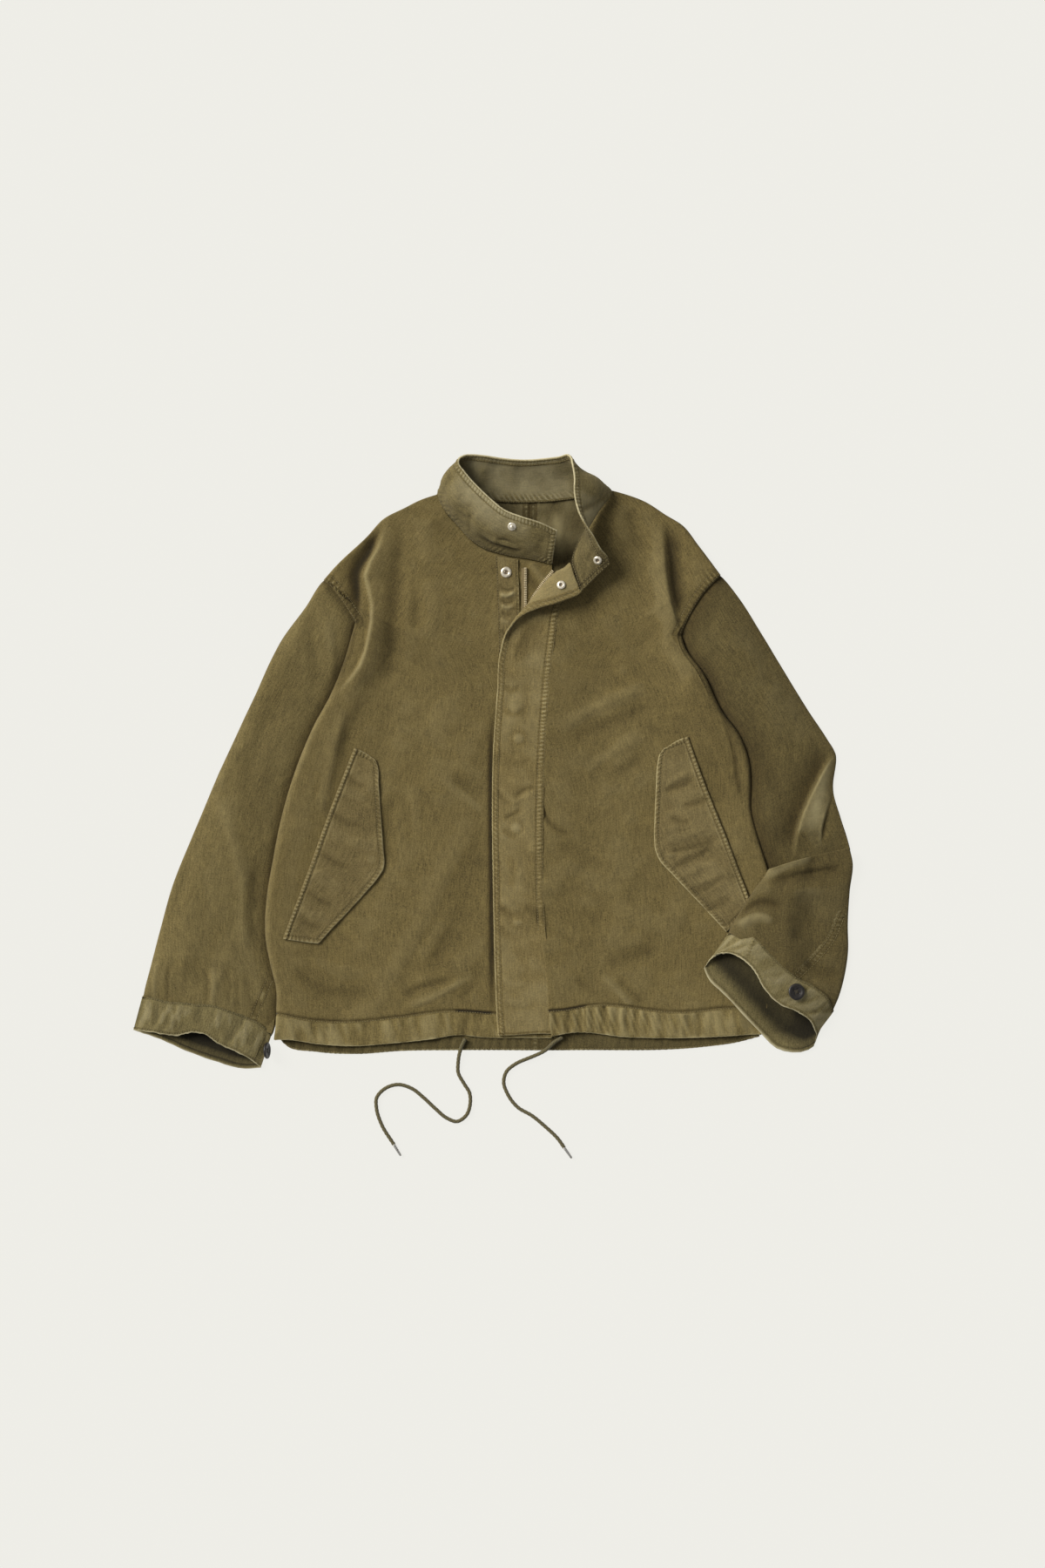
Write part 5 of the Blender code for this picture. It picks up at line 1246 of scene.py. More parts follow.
FOLDS_SLEEVE_LEFT = [
    (2.1, 13, 14, [(265, 196), (284, 166.5), (305, 133), (336.5, 82.5), (374.5, 38.5)], 0.03),
    (-1.4, 12, 10, [(286, 221), (319.5, 170.5), (351, 116), (378.5, 72)], -0.1),
    (-1.7, 10, 12, [(296.5, 86.5), (326, 30), (343, -27), (351, -79.5)], -0.3),
    (-4.2, 2, 20, [(427, 23.5), (411, 9), (398.5, -6), (389, -22.5), (379.5, -41.5), (370, -63.5),
                   (364, -84.5), (359.5, -121.5)], -1.1),
    (3.6, 17, 1.8, [(429, 25.5), (414, 11), (403, -2.5), (394.5, -19.5), (386, -37.5), (376.5, -58.5),
                    (370, -77), (366.5, -96), (364, -119)], 0.34),
    (-2.6, 7, 1.6, [(415.5, -22.5), (409, -45.5), (403.5, -63.5), (399, -81.5), (397.5, -102.5)], -0.45),
    (1.6, 5, 5, [(416.5, -22.5), (420.5, -58.5), (427, -96)], 0.1),
    # a painted highlight over the lit facet below the elbow, with no height of its own
    (0.0, 11, 8, [(420.5, 23.5), (407, -10), (398.5, -35), (391, -58.5), (385, -90)], 0.65),
    (0.6, 1.6, 3, [(412, -24.5), (407.5, -45.5), (402, -63.5), (397.5, -81.5), (395.5, -104.5)], 0.35),
    (-0.8, 7, 7, [(371, -79.5), (374.5, -96), (379.5, -113)], -0.35),
]
FOLDS_FOREARM = [
    (3.4, 7, 5, [(317.5, -140), (340.5, -125.5), (359.5, -116), (393, -104.5)], 0.1),
    (0.8, 4, 5, [(322, -142.5), (343, -132), (364, -121.5), (397.5, -113)], 0.3),
    (-3.8, 5, 10, [(330, -150.5), (355.5, -140), (382.5, -135), (431, -127.5)], -0.7),
    (2.8, 9, 12, [(305, -161), (336.5, -153), (368, -154), (406, -161)], 0.1),
    (-3.2, 5, 5, [(292.5, -188.5), (307, -176), (323, -169.5), (336.5, -170.5), (353.5, -180)], -0.95),
    (2.2, 5, 7, [(292.5, -201), (307, -189.5), (322, -185.5), (343, -195)], 0.4),
    (-1.8, 8, 8, [(353.5, -186.5), (366, -197), (370, -220)], -0.2),
    (-2.2, 6, 6, [(374.5, -239), (391, -251.5), (420.5, -263)], -0.35),
    (1.2, 6, 6, [(382.5, -260), (397.5, -270.5), (412, -285)]),
    (-1.0, 6, 6, [(391, -111), (387, -121.5), (389, -138)], -0.2),
]


def tube_grid(table, places, crest):
    """Flattened rings of cloth from a table of rows, with their lift: 1 on the top, -1 below.

    A crest above 1 moves the highest line of each ring towards its second end."""
    table = np.array(table, float)
    middle = (table[:, 0:2] + table[:, 2:4]) / 2
    run = arc(middle)
    rows = hermite(table, run, np.asarray(places) * run[-1])
    middle = (rows[:, 0:2] + rows[:, 2:4]) / 2
    heading = unit(np.gradient(middle, axis=0))
    across = RING[None]
    lift = np.sqrt(np.clip(1 - (1 - 2 * across**crest)**2, 0.0, 1.0))
    lift = lift * np.where(np.arange(across.shape[1]) < len(RING_TOP), 1.0, -1.0)[None]
    tall, low_a, low_b, carried = (rows[:, k, None] for k in (4, 5, 6, 7))
    floor = low_a + (low_b - low_a) * ease((across - carried) / 0.3)
    body = np.where(lift >= 0, TIP + (tall - TIP) * np.abs(lift)**0.9,
                    TIP * np.maximum(0.0, 1 - 5.0 * np.abs(lift)))
    bulge = np.where(lift >= 0, rows[:, 8, None], rows[:, 9, None]) * lift**2
    plan = rows[:, None, 0:2] * (1 - across[..., None]) + rows[:, None, 2:4] * across[..., None]
    plan = plan + bulge[..., None] * heading[:, None]
    return np.concatenate([plan, (floor + body)[..., None]], axis=2), np.broadcast_to(lift, floor.shape)


def cuff_grid(lines, places):
    """Rings from a cuff's seam to its mouth, through its own lines."""
    def ring(top, low):
        over, under = smooth(lines[top], RING_TOP), smooth(lines[low], RING_BOTTOM)[1:-1][::-1]
        return np.concatenate([over, under])
    seam, lip = ring("seam_top", "seam_low"), ring("lip_top", "lip_low")
    t = np.asarray(places)[:, None, None]
    grid = seam[None] * (1 - t) + lip[None] * t
    top = np.arange(seam.shape[0]) < len(RING_TOP)
    grid[..., 2] += np.where(top, 1.0, 0.0)[None] * np.sin(math.pi * t[..., 0]) * 0.8
    lift = np.where(top, np.sin(math.pi * RING), -1.0)
    return grid, np.broadcast_to(lift, grid.shape[:2])


def sew_across(grid, tone, normal, line, rows, seed, mask, **look):
    """A seam that crosses a piece, stitched on the left of its line."""
    line = smooth(line, 24)
    away, along = nearest(grid[..., 0], grid[..., 1], line)
    long = arc(line[:, :2])[-1]
    within = mask * (away > -1.5) * (along > 0.5) * (along < long - 0.5)
    relief, marks = stitched(np.maximum(away, 0.0), along, rows, seed, **look)
    return grid + normal * (relief * within)[..., None], tone + marks * within


def join_cuff(sleeve, cuff, rows):
    """Ease the last rings of a sleeve into its cuff, inside its third ring."""
    target = cuff[2] - outward(cuff, True)[2] * DOUBLE_PLY
    weight = ease(np.arange(1, rows + 1) / rows)[:, None, None]
    sleeve = sleeve.copy()
    sleeve[-rows:] = sleeve[-rows:] * (1 - weight) + target[None] * weight
    return sleeve


def crumple(grid, lift, table, seed):
    """Folds of a sleeve, full on top and less at its edges, and their rub and painted light and shade."""
    normal = outward(grid, True)
    x, y = grid[..., 0], grid[..., 1]
    top = ease(lift / 0.55)
    loose = 1.0 * drift(x, y, 48.0, seed) + 0.7 * drift(0.9 * x - 0.3 * y, 0.4 * y + 0.2 * x, 22.0, seed + 1)
    loose = loose + 0.3 * drift(x, 0.6 * y, 10.0, seed + 2) + 0.08 * drift(x, y, 4.2, seed + 3)
    height, rub_and_painted_light = folds(x, y, table)
    height = (height + loose) * (0.12 + 0.88 * top) * (lift >= 0)
    return grid + normal * height[..., None], (rub_and_painted_light + 0.12 * np.clip(loose, -1.5, 0.3)) * top


VALLEY = {"right": (-0.8, 9.0), "left": (-1.15, 17.0)}


def valley(label, grid):
    """The sleeve's shade where it dips beside the body: how deep, and how wide."""
    amount, wide = VALLEY[label]
    beside = (side_at(label, grid[..., 1])[0] - grid[..., 0]) * SIDES[label][1]
    return amount * bell(np.maximum(beside, 0.0), wide)


SLEEVE_ROWS = (1.2, 8.6)      # the stitches beside a sleeve's seam
CUFF_STEPS = spacing(40.0, 1.6, fine=0.9, reach=7.0)
sleeves = {}
for label, table in (("right", SLEEVE_RIGHT), ("left", SLEEVE_LEFT_UPPER)):
    inward = SIDES[label][1]
    rows = []
    for outer_x, outer_y, inner_y, tall in table:
        inner_x = float(side_at(label, inner_y)[0]) + inward * SIDE_TUCK
        rows.append((outer_x, outer_y, inner_x, inner_y, tall, 0.0, 0.0, 0.5, 0.0, 0.0))
    tuck = np.array([inward * 6.0, 5.0, inward * 6.0, 5.0, -3.6, 0.0, 0.0, 0.0, 0.0, 0.0])
    sleeves[label] = [rows[0] + tuck] + rows

cuffs = {"right": cuff_grid(CUFF_RIGHT, CUFF_STEPS), "left": cuff_grid(CUFF_LEFT, CUFF_STEPS)}
olive_sleeve_right = twill("olive_twill_sleeve_right", colour=(113, 100, 64))
# the left sleeve and its forearm are painted darker than the right sleeve: painted shade, as they slope away
# from the light
olive_sleeve_left_shaded = twill("olive_twill_sleeve_left_shaded", colour=(98, 86, 53))
olive_forearm_shaded = twill("olive_twill_forearm_shaded", colour=(96, 84, 52))

grid, lift = tube_grid(sleeves["right"], spacing(560.0, 3.3, fine=2.2), 0.72)
grid, tone = crumple(grid, lift, FOLDS_SLEEVE_RIGHT, 220)
grid = join_cuff(grid, cuffs["right"][0], 14)
tone = tone + valley("right", grid)
seam = [(-285, -314.5), (-275.5, -289.5), (-265, -266)]
grid, tone = sew_across(grid, tone, outward(grid, True), seam, SLEEVE_ROWS, 225, lift > 0.1, pitch=5.0,
                        pucker=0.6, worn=0.3)
piece = belong(cloth_piece("sleeve_right_twill", grid, SLEEVE_PLY, olive_sleeve_right, tone, tube=True),
               "twill", "sleeve_right")
sew("sleeve_right_stitches", [lay_on(grid, seam, offset, lift > 0.1) for offset in SLEEVE_ROWS], 9)

grid, lift = tube_grid(sleeves["left"], spacing(370.0, 2.3, fine=1.7), 1.7)
grid, tone = crumple(grid, lift, FOLDS_SLEEVE_LEFT, 240)
tone = tone + valley("left", grid)
piece = belong(cloth_piece("sleeve_left_upper_twill", grid, SLEEVE_PLY, olive_sleeve_left_shaded, tone, tube=True),
               "twill", "sleeve_left_upper")

grid, lift = tube_grid(FOREARM_LEFT, spacing(190.0, 1.7, fine=1.2), 0.62)
grid, tone = crumple(grid, lift, FOLDS_FOREARM, 260)
grid = join_cuff(grid, cuffs["left"][0], 12)
seam = [(418.5, -180), (415.5, -186.5), (406, -208.5), (387, -232.5), (359.5, -258)]
grid, tone = sew_across(grid, tone, outward(grid, True), seam, SLEEVE_ROWS, 265, lift > 0.1,
                        pitch=5.0, pucker=0.6, worn=0.6)
piece = belong(cloth_piece("sleeve_left_lower_twill", grid, SLEEVE_PLY, olive_forearm_shaded, tone, tube=True),
               "twill", "sleeve_left_lower")
sew("forearm_stitches", [lay_on(grid, seam, offset, lift > 0.1) for offset in SLEEVE_ROWS], 11)

# ---------------------------------------------------------------- cuffs
# Straight cuffs of doubled twill, each closed by one button.  Their mouths stand open, and the
# edges are rubbed pale.

# painted shade inside each cuff's opening: its level near the lip, and how much darker it grows deeper in
CUFF_INSIDE_SHADE = {"right": (-0.5, 1.1), "left": (0.1, 0.75)}
CUFF_GATHER = {"right": 1.0, "left": 0.55}             # how deep the sewn cloth's wrinkles are
CUFF_LIT = {"right": 0.0, "left": 0.12}
CUFF_DEEP_END = {"right": -190.0, "left": 352.0}       # beyond this x the opening is darkest
CUFF_TABS = {"right": [[(-295.5, -352.5), (-281, -319.5)], [(-287, -358.5), (-272.5, -326)]],
             "left": [[(306, -234.5), (314.5, -214.5)]]}
for label in ("right", "left"):
    grid, lift = cuffs[label]
    normal = outward(grid, True)
    x, y = grid[..., 0], grid[..., 1]
    from_seam, along = edge_of(grid, "first_row")
    deep = from_seam / from_seam[-1][None]
    turned_over = ease(np.minimum(RING, 1 - RING) * RING_WIDE / 22.0)
    gather = 1.0 * drift(along + 0.25 * from_seam, 0.14 * from_seam, 7.0, 301)
    gather = gather + 0.6 * drift(along - 0.3 * from_seam, 0.2 * from_seam, 4.0, 303)
    gather = gather * CUFF_GATHER[label]
    height = 1.7 * turned_over * gather * np.sin(math.pi * deep)**0.5 + 0.4 * drift(x, y, 30.0, 305)
    grid = grid + normal * (height * np.where(lift > 0, 1.0, 0.5))[..., None]
    # paler on the wrinkles' crests and darker in their troughs: painted light and shade
    tone = 0.55 * np.clip(gather, -1.2, 0.35) * np.sin(math.pi * deep)**0.5 + CUFF_LIT[label]
    grid, tone = sew_edge(grid, tone, "first_row", (1.4,), 307, tube=True, pucker=0.35, sink=0.5, worn=0.0)
    grid, tone = sew_edge(grid, tone, "last_row", (2.6,), 309, tube=True, pucker=0.4, sink=0.3, pitch=6.0,
                          worn=1.4, rub_wide=1.6)
    lines = [inset(grid, "first_row", 1.5, tube=True), inset(grid, "last_row", 2.8, tube=True)]
    for line in CUFF_TABS[label]:
        away, along = nearest(x, y, np.array(line, float))
        groove = bell(away, 0.9) * (lift > 0.05)
        step = 0.35 * ease((away + 1.2) / 1.2) * bell(np.maximum(away, 0.0), 9.0) * (lift > 0.05)
        grid = grid + normal * (step - 0.4 * groove)[..., None]
        tone = tone - 0.5 * groove
        lines.append(lay_on(grid, line, 0.3, lift > 0.05))
    # the cuff's deep colour is the near black of the painted shade inside its opening
    olive = twill(f"olive_twill_cuff_{label}", colour=(120, 109, 74), deep=(40, 35, 20), worn=(184, 174, 138))
    from_lip = from_seam[-1][None] - from_seam
    crimp = 0.5 + 0.5 * gathers(along, 9.0, 311)
    crimp = crimp + 0.5 * drift(along, 0.3 * from_lip, 5.0, 313)
    dark, darker = CUFF_INSIDE_SHADE[label]
    # the opening's inner face: painted shade, in wrinkle lines, darker deeper in and towards the far end,
    # with a paler lip and a darker line 5 mm in
    inside = dark - 0.6 * crimp - darker * ease((from_lip - 7.0) / 18.0)
    inside = inside - 0.5 * ease((x - CUFF_DEEP_END[label]) / 30.0)
    inside = inside + 1.3 * bell(from_lip, 2.0) - 0.5 * bell(from_lip - 5.0, 1.0)
    wall = DOUBLE_PLY * (0.12 + 0.88 * turned_over)
    piece = cloth_piece(f"cuff_{label}_band", grid, wall, olive, tone, tube=True, both=0.1, inner_face_light=inside)
    belong(piece, "twill_worn", f"cuff_{label}")
    sew(f"cuff_{label}_stitches", lines, 13)
    cuffs[label] = (grid, lift)

# ---------------------------------------------------------------- collar
# A stand collar of two layers of twill, top-stitched twice round its free edges and puckered
# along the neck seam.  Its right end lies over the chest, and its left end flops open.

COLLAR_PLY = 2.6
# From the right end round the neck to the left end: seam x, y; its height; top edge x, y; its
# height; how far the band bows outwards.
COLLAR = [
    ((72, 238), 6.2, (78, 277.5), 34.0, 4.0),
    ((46.5, 244), 6.2, (55, 288), 38.0, 5.0),
    ((25.5, 247.5), 6.2, (34, 294.5), 40.0, 5.0),
    ((7, 251.5), 6.2, (15, 302), 41.0, 5.0),
    ((-11, 258), 6.6, (1.5, 312.5), 41.0, 5.0),
    ((-25.5, 267), 7.2, (-10, 323), 41.0, 5.0),
    ((-40.5, 283), 8.2, (-21.5, 334.5), 41.0, 5.0),
    ((-56, 301), 8.8, (-33, 348), 41.0, 6.0),
    ((-64.5, 316.5), 8.7, (-40.5, 359.5), 40.0, 7.0),
    ((-65.5, 325), 8.4, (-39.5, 365), 39.0, 7.0),
    ((-59.5, 328), 6.0, (-34, 368), 37.0, 5.0),
    ((-43.5, 323), 3.3, (-24.5, 369), 34.0, 3.0),
    ((-21.5, 316.5), 3.1, (-9, 368), 32.0, 3.0),
    ((3.5, 313.5), 3.1, (11, 365), 30.0, 3.0),
    ((43.5, 312.5), 3.1, (39.5, 363), 29.0, 3.0),
    ((78, 314.5), 3.1, (67.5, 365), 31.0, 3.0),
    ((104.5, 318.5), 3.3, (81.5, 367), 34.0, 3.0),
    ((126.5, 326), 5.0, (90, 369), 38.0, 4.0),
    ((140, 330), 8.6, (94, 366), 42.0, 5.0),
    ((144.5, 324), 8.6, (96, 357.5), 45.0, 6.0),
    ((139, 315.5), 8.9, (98, 342), 47.0, 6.0),
    ((130.5, 305), 9.2, (98, 324), 48.0, 6.0),
    ((121.5, 291.5), 10.0, (101.5, 306), 48.0, 6.0),
    ((111, 274.5), 12.4, (109.5, 288), 47.0, 5.0),
    ((100.5, 255.5), 16.0, (121.5, 270.5), 44.0, 4.0),
    ((96, 241), 19.5, (130.5, 255.5), 39.0, 3.0),
    ((100.5, 223), 22.5, (139, 245), 33.0, 2.0),
    ((106.5, 204), 23.5, (141, 238), 29.0, 1.0),
]
COLLAR_EDGE_ROWS = (1.7, 7.4)
COLLAR_SEAM_ROWS = (1.6, 10.5)
COLLAR_LIT = (98.0, 74.0)    # where the band's outer face is painted palest at its top and darkest at its seam, and how far that reaches
# along the band from its right end and up from the seam: height, half widths, line
COLLAR_FOLDS = [
    (-2.0, 2.6, 4.0, [(34, 10), (52, 13), (70, 12), (92, 17)], -0.6),
    (1.4, 3.5, 3.5, [(38, 16), (56, 19), (78, 19)], 0.1),
    (-1.3, 2.4, 2.4, [(44, 20), (56, 24), (72, 22)], -0.3),
    (-1.0, 4.0, 4.0, [(98, 4), (104, 18), (112, 34)]),
    (1.3, 7.0, 9.0, [(122, 2), (132, 20), (143, 44)]),
    (-1.2, 5.0, 6.0, [(150, 4), (153, 22), (160, 46)]),
    (-1.0, 6.0, 6.0, [(12, 8), (17, 24), (12, 44)]),
    (0.8, 9.0, 9.0, [(60, 30), (84, 38), (110, 44)]),
    (-1.1, 5.0, 7.0, [(205, 6), (214, 26), (210, 50)]),
    (0.9, 9.0, 9.0, [(250, 8), (262, 30), (258, 52)]),
    (-0.9, 7.0, 7.0, [(318, 6), (322, 28), (316, 50)]),
    (-1.7, 4.0, 5.0, [(372, 4), (386, 22), (408, 46)]),
    (1.3, 5.0, 5.0, [(384, 2), (402, 18), (424, 36)]),
    (-1.0, 5.0, 5.0, [(446, 6), (452, 24), (444, 44)]),
]

down = spacing(500.0, 1.55, fine=1.1)
up = spacing(58.0, 1.35, fine=0.95)
seam = smooth([(*row[0], row[1]) for row in COLLAR], down)
top = smooth([(*row[2], row[3]) for row in COLLAR], down)
bow = np.interp(down * (len(COLLAR) - 1), range(len(COLLAR)), [row[4] for row in COLLAR])
ahead = np.gradient((seam + top) / 2, axis=0)
out = unit(np.cross(top - seam, ahead))
middle = (seam + top) / 2 + out * bow[:, None]
grid = np.stack([smooth([a, b, c], up) for a, b, c in zip(seam, middle, top)])
round_neck = edge_run(grid, 0).mean(axis=1)[:, None] + 0 * grid[..., 0]
from_seam, from_top = edge_run(grid, 1), edge_run(grid, 1, True)
normal = outward(grid)
normal = normal if (normal * out[:, None]).sum() > 0 else -normal
height, rub_and_painted_light = folds(round_neck, from_seam, COLLAR_FOLDS)
height += 0.9 * drift(round_neck, 0.7 * from_seam, 19.0, 400)
height += 0.4 * drift(round_neck + 0.6 * from_seam, 0.6 * from_seam, 8.0, 401)
free = ease(from_seam / 10.0) * (0.35 + 0.65 * ease(from_top / 12.0))
height *= free
# paler on crests and darker in hollows: painted light and shade
tone = 0.12 * np.clip(height, -2, 0.5) + rub_and_painted_light * free
ends = from_ends(grid, 0)
slant, marks = stitched(from_seam, round_neck + 0.7 * from_seam, COLLAR_SEAM_ROWS[:1], 403, pitch=5.4,
                        pucker=0.0, sink=0.5, worn=0.0)
# painted shade along the neck seam
marks -= 0.5 * bell(from_seam, 1.3)
height, tone = height + slant, tone + marks
# the roped band is painted paler on its ridges and darker between them: painted light and shade
rope = np.sin(2 * math.pi * ((round_neck + 0.65 * from_seam) / 5.8 + 0.4 * waver(round_neck, 17.0, 404)))
rope *= bell(from_seam - 6.0, 5.0) * (0.4 + 0.6 * waver(round_neck, 19.0, 405))
height, tone = height + 1.0 * rope, tone + 0.6 * rope
edge = np.minimum(from_top, ends)
along = np.where(from_top <= ends, round_neck, from_seam + 7.0)
relief, marks = stitched(edge, along, COLLAR_EDGE_ROWS, 407, pitch=4.6, pucker=0.5, sink=0.5, worn=1.5)
height, tone = height + relief, tone + marks
grid = grid + normal * height[..., None]
# painted light and shade by how each face meets the light: the outer face paler towards its top edge and
# darker towards its seam near COLLAR_LIT, and paler at its left end; the inner face paler round the back of
# the neck and darker at its left end
outer = 0.42 * ease((COLLAR_LIT[1] - np.abs(round_neck - COLLAR_LIT[0])) / 40.0) * (from_seam / 26.0 - 1.05)
outer = outer + 0.28 * ease((round_neck - 370.0) / 15.0)
inner = 0.3 * between(round_neck, 180.0, 365.0, 20.0)
inner = inner - 0.45 * ease((round_neck - 398.0) / 12.0)
sign = 1.0 if (outward(grid) * normal).sum() > 0 else -1.0
if sign < 0:
    outer, inner = inner, outer
olive_collar = twill("olive_twill_collar", colour=(118, 106, 71), deep=(66, 56, 31), worn=(190, 179, 142))
collar = belong(cloth_piece("collar_band", grid, COLLAR_PLY, olive_collar, tone + outer, middle=True,
                            both=0.8, inner_face_light=inner - 0.8 * outer), "twill_worn", "collar")
faces_of_collar = []
for face in (1.0, -1.0):
    skin = grid + normal * face * COLLAR_PLY / 2
    for edge, rows in (("last_column", COLLAR_EDGE_ROWS), ("first_row", COLLAR_EDGE_ROWS),
                       ("last_row", COLLAR_EDGE_ROWS), ("first_column", COLLAR_SEAM_ROWS[:1])):
        for distance in rows:
            points, _ = inset(skin, edge, distance, trim=(distance, distance))
            _, normals = inset(grid, edge, distance, trim=(distance, distance))
            count = min(len(points), len(normals))
            faces_of_collar.append((points[:count], normals[:count] * face * sign))
sew("collar_stitches", faces_of_collar, 15)
collar_grid = grid

# ---------------------------------------------------------------- zip and under placket
# A brass zip on woven tape, between the fronts.  A straight under placket of twill lies over
# its right tape and carries the snap posts.

TAPE = 1.0
BRASS = (0.92, 0.78, 0.50, 1.0)
PLACKET_EDGES = ([(3.5, 248.5), (7, 163.5), (6, -132), (7, -301)],
                 [(31, 244), (33, 174), (33, -132), (33, -301)])
TAPES = {
    "right": ([(35, 233.5), (35, -301)], [(40, 233.5), (40, -301)]),
    "left": ([(72, 230), (57, 211.5), (43, 186.5), (42, 160), (41.5, 130.5), (41.5, 78), (41.5, -301)],
             [(81.5, 221), (67.5, 202), (53, 177), (50.5, 155), (50, 126.5), (50, 78), (50, -301)]),
}
PLACKET_LEVEL = PLACKET_TOP + SEAM + PLY
TAPE_LEVEL = PLACKET_TOP + SEAM + TAPE
TOOTH_PITCH = 2.1
TAPE_LIT = 178.0              # below this the right tape lies in the curl's shade
TOOTH_LIFT = {"right": 0.0, "left": 2.1}
TOOTH_SEEN = 200.0            # the left row shows above this
# height, half widths, line
PLACKET_FOLDS = [
    (1.8, 2.4, 2.8, [(8, 204), (16.5, 200), (28, 205.5)], 0.2),
    (-1.3, 2.0, 2.2, [(8, 214.5), (14, 208.5), (21.5, 207.5), (28, 212.5)], -0.4),
    (-1.2, 2.0, 2.2, [(9, 198), (17.5, 191.5), (28, 196)], -0.4),
    (1.1, 2.4, 2.6, [(10, 189.5), (18.5, 185.5), (27, 188.5)]),
    (-1.0, 2.0, 2.2, [(10, 182), (17.5, 177), (24.5, 179)], -0.35),
    (0.9, 2.6, 2.6, [(10, 175), (16.5, 168.5), (22.5, 168.5)]),
    (-0.9, 2.4, 2.4, [(9, 160), (15, 156), (19.5, 148.5)], -0.3),
]


def strip(edges, down, across, level):
    """A narrow flat strip between two edge lines."""
    left, right = smooth(edges[0], down), smooth(edges[1], down)
    share = across[None, :, None]
    plan = left[:, None] * (1 - share) + right[:, None] * share
    return raised(plan, np.full(plan.shape[:2], level))


def seen_then_hidden(length, seen, fine, coarse):
    """Fine rows where a strip shows and coarse ones under the flap."""
    shown = np.arange(0.0, seen, fine)
    return np.append(np.append([0.0, 0.3, 0.8], np.append(shown[2:], np.arange(seen, length - 4.0, coarse))),
                     [length - 0.8, length - 0.3, length]) / length


down = seen_then_hidden(550.0, 120.0, 1.2, 9.0)
grid = strip(PLACKET_EDGES, down, spacing(28.0, 1.1, fine=0.8, reach=3.0), PLACKET_LEVEL)
x, y = grid[..., 0], grid[..., 1]
height, tone = folds(x, y, PLACKET_FOLDS)
height += 0.7 * drift(0.6 * x, y, 9.0, 420) + 0.4 * drift(0.5 * x, y + 0.4 * x, 5.0, 425)
# paler on crests and darker in hollows: painted light and shade
tone = tone + 0.2 * height
grid[..., 2] += np.maximum(1.3 * height, -0.9) + 0.5
# a painted shadow along the placket's left edge
grid, tone = sew_edge(grid, tone, "first_column", (1.5,), 421, pucker=0.4, sink=0.5, worn=-0.8)
grid, tone = sew_edge(grid, tone, "last_column", (2.4,), 423, pucker=0.4, sink=0.5, worn=0.4)
olive_placket = twill("olive_twill_placket", colour=(120, 106, 70))
placket = cloth_piece("under_placket_strip", grid, PLY, olive_placket, tone)
belong(placket, "twill", "under_placket")
placket_grid = grid
sew("placket_stitches", [tuple(part[:110] for part in inset(grid, edge, distance))
                         for edge, distance in (("first_column", 1.5), ("last_column", 2.4))], 17)


def tape_look():
    """Woven cotton tape: a fine herringbone, a little paler than the cloth."""
    look, tree, shader = new_look("woven_tape", Roughness=0.85)
    laid = mapped(tree, on_cloth(tree), (1500.0, 1500.0, 1.0), 45.0)
    ribs = node(tree, "ShaderNodeTexWave", {"Vector": laid, "Scale": 0.4, "Distortion": 1.0, "Detail": 1.0})
    woven = blend(tree, ribs.outputs["Fac"], srgb(100, 86, 54), srgb(128, 112, 76))
    shade = maths(tree, "MULTIPLY", worn_tone(tree), -1.0, clamp=True)
    paint(tree, shader, blend(tree, shade, woven, srgb(34, 28, 17)), (ribs.outputs["Fac"], 0.5, 0.0002))
    return look


def tooth_shape(tree, given):
    """A stamped bar with a nib."""
    bar = node(tree, "ShaderNodeCombineXYZ", {"X": given["Tooth Thick"], "Y": given["Tooth Long"],
                                               "Z": given["Tooth High"]})
    nib = node(tree, "ShaderNodeVectorMath", {0: bar.outputs[0], 1: (0.72, 0.38, 1.28)}, operation="MULTIPLY")
    both = node(tree, "GeometryNodeJoinGeometry")
    for size in (nib, bar):
        cube = node(tree, "GeometryNodeMeshCube", {"Size": size.outputs[0]})
        tree.links.new(cube.outputs["Mesh"], both.inputs[0])
    return both.outputs[0], (1.0, 1.0, 1.0)


brass = metal("antique_brass", BRASS, 0.34, tarnish=(0.40, 0.30, 0.16, 1.0), shine=0.55)
woven_tape = tape_look()
TOOTH = {"Tooth Thick": 0.0011, "Tooth Long": 0.0032, "Tooth High": 0.0016}
zip_teeth, zip_teeth_sockets = make_repeat_tree(
    "zip_teeth", tooth_shape, [(label, "NodeSocketFloat", value) for label, value in TOOTH.items()]
    + [("Metal", "NodeSocketMaterial", None)], False)
for label, edges in TAPES.items():
    grid = strip(edges, seen_then_hidden(540.0, 140.0, 2.4, 12.0), np.linspace(0.0, 1.0, 7), TAPE_LEVEL)
    tucked = ease((TAPE_LIT - grid[..., 1]) / 8.0) * (label == "right")
    tape = cloth_piece(f"zip_tape_{label}_woven", grid, TAPE, woven_tape, -0.85 * tucked, rim=0.4)
    belong(tape, "zip_tape", f"zip_tape_{label}")
    edge, shift = (edges[1], -0.4) if label == "right" else (edges[0], 0.4)
    line = smooth(edge, 300)
    lift = TOOTH_LIFT[label] * ease((line[:, 1:] - TOOTH_SEEN) / 5.0)
    places = np.concatenate([line + (shift, 0.0), TAPE_LEVEL + lift], axis=1)
    row = [(places, np.tile((0.0, 0.0, 1.0), (len(line), 1)))]
    teeth = scatter(f"zip_teeth_{label}", row, TOOTH_PITCH, zip_teeth, zip_teeth_sockets,
                    {**TOOTH, "Metal": brass}, 0.35)
    belong(teeth, "zip_metal")
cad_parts["zip_slider"].material_slots[0].material = brass

# ---------------------------------------------------------------- fly flap
# A double layer of twill over the zip, sewn down its left side with two rows and top-stitched
# along its free edge.  Snap sockets inside press through; at the neck it curls open.

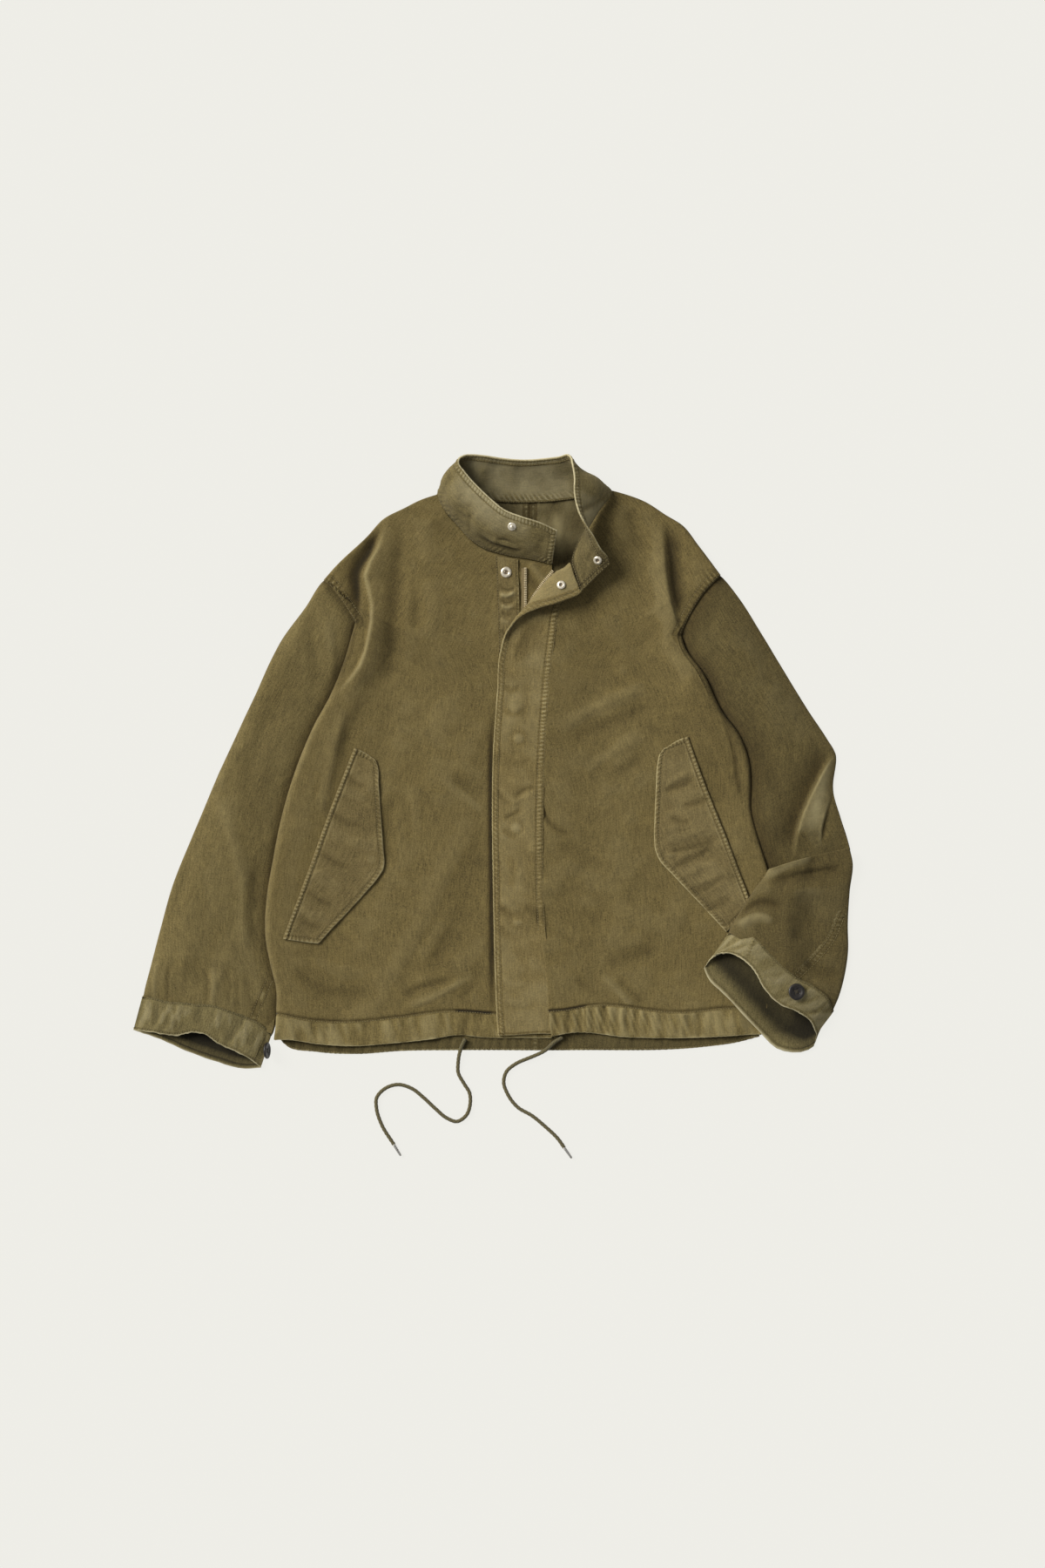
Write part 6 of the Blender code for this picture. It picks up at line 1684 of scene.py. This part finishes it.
FLY_FLAP = [
    [(69, -328, 8.7), (53, -328, 8.7), (37.5, -329, 8.7), (21.5, -330, 8.7), (7, -330, 8.7)],
    [(66, -300, 8.7), (50, -301, 8.7), (35, -302, 8.7), (20.5, -302, 8.7), (5, -303, 8.7)],
    [(64, -263, 8.7), (49, -265, 8.7), (34, -266, 8.7), (18.5, -267, 8.7), (3.5, -268.5, 8.7)],
    [(55.5, -195, 8.7), (42.5, -195, 8.7), (29, -195, 8.7), (15, -195, 8.7), (1.5, -195, 8.7)],
    [(53.5, -132, 8.7), (40.5, -132, 8.7), (27, -132, 8.7), (13, -132, 8.7), (0.5, -132, 8.7)],
    [(53.5, -58.5, 8.7), (40.5, -58.5, 8.7), (27, -58.5, 8.7), (13, -58.5, 8.7), (-0.5, -58.5, 8.7)],
    [(56.5, 25.5, 8.7), (43.5, 25.5, 8.7), (30, 25.5, 8.7), (16.5, 25.5, 8.7), (1.5, 25.5, 8.7)],
    [(61, 88.5, 8.7), (48, 88.5, 8.8), (34, 88.5, 9.0), (19.5, 88.5, 9.0), (6, 88.5, 8.7)],
    [(66, 136, 8.7), (49, 130.5, 10.2), (32, 128.5, 10.6), (19.5, 127.5, 10.6), (9, 129.5, 11.6)],
    [(69, 160, 8.7), (50, 154, 10.2), (32, 151.5, 11.2), (18.5, 153, 13.0), (19.5, 157, 17.0)],
    [(72, 178.5, 8.8), (55, 174, 10.0), (36, 172.5, 11.5), (30, 172.5, 16.0), (38.5, 177, 19.0)],
    [(78, 192.5, 9.0), (64.5, 191.5, 10.5), (48, 193.5, 12.5), (50, 190.5, 18.5), (59.5, 185.5, 21.0)],
    [(84.5, 204.5, 9.6), (75, 207.5, 11.0), (62.5, 212.5, 14.0), (67.5, 204, 20.5), (77, 190.5, 22.0)],
    [(90, 215, 10.6), (85.5, 220, 12.0), (78, 227.5, 16.0), (83.5, 214.5, 22.5), (92, 196, 23.0)],
    [(92.5, 222.5, 11.6), (94, 227.5, 14.5), (91, 234.5, 19.0), (95, 219, 23.0), (103.5, 201, 23.5)],
    [(95, 224, 12.4), (96.5, 230, 15.2), (95, 238, 20.0), (99.5, 222, 23.0), (107, 204, 23.6)],
]
FLY_OVERLAP = 8.0
FLY_BAND_END = -203.0         # below this the flap runs on into the front
FLY_SNAPS = [(29.0, 130.5), (31.5, 28.0), (28.5, -79.0), (30.0, -191.5)]
FLY_FOLDS = [
    # a painted shadow on the flap below the curled lip, with no height of its own
    (0.0, 10, 2, [(91, 204), (67.5, 183), (49, 169.5), (34, 147.5), (23.5, 115)], -0.7),
    (-1.4, 2.6, 2.6, [(25.5, -45.5), (36, -35), (55, -30)], -0.5),
    (-1.3, 2.4, 2.4, [(12, -69), (23.5, -64.5), (36, -57)], -0.45),
    (-1.1, 2.6, 2.6, [(7, -35), (13, -45.5), (25.5, -54)], -0.3),
    (1.1, 3.0, 3.5, [(9, -29), (19.5, -41.5), (32, -52)]),
    (1.0, 3.5, 3.5, [(19.5, -54), (34, -45.5), (53, -39.5)]),
    (-0.9, 3.0, 3.0, [(11, -79.5), (19.5, -87.5), (30, -92)], -0.2),
    (0.9, 4, 4, [(7, -161), (19.5, -174), (34, -182)]),
    (-1.2, 3, 4, [(7, -174), (21.5, -184.5), (38.5, -190.5)], -0.3),
    (-1.3, 5, 5, [(38.5, -174), (50, -181), (59.5, -192.5)], -0.35),
    (-0.8, 3, 3, [(9, -197), (15, -205.5), (23.5, -211.5)], -0.2),
    (-0.8, 5, 6, [(38.5, 120), (42.5, 78), (36, 38.5)]),
    (0.9, 6, 6, [(23.5, 104.5), (28, 72), (21.5, 36)]),
    (-0.9, 3, 4, [(13, 93), (21.5, 86.5), (34, 91)], -0.2),
    (-0.9, 3, 4, [(11, 65.5), (25.5, 57), (42.5, 65.5)], -0.2),
    (-0.9, 3, 4, [(15, 7), (28, -1.5), (49, 4.5)], -0.2),
    (0.8, 5, 5, [(34, -6), (42.5, -27), (40.5, -90)]),
    (-0.8, 5, 6, [(19.5, -111), (25.5, -132), (21.5, -157)], -0.1),
    (-0.7, 4, 5, [(25.5, -221), (42.5, -247.5), (36, -279)]),
    (0.8, 4, 4, [(9, -258), (23.5, -268.5), (46.5, -266)]),
    (-0.7, 3, 4, [(8, -289.5), (28, -297.5), (57, -293.5)]),
]
FLY_BAND_ROWS = (1.2, 9.0)
FLY_EDGE_ROWS = (1.8, 7.2)


def pressed(x, y, place, dome, ring):
    """The round of a hidden snap under the cloth, and the low ring about it."""
    away = np.hypot(x - place[0], y - place[1])
    return dome * bell(away, 5.5, 4) - ring * bell(away - 8.5, 2.6)


down = spacing(620.0, 1.95, fine=1.4)
across = spacing(62.0, 1.75, fine=1.0, reach=9.0)
table = np.array(FLY_FLAP, float)
table[:, 0, 0] += FLY_OVERLAP
table[:, 0, 2] += np.where(table[:, 0, 1] > FLY_BAND_END, 0.9, 0.15)
lines = np.stack([smooth(table[:, k], down) for k in range(table.shape[1])], axis=1)
grid = np.stack([smooth(line, across) for line in lines])
x, y = grid[..., 0], grid[..., 1]
flat = ease((110.0 - y) / 30.0)
height, tone = folds(x, y, FLY_FOLDS)
height = height * flat + 0.65 * drift(0.7 * x, y, 16.0, 440) + 0.32 * drift(0.6 * x, y + 0.3 * x, 7.0, 441)
# paler on crests and darker in hollows: painted light and shade
tone = tone * ease((175.0 - y) / 30.0) + 0.16 * np.clip(height, -1.5, 0.4)
tone = tone + 0.12 * drift(x, y, 45.0, 442) + 0.1
for place in FLY_SNAPS:
    bump = pressed(x, y, place, 0.95, 0.35)
    height, tone = height + bump * flat, tone + 0.25 * bump * flat
grid[..., 2] += np.where(flat > 0.5, height, 0.0)
grid = grid + outward(grid) * (height * (flat <= 0.5))[..., None]
band = ease((y - FLY_BAND_END) / 9.0)
grid, tone = sew_edge(grid, tone, "first_column", FLY_BAND_ROWS, 443, share=band, pitch=4.7, pucker=0.75,
                      sink=0.7, worn=0.1, lean=0.1)
grid, tone = sew_edge(grid, tone, "last_column", FLY_EDGE_ROWS, 447, pitch=5.7, pucker=0.6, sink=0.5,
                      worn=0.8, lean=0.7)
grid, tone = sew_edge(grid, tone, "first_row", (2.0,), 449, pitch=6.0, pucker=0.2, sink=0.3, worn=0.8)
olive_fly = twill("olive_twill_fly", colour=(122, 107, 69))
fly = belong(cloth_piece("fly_flap_twill", grid, DOUBLE_PLY, olive_fly, tone, both=0.7, inner_face_light=0.2), "twill",
             "fly_flap")
under = grid - outward(grid) * DOUBLE_PLY
lines = [inset(grid, "last_column", distance) for distance in FLY_EDGE_ROWS]
for distance in reversed(FLY_BAND_ROWS):
    points, normals = inset(grid, "first_column", distance)
    above = points[:, 1] > FLY_BAND_END
    lines.insert(0, (points[above], normals[above]))
curl = np.linspace(0.0, 1.0, len(grid)) > 0.72
for distance in FLY_EDGE_ROWS:
    points, normals = inset(under[curl], "last_column", distance)
    lines.append((points, -normals))
sew("fly_stitches", lines, 19)
fly_grid = grid

# ---------------------------------------------------------------- pocket flaps
# Slanting flaps of doubled twill, set into a roped welt along the pocket mouth.  Their free
# edges are top-stitched and rubbed pale; one snap presses through each.

FLAP_AIR = 0.6
FLAPS = {
    "right": {"sewn": [(-166.5, 17.5), (-195, -56), (-223, -134), (-252.5, -213.5)],
              "top": [(-166.5, 17.5), (-153, 10.5), (-141, 2.5)],
              "free": [(-141, 2.5), (-138.5, -4), (-137, -27), (-134, -69), (-131, -109), (-130, -121),
                       (-132, -130.5), (-138, -140), (-153, -158), (-174, -181), (-195, -203),
                       (-209.5, -219.5)],
              "end": [(-252.5, -213.5), (-233.5, -216.5), (-209.5, -219.5)], "snap": (-145.5, -118.0)},
    "left": {"sewn": [(235.5, 31), (256.5, -27), (284, -96), (313.5, -174)],
             "top": [(235.5, 31), (221, 24.5), (207.5, 16)],
             "free": [(207.5, 16), (201.5, 9), (199, -1.5), (197, -32), (195.5, -69), (195, -96),
                      (196.5, -107.5), (201, -118), (217, -136), (246, -166.5), (282, -205.5)],
             "end": [(313.5, -174), (298.5, -190.5), (282, -205.5)], "snap": (215.5, -109.5)},
}
FLAP_ROW = 6.0
WELT = 5.2                    # the roped band that the flap is sewn down in
FLAP_FOLDS = {
    "right": [(-1.0, 3, 4, [(-176, -14), (-163.5, -27), (-148.5, -31)], -0.2),
              (0.9, 4, 4, [(-184.5, -27), (-169.5, -39.5), (-148.5, -45.5)]),
              (-1.1, 4, 4, [(-195, -58.5), (-178, -73), (-153, -77)], -0.2),
              (1.0, 5, 5, [(-199, -77), (-178, -92), (-150.5, -98)]),
              (-1.0, 4, 4, [(-209.5, -106.5), (-190.5, -121.5), (-169.5, -127.5)], -0.2),
              (1.0, 5, 5, [(-213.5, -127.5), (-199, -144.5), (-178, -153)]),
              (-1.0, 4, 4, [(-226.5, -153), (-207.5, -167.5), (-188.5, -174)], -0.2),
              (-0.9, 4, 4, [(-234.5, -184.5), (-220, -197), (-205.5, -199)], -0.2),
              (0.9, 4, 4, [(-230.5, -169.5), (-218, -184.5), (-199, -186.5)])],
    "left": [(-1.2, 3, 4, [(206.5, -36), (223, -30), (244, -19.5)], -0.3),
             (0.9, 4, 4, [(208.5, -27), (225, -19.5), (240, -10)]),
             (-1.1, 3, 4, [(227.5, -53), (244, -50), (263, -42.5)], -0.25),
             (-1.2, 4, 4, [(202, -108.5), (231.5, -104.5), (273.5, -92)], -0.25),
             (1.0, 5, 5, [(206.5, -94), (233.5, -90), (263, -77)]),
             (-1.2, 4, 4, [(214.5, -129.5), (240, -117), (269.5, -98)], -0.3),
             (1.0, 5, 5, [(221, -140), (246, -129.5), (277.5, -119)]),
             (-1.0, 4, 4, [(235.5, -159), (254.5, -153), (284, -136)], -0.2),
             (-0.9, 4, 4, [(252.5, -180), (267, -174), (290.5, -163.5)], -0.2),
             (-0.8, 3, 3, [(212.5, -64.5), (227.5, -73), (242, -71)], -0.2)],
}
for label, lines in FLAPS.items():
    down = spacing(235.0, 1.4, fine=1.1)
    across = spacing(70.0, 1.5, fine=0.9)
    plan = patch(smooth(lines["sewn"], down), smooth(lines["free"], down), smooth(lines["top"], across),
                 smooth(lines["end"], across), down, across)
    x, y = plan[..., 0], plan[..., 1]
    base = front_height(label, x, y)
    height = np.maximum(evened(base, 12), base) + FLAP_AIR + DOUBLE_PLY
    creases, rub_and_painted_light = folds(x, y, FLAP_FOLDS[label])
    own = 1.3 * creases + 0.8 * drift(0.6 * x, y, 22.0, 460) + 0.4 * drift(0.6 * x, y, 9.0, 461)
    bump = pressed(x, y, lines["snap"], 0.8, 0.3)
    grid = raised(plan, height + np.maximum(own, -0.5) + bump)
    # darker in the creases' hollows and a little paler on crests: painted light and shade
    tone = 1.4 * rub_and_painted_light + 0.18 * np.clip(own, -1.8, 0.3) + 0.15 * bump
    sewn, free = edge_run(grid, 1), edge_run(grid, 1, True)
    ends, along = from_ends(grid, 0), edge_run(grid, 0)
    edge = np.minimum(free, ends)
    relief, marks = stitched(edge, np.where(free <= ends, along, sewn + 3.0), (FLAP_ROW,), 463, pitch=5.4,
                             pucker=0.4, sink=0.6, worn=1.1)
    welt, welt_marks = stitched(sewn, along, (WELT,), 465, pitch=4.7, pucker=0.7, sink=0.9, worn=0.1,
                                lean=0.1)
    swell = 0.6 * bell(sewn - 3.5, 2.4)
    keep = ease(sewn / 9.0)
    grid[..., 2] += relief * keep + welt + swell
    tone = tone + marks * keep + welt_marks + 0.25 * bell(sewn - 2.8, 1.6)
    tone = tone + 0.22 * bell(sewn - 7.4, 1.2)
    olive_flap = twill(f"olive_twill_flap_{label}", colour=(118, 104, 69))
    piece = belong(cloth_piece(f"pocket_flap_{label}_twill", grid, DOUBLE_PLY, olive_flap, tone), "twill",
                   f"pocket_flap_{label}")
    sew(f"pocket_flap_{label}_stitches",
        [inset(grid, "last_column", FLAP_ROW, trim=(6, 6)), inset(grid, "first_column", WELT, trim=(3, 3)),
         inset(grid, "first_row", FLAP_ROW, trim=(9, 8)), inset(grid, "last_row", FLAP_ROW, trim=(9, 8))], 21)

# ---------------------------------------------------------------- snaps and buttons
# Capless ring snaps of worn nickel: posts on the right side, sockets on the left.  Each cuff has
# one four-hole button of dark horn-look resin, sewn on with a cross of thread.

SNAP_POST = [(0.0, 0.9), (1.1, 0.95), (1.5, 1.25), (1.8, 1.25), (2.1, 0.9), (2.5, 0.75), (2.9, 1.0),
             (3.2, 1.6), (3.7, 2.0), (4.6, 2.05), (5.6, 1.8), (6.3, 1.35), (6.6, 0.8), (6.6, 0.3), (6.4, 0.0),
             (0.0, 0.0)]
SNAP_STUD = [(0.0, 4.2), (0.7, 4.15), (1.3, 3.95), (1.8, 3.5), (2.1, 2.9), (2.0, 2.3), (1.7, 1.8),
             (1.7, 1.45), (2.6, 1.35), (3.6, 1.3), (4.6, 1.1), (5.1, 0.8), (5.2, 0.4), (5.0, 0.0), (0.0, 0.0)]
SNAP_SOCKET = [(0.0, 0.5), (1.2, 0.5), (1.6, 0.6), (1.8, 1.0), (2.1, 1.5), (2.7, 1.8), (3.5, 1.8),
               (4.2, 1.55), (4.8, 1.2), (5.2, 0.8), (5.2, 0.4), (5.0, 0.0), (0.0, 0.0)]
WORN_NICKEL = (0.86, 0.79, 0.64, 1.0)
BUTTON_WIDE, BUTTON_THICK = 20.0, 3.4
HORN = (17, 14, 13)
SLOPE_OVER = 3                # grid points each way that give a seat its slope


def seat(grid, x, y, lift, first, last, inner=0.0):
    """The place and the upward normal of a surface where it passes under a place in plan.

    Only its rows between two shares are looked at, and its columns beyond a share."""
    rows, columns = grid.shape[:2]
    above, skip = int(first * rows) + 1, int(inner * columns) + 1
    part = grid[above:int(last * rows) - 1, skip:-1]
    row, column = np.unravel_index(np.argmin(np.hypot(part[..., 0] - x, part[..., 1] - y)), part.shape[:2])
    row, column = row + above, column + skip
    down = grid[min(row + SLOPE_OVER, rows - 1), column] - grid[row - SLOPE_OVER, column]
    across = grid[row, min(column + SLOPE_OVER, columns - 1)] - grid[row, max(column - SLOPE_OVER, 0)]
    up = unit(np.cross(down, across))
    up = up if up[2] > 0 else -up
    return grid[row, column] + up * lift, up


worn_nickel = metal("worn_nickel", WORN_NICKEL, 0.32, tarnish=(0.22, 0.17, 0.11, 1.0), shine=0.6)
for name, profile, dull_within, place in (
        ("snap_placket_post", SNAP_POST, 2.9, seat(placket_grid, 17, 228.5, 0.1, 0.0, 0.5)),
        ("snap_collar_stud", SNAP_STUD, 0.0, seat(collar_grid, 24, 282, COLLAR_PLY / 2, 0.02, 0.34)),
        ("snap_collar_socket", SNAP_SOCKET, 2.6, seat(collar_grid, 126.5, 242, COLLAR_PLY / 2, 0.8, 1.0)),
        ("snap_fly_socket", SNAP_SOCKET, 2.4,
         seat(fly_grid, 83.5, 211.5, DOUBLE_PLY + 0.15, 0.8, 1.0, 0.5))):
    points, faces = turned(profile, 48)
    dull = ease((dull_within - np.hypot(points[:, 0], points[:, 1])) / 0.6)
    snap = new_piece(name + "_pressed", set_at(points, *place), faces, worn_nickel, tone=dull)
    belong(snap, "snap_metal", name)


def horn_look():
    """Polished dark resin with faint brown streaks."""
    look, tree, shader = new_look("horn_resin", Coat_Weight=0.15, Coat_Roughness=0.2)
    veins = noise(tree, mapped(tree, in_place(tree), (160.0, 620.0, 160.0)), 1.0, 4.0, Distortion=1.2)
    paint(tree, shader, blend(tree, ranged(tree, veins, 0.35, 0.75), srgb(*HORN), srgb(46, 39, 34)),
          rough=ranged(tree, veins, 0.0, 1.0, 0.42, 0.6))
    return look


horn_resin = horn_look()
dark_thread = thread_look("dark_thread", (66, 58, 42))
BUTTON_PROFILE = [(0.0, 2.3), (3.6, 2.3), (5.2, 2.35), (6.1, 2.7), (6.8, 3.2), (7.6, BUTTON_THICK),
                  (8.7, BUTTON_THICK), (9.5, 3.1), (BUTTON_WIDE / 2, 2.4), (9.9, 1.5), (9.2, 0.7), (7.5, 0.1),
                  (5.0, 0.0), (0.0, 0.0)]
HOLE_OUT, HOLE_WIDE = 2.1, 1.0
THREAD_ROUND, THREAD_APART, THREAD_AROUND = 0.33, 0.32, 8
THREAD_LOW, THREAD_RISE, THREAD_SUNK = 1.75, 0.75, 1.6


def four_hole_button(name, place, up):
    """A turned button with its holes drilled, and its cross of thread."""
    points, faces = turned(BUTTON_PROFILE, 64)
    blank = new_piece(name + "_blank", points, faces, horn_resin)
    drills = []
    for across, along in ((-1, -1), (-1, 1), (1, -1), (1, 1)):
        rod, rod_faces = turned([(0.0, 4.0), (HOLE_WIDE, 4.0), (HOLE_WIDE, -1.0), (0.0, -1.0)], 20)
        drill = new_piece(name + "_drill", rod + (across * HOLE_OUT, along * HOLE_OUT, 0.0), rod_faces,
                          horn_resin)
        cut = blank.modifiers.new("hole", "BOOLEAN")
        cut.operation = "DIFFERENCE"
        cut.object = drill
        drills.append(drill)
    bpy.context.view_layer.update()
    made = evaluated(blank, name + "_resin")
    for drill in drills:
        bpy.data.objects.remove(drill)
    turn = Vector(up).to_track_quat("Z", "Y").to_matrix().to_4x4()
    made.data.transform(Matrix.Translation(Vector(place) * MM) @ turn)
    belong(made, "button", name)
    rods, rod_faces = [], []
    share = np.linspace(-1.0, 1.0, 13)
    arch = THREAD_LOW + THREAD_RISE * (1 - np.abs(share)**6)
    for run in (np.array([1, 1]) * HOLE_OUT, np.array([1, -1]) * HOLE_OUT):
        for shift in (-THREAD_APART, THREAD_APART):
            side = unit(np.array([-run[1], run[0]])) * shift
            line = np.stack([run[0] * share + side[0], run[1] * share + side[1], arch], axis=1)
            line = np.concatenate([line[:1] - (0, 0, THREAD_SUNK), line, line[-1:] - (0, 0, THREAD_SUNK)])
            line = set_at(line, place, up)
            start = len(rods) * len(line) * THREAD_AROUND
            rods.append(round_line(line, up, THREAD_ROUND, THREAD_AROUND)[0].reshape(-1, 3))
            rod_faces += ring_faces(len(line), THREAD_AROUND, start)
            rod_faces += end_faces(len(line), THREAD_AROUND, start)
    belong(new_piece(name + "_thread", np.concatenate(rods), rod_faces, dark_thread), "button")


cuff_top = cuffs["left"][0][:, 2:len(RING_TOP) - 2]
four_hole_button("button_left", *seat(cuff_top, 365, -276.5, 1.0, 0.0, 1.0))
tilt = math.radians(72.0)
four_hole_button("button_right", (-273.5, -348, 10.6), (math.sin(tilt), 0.0, math.cos(tilt)))
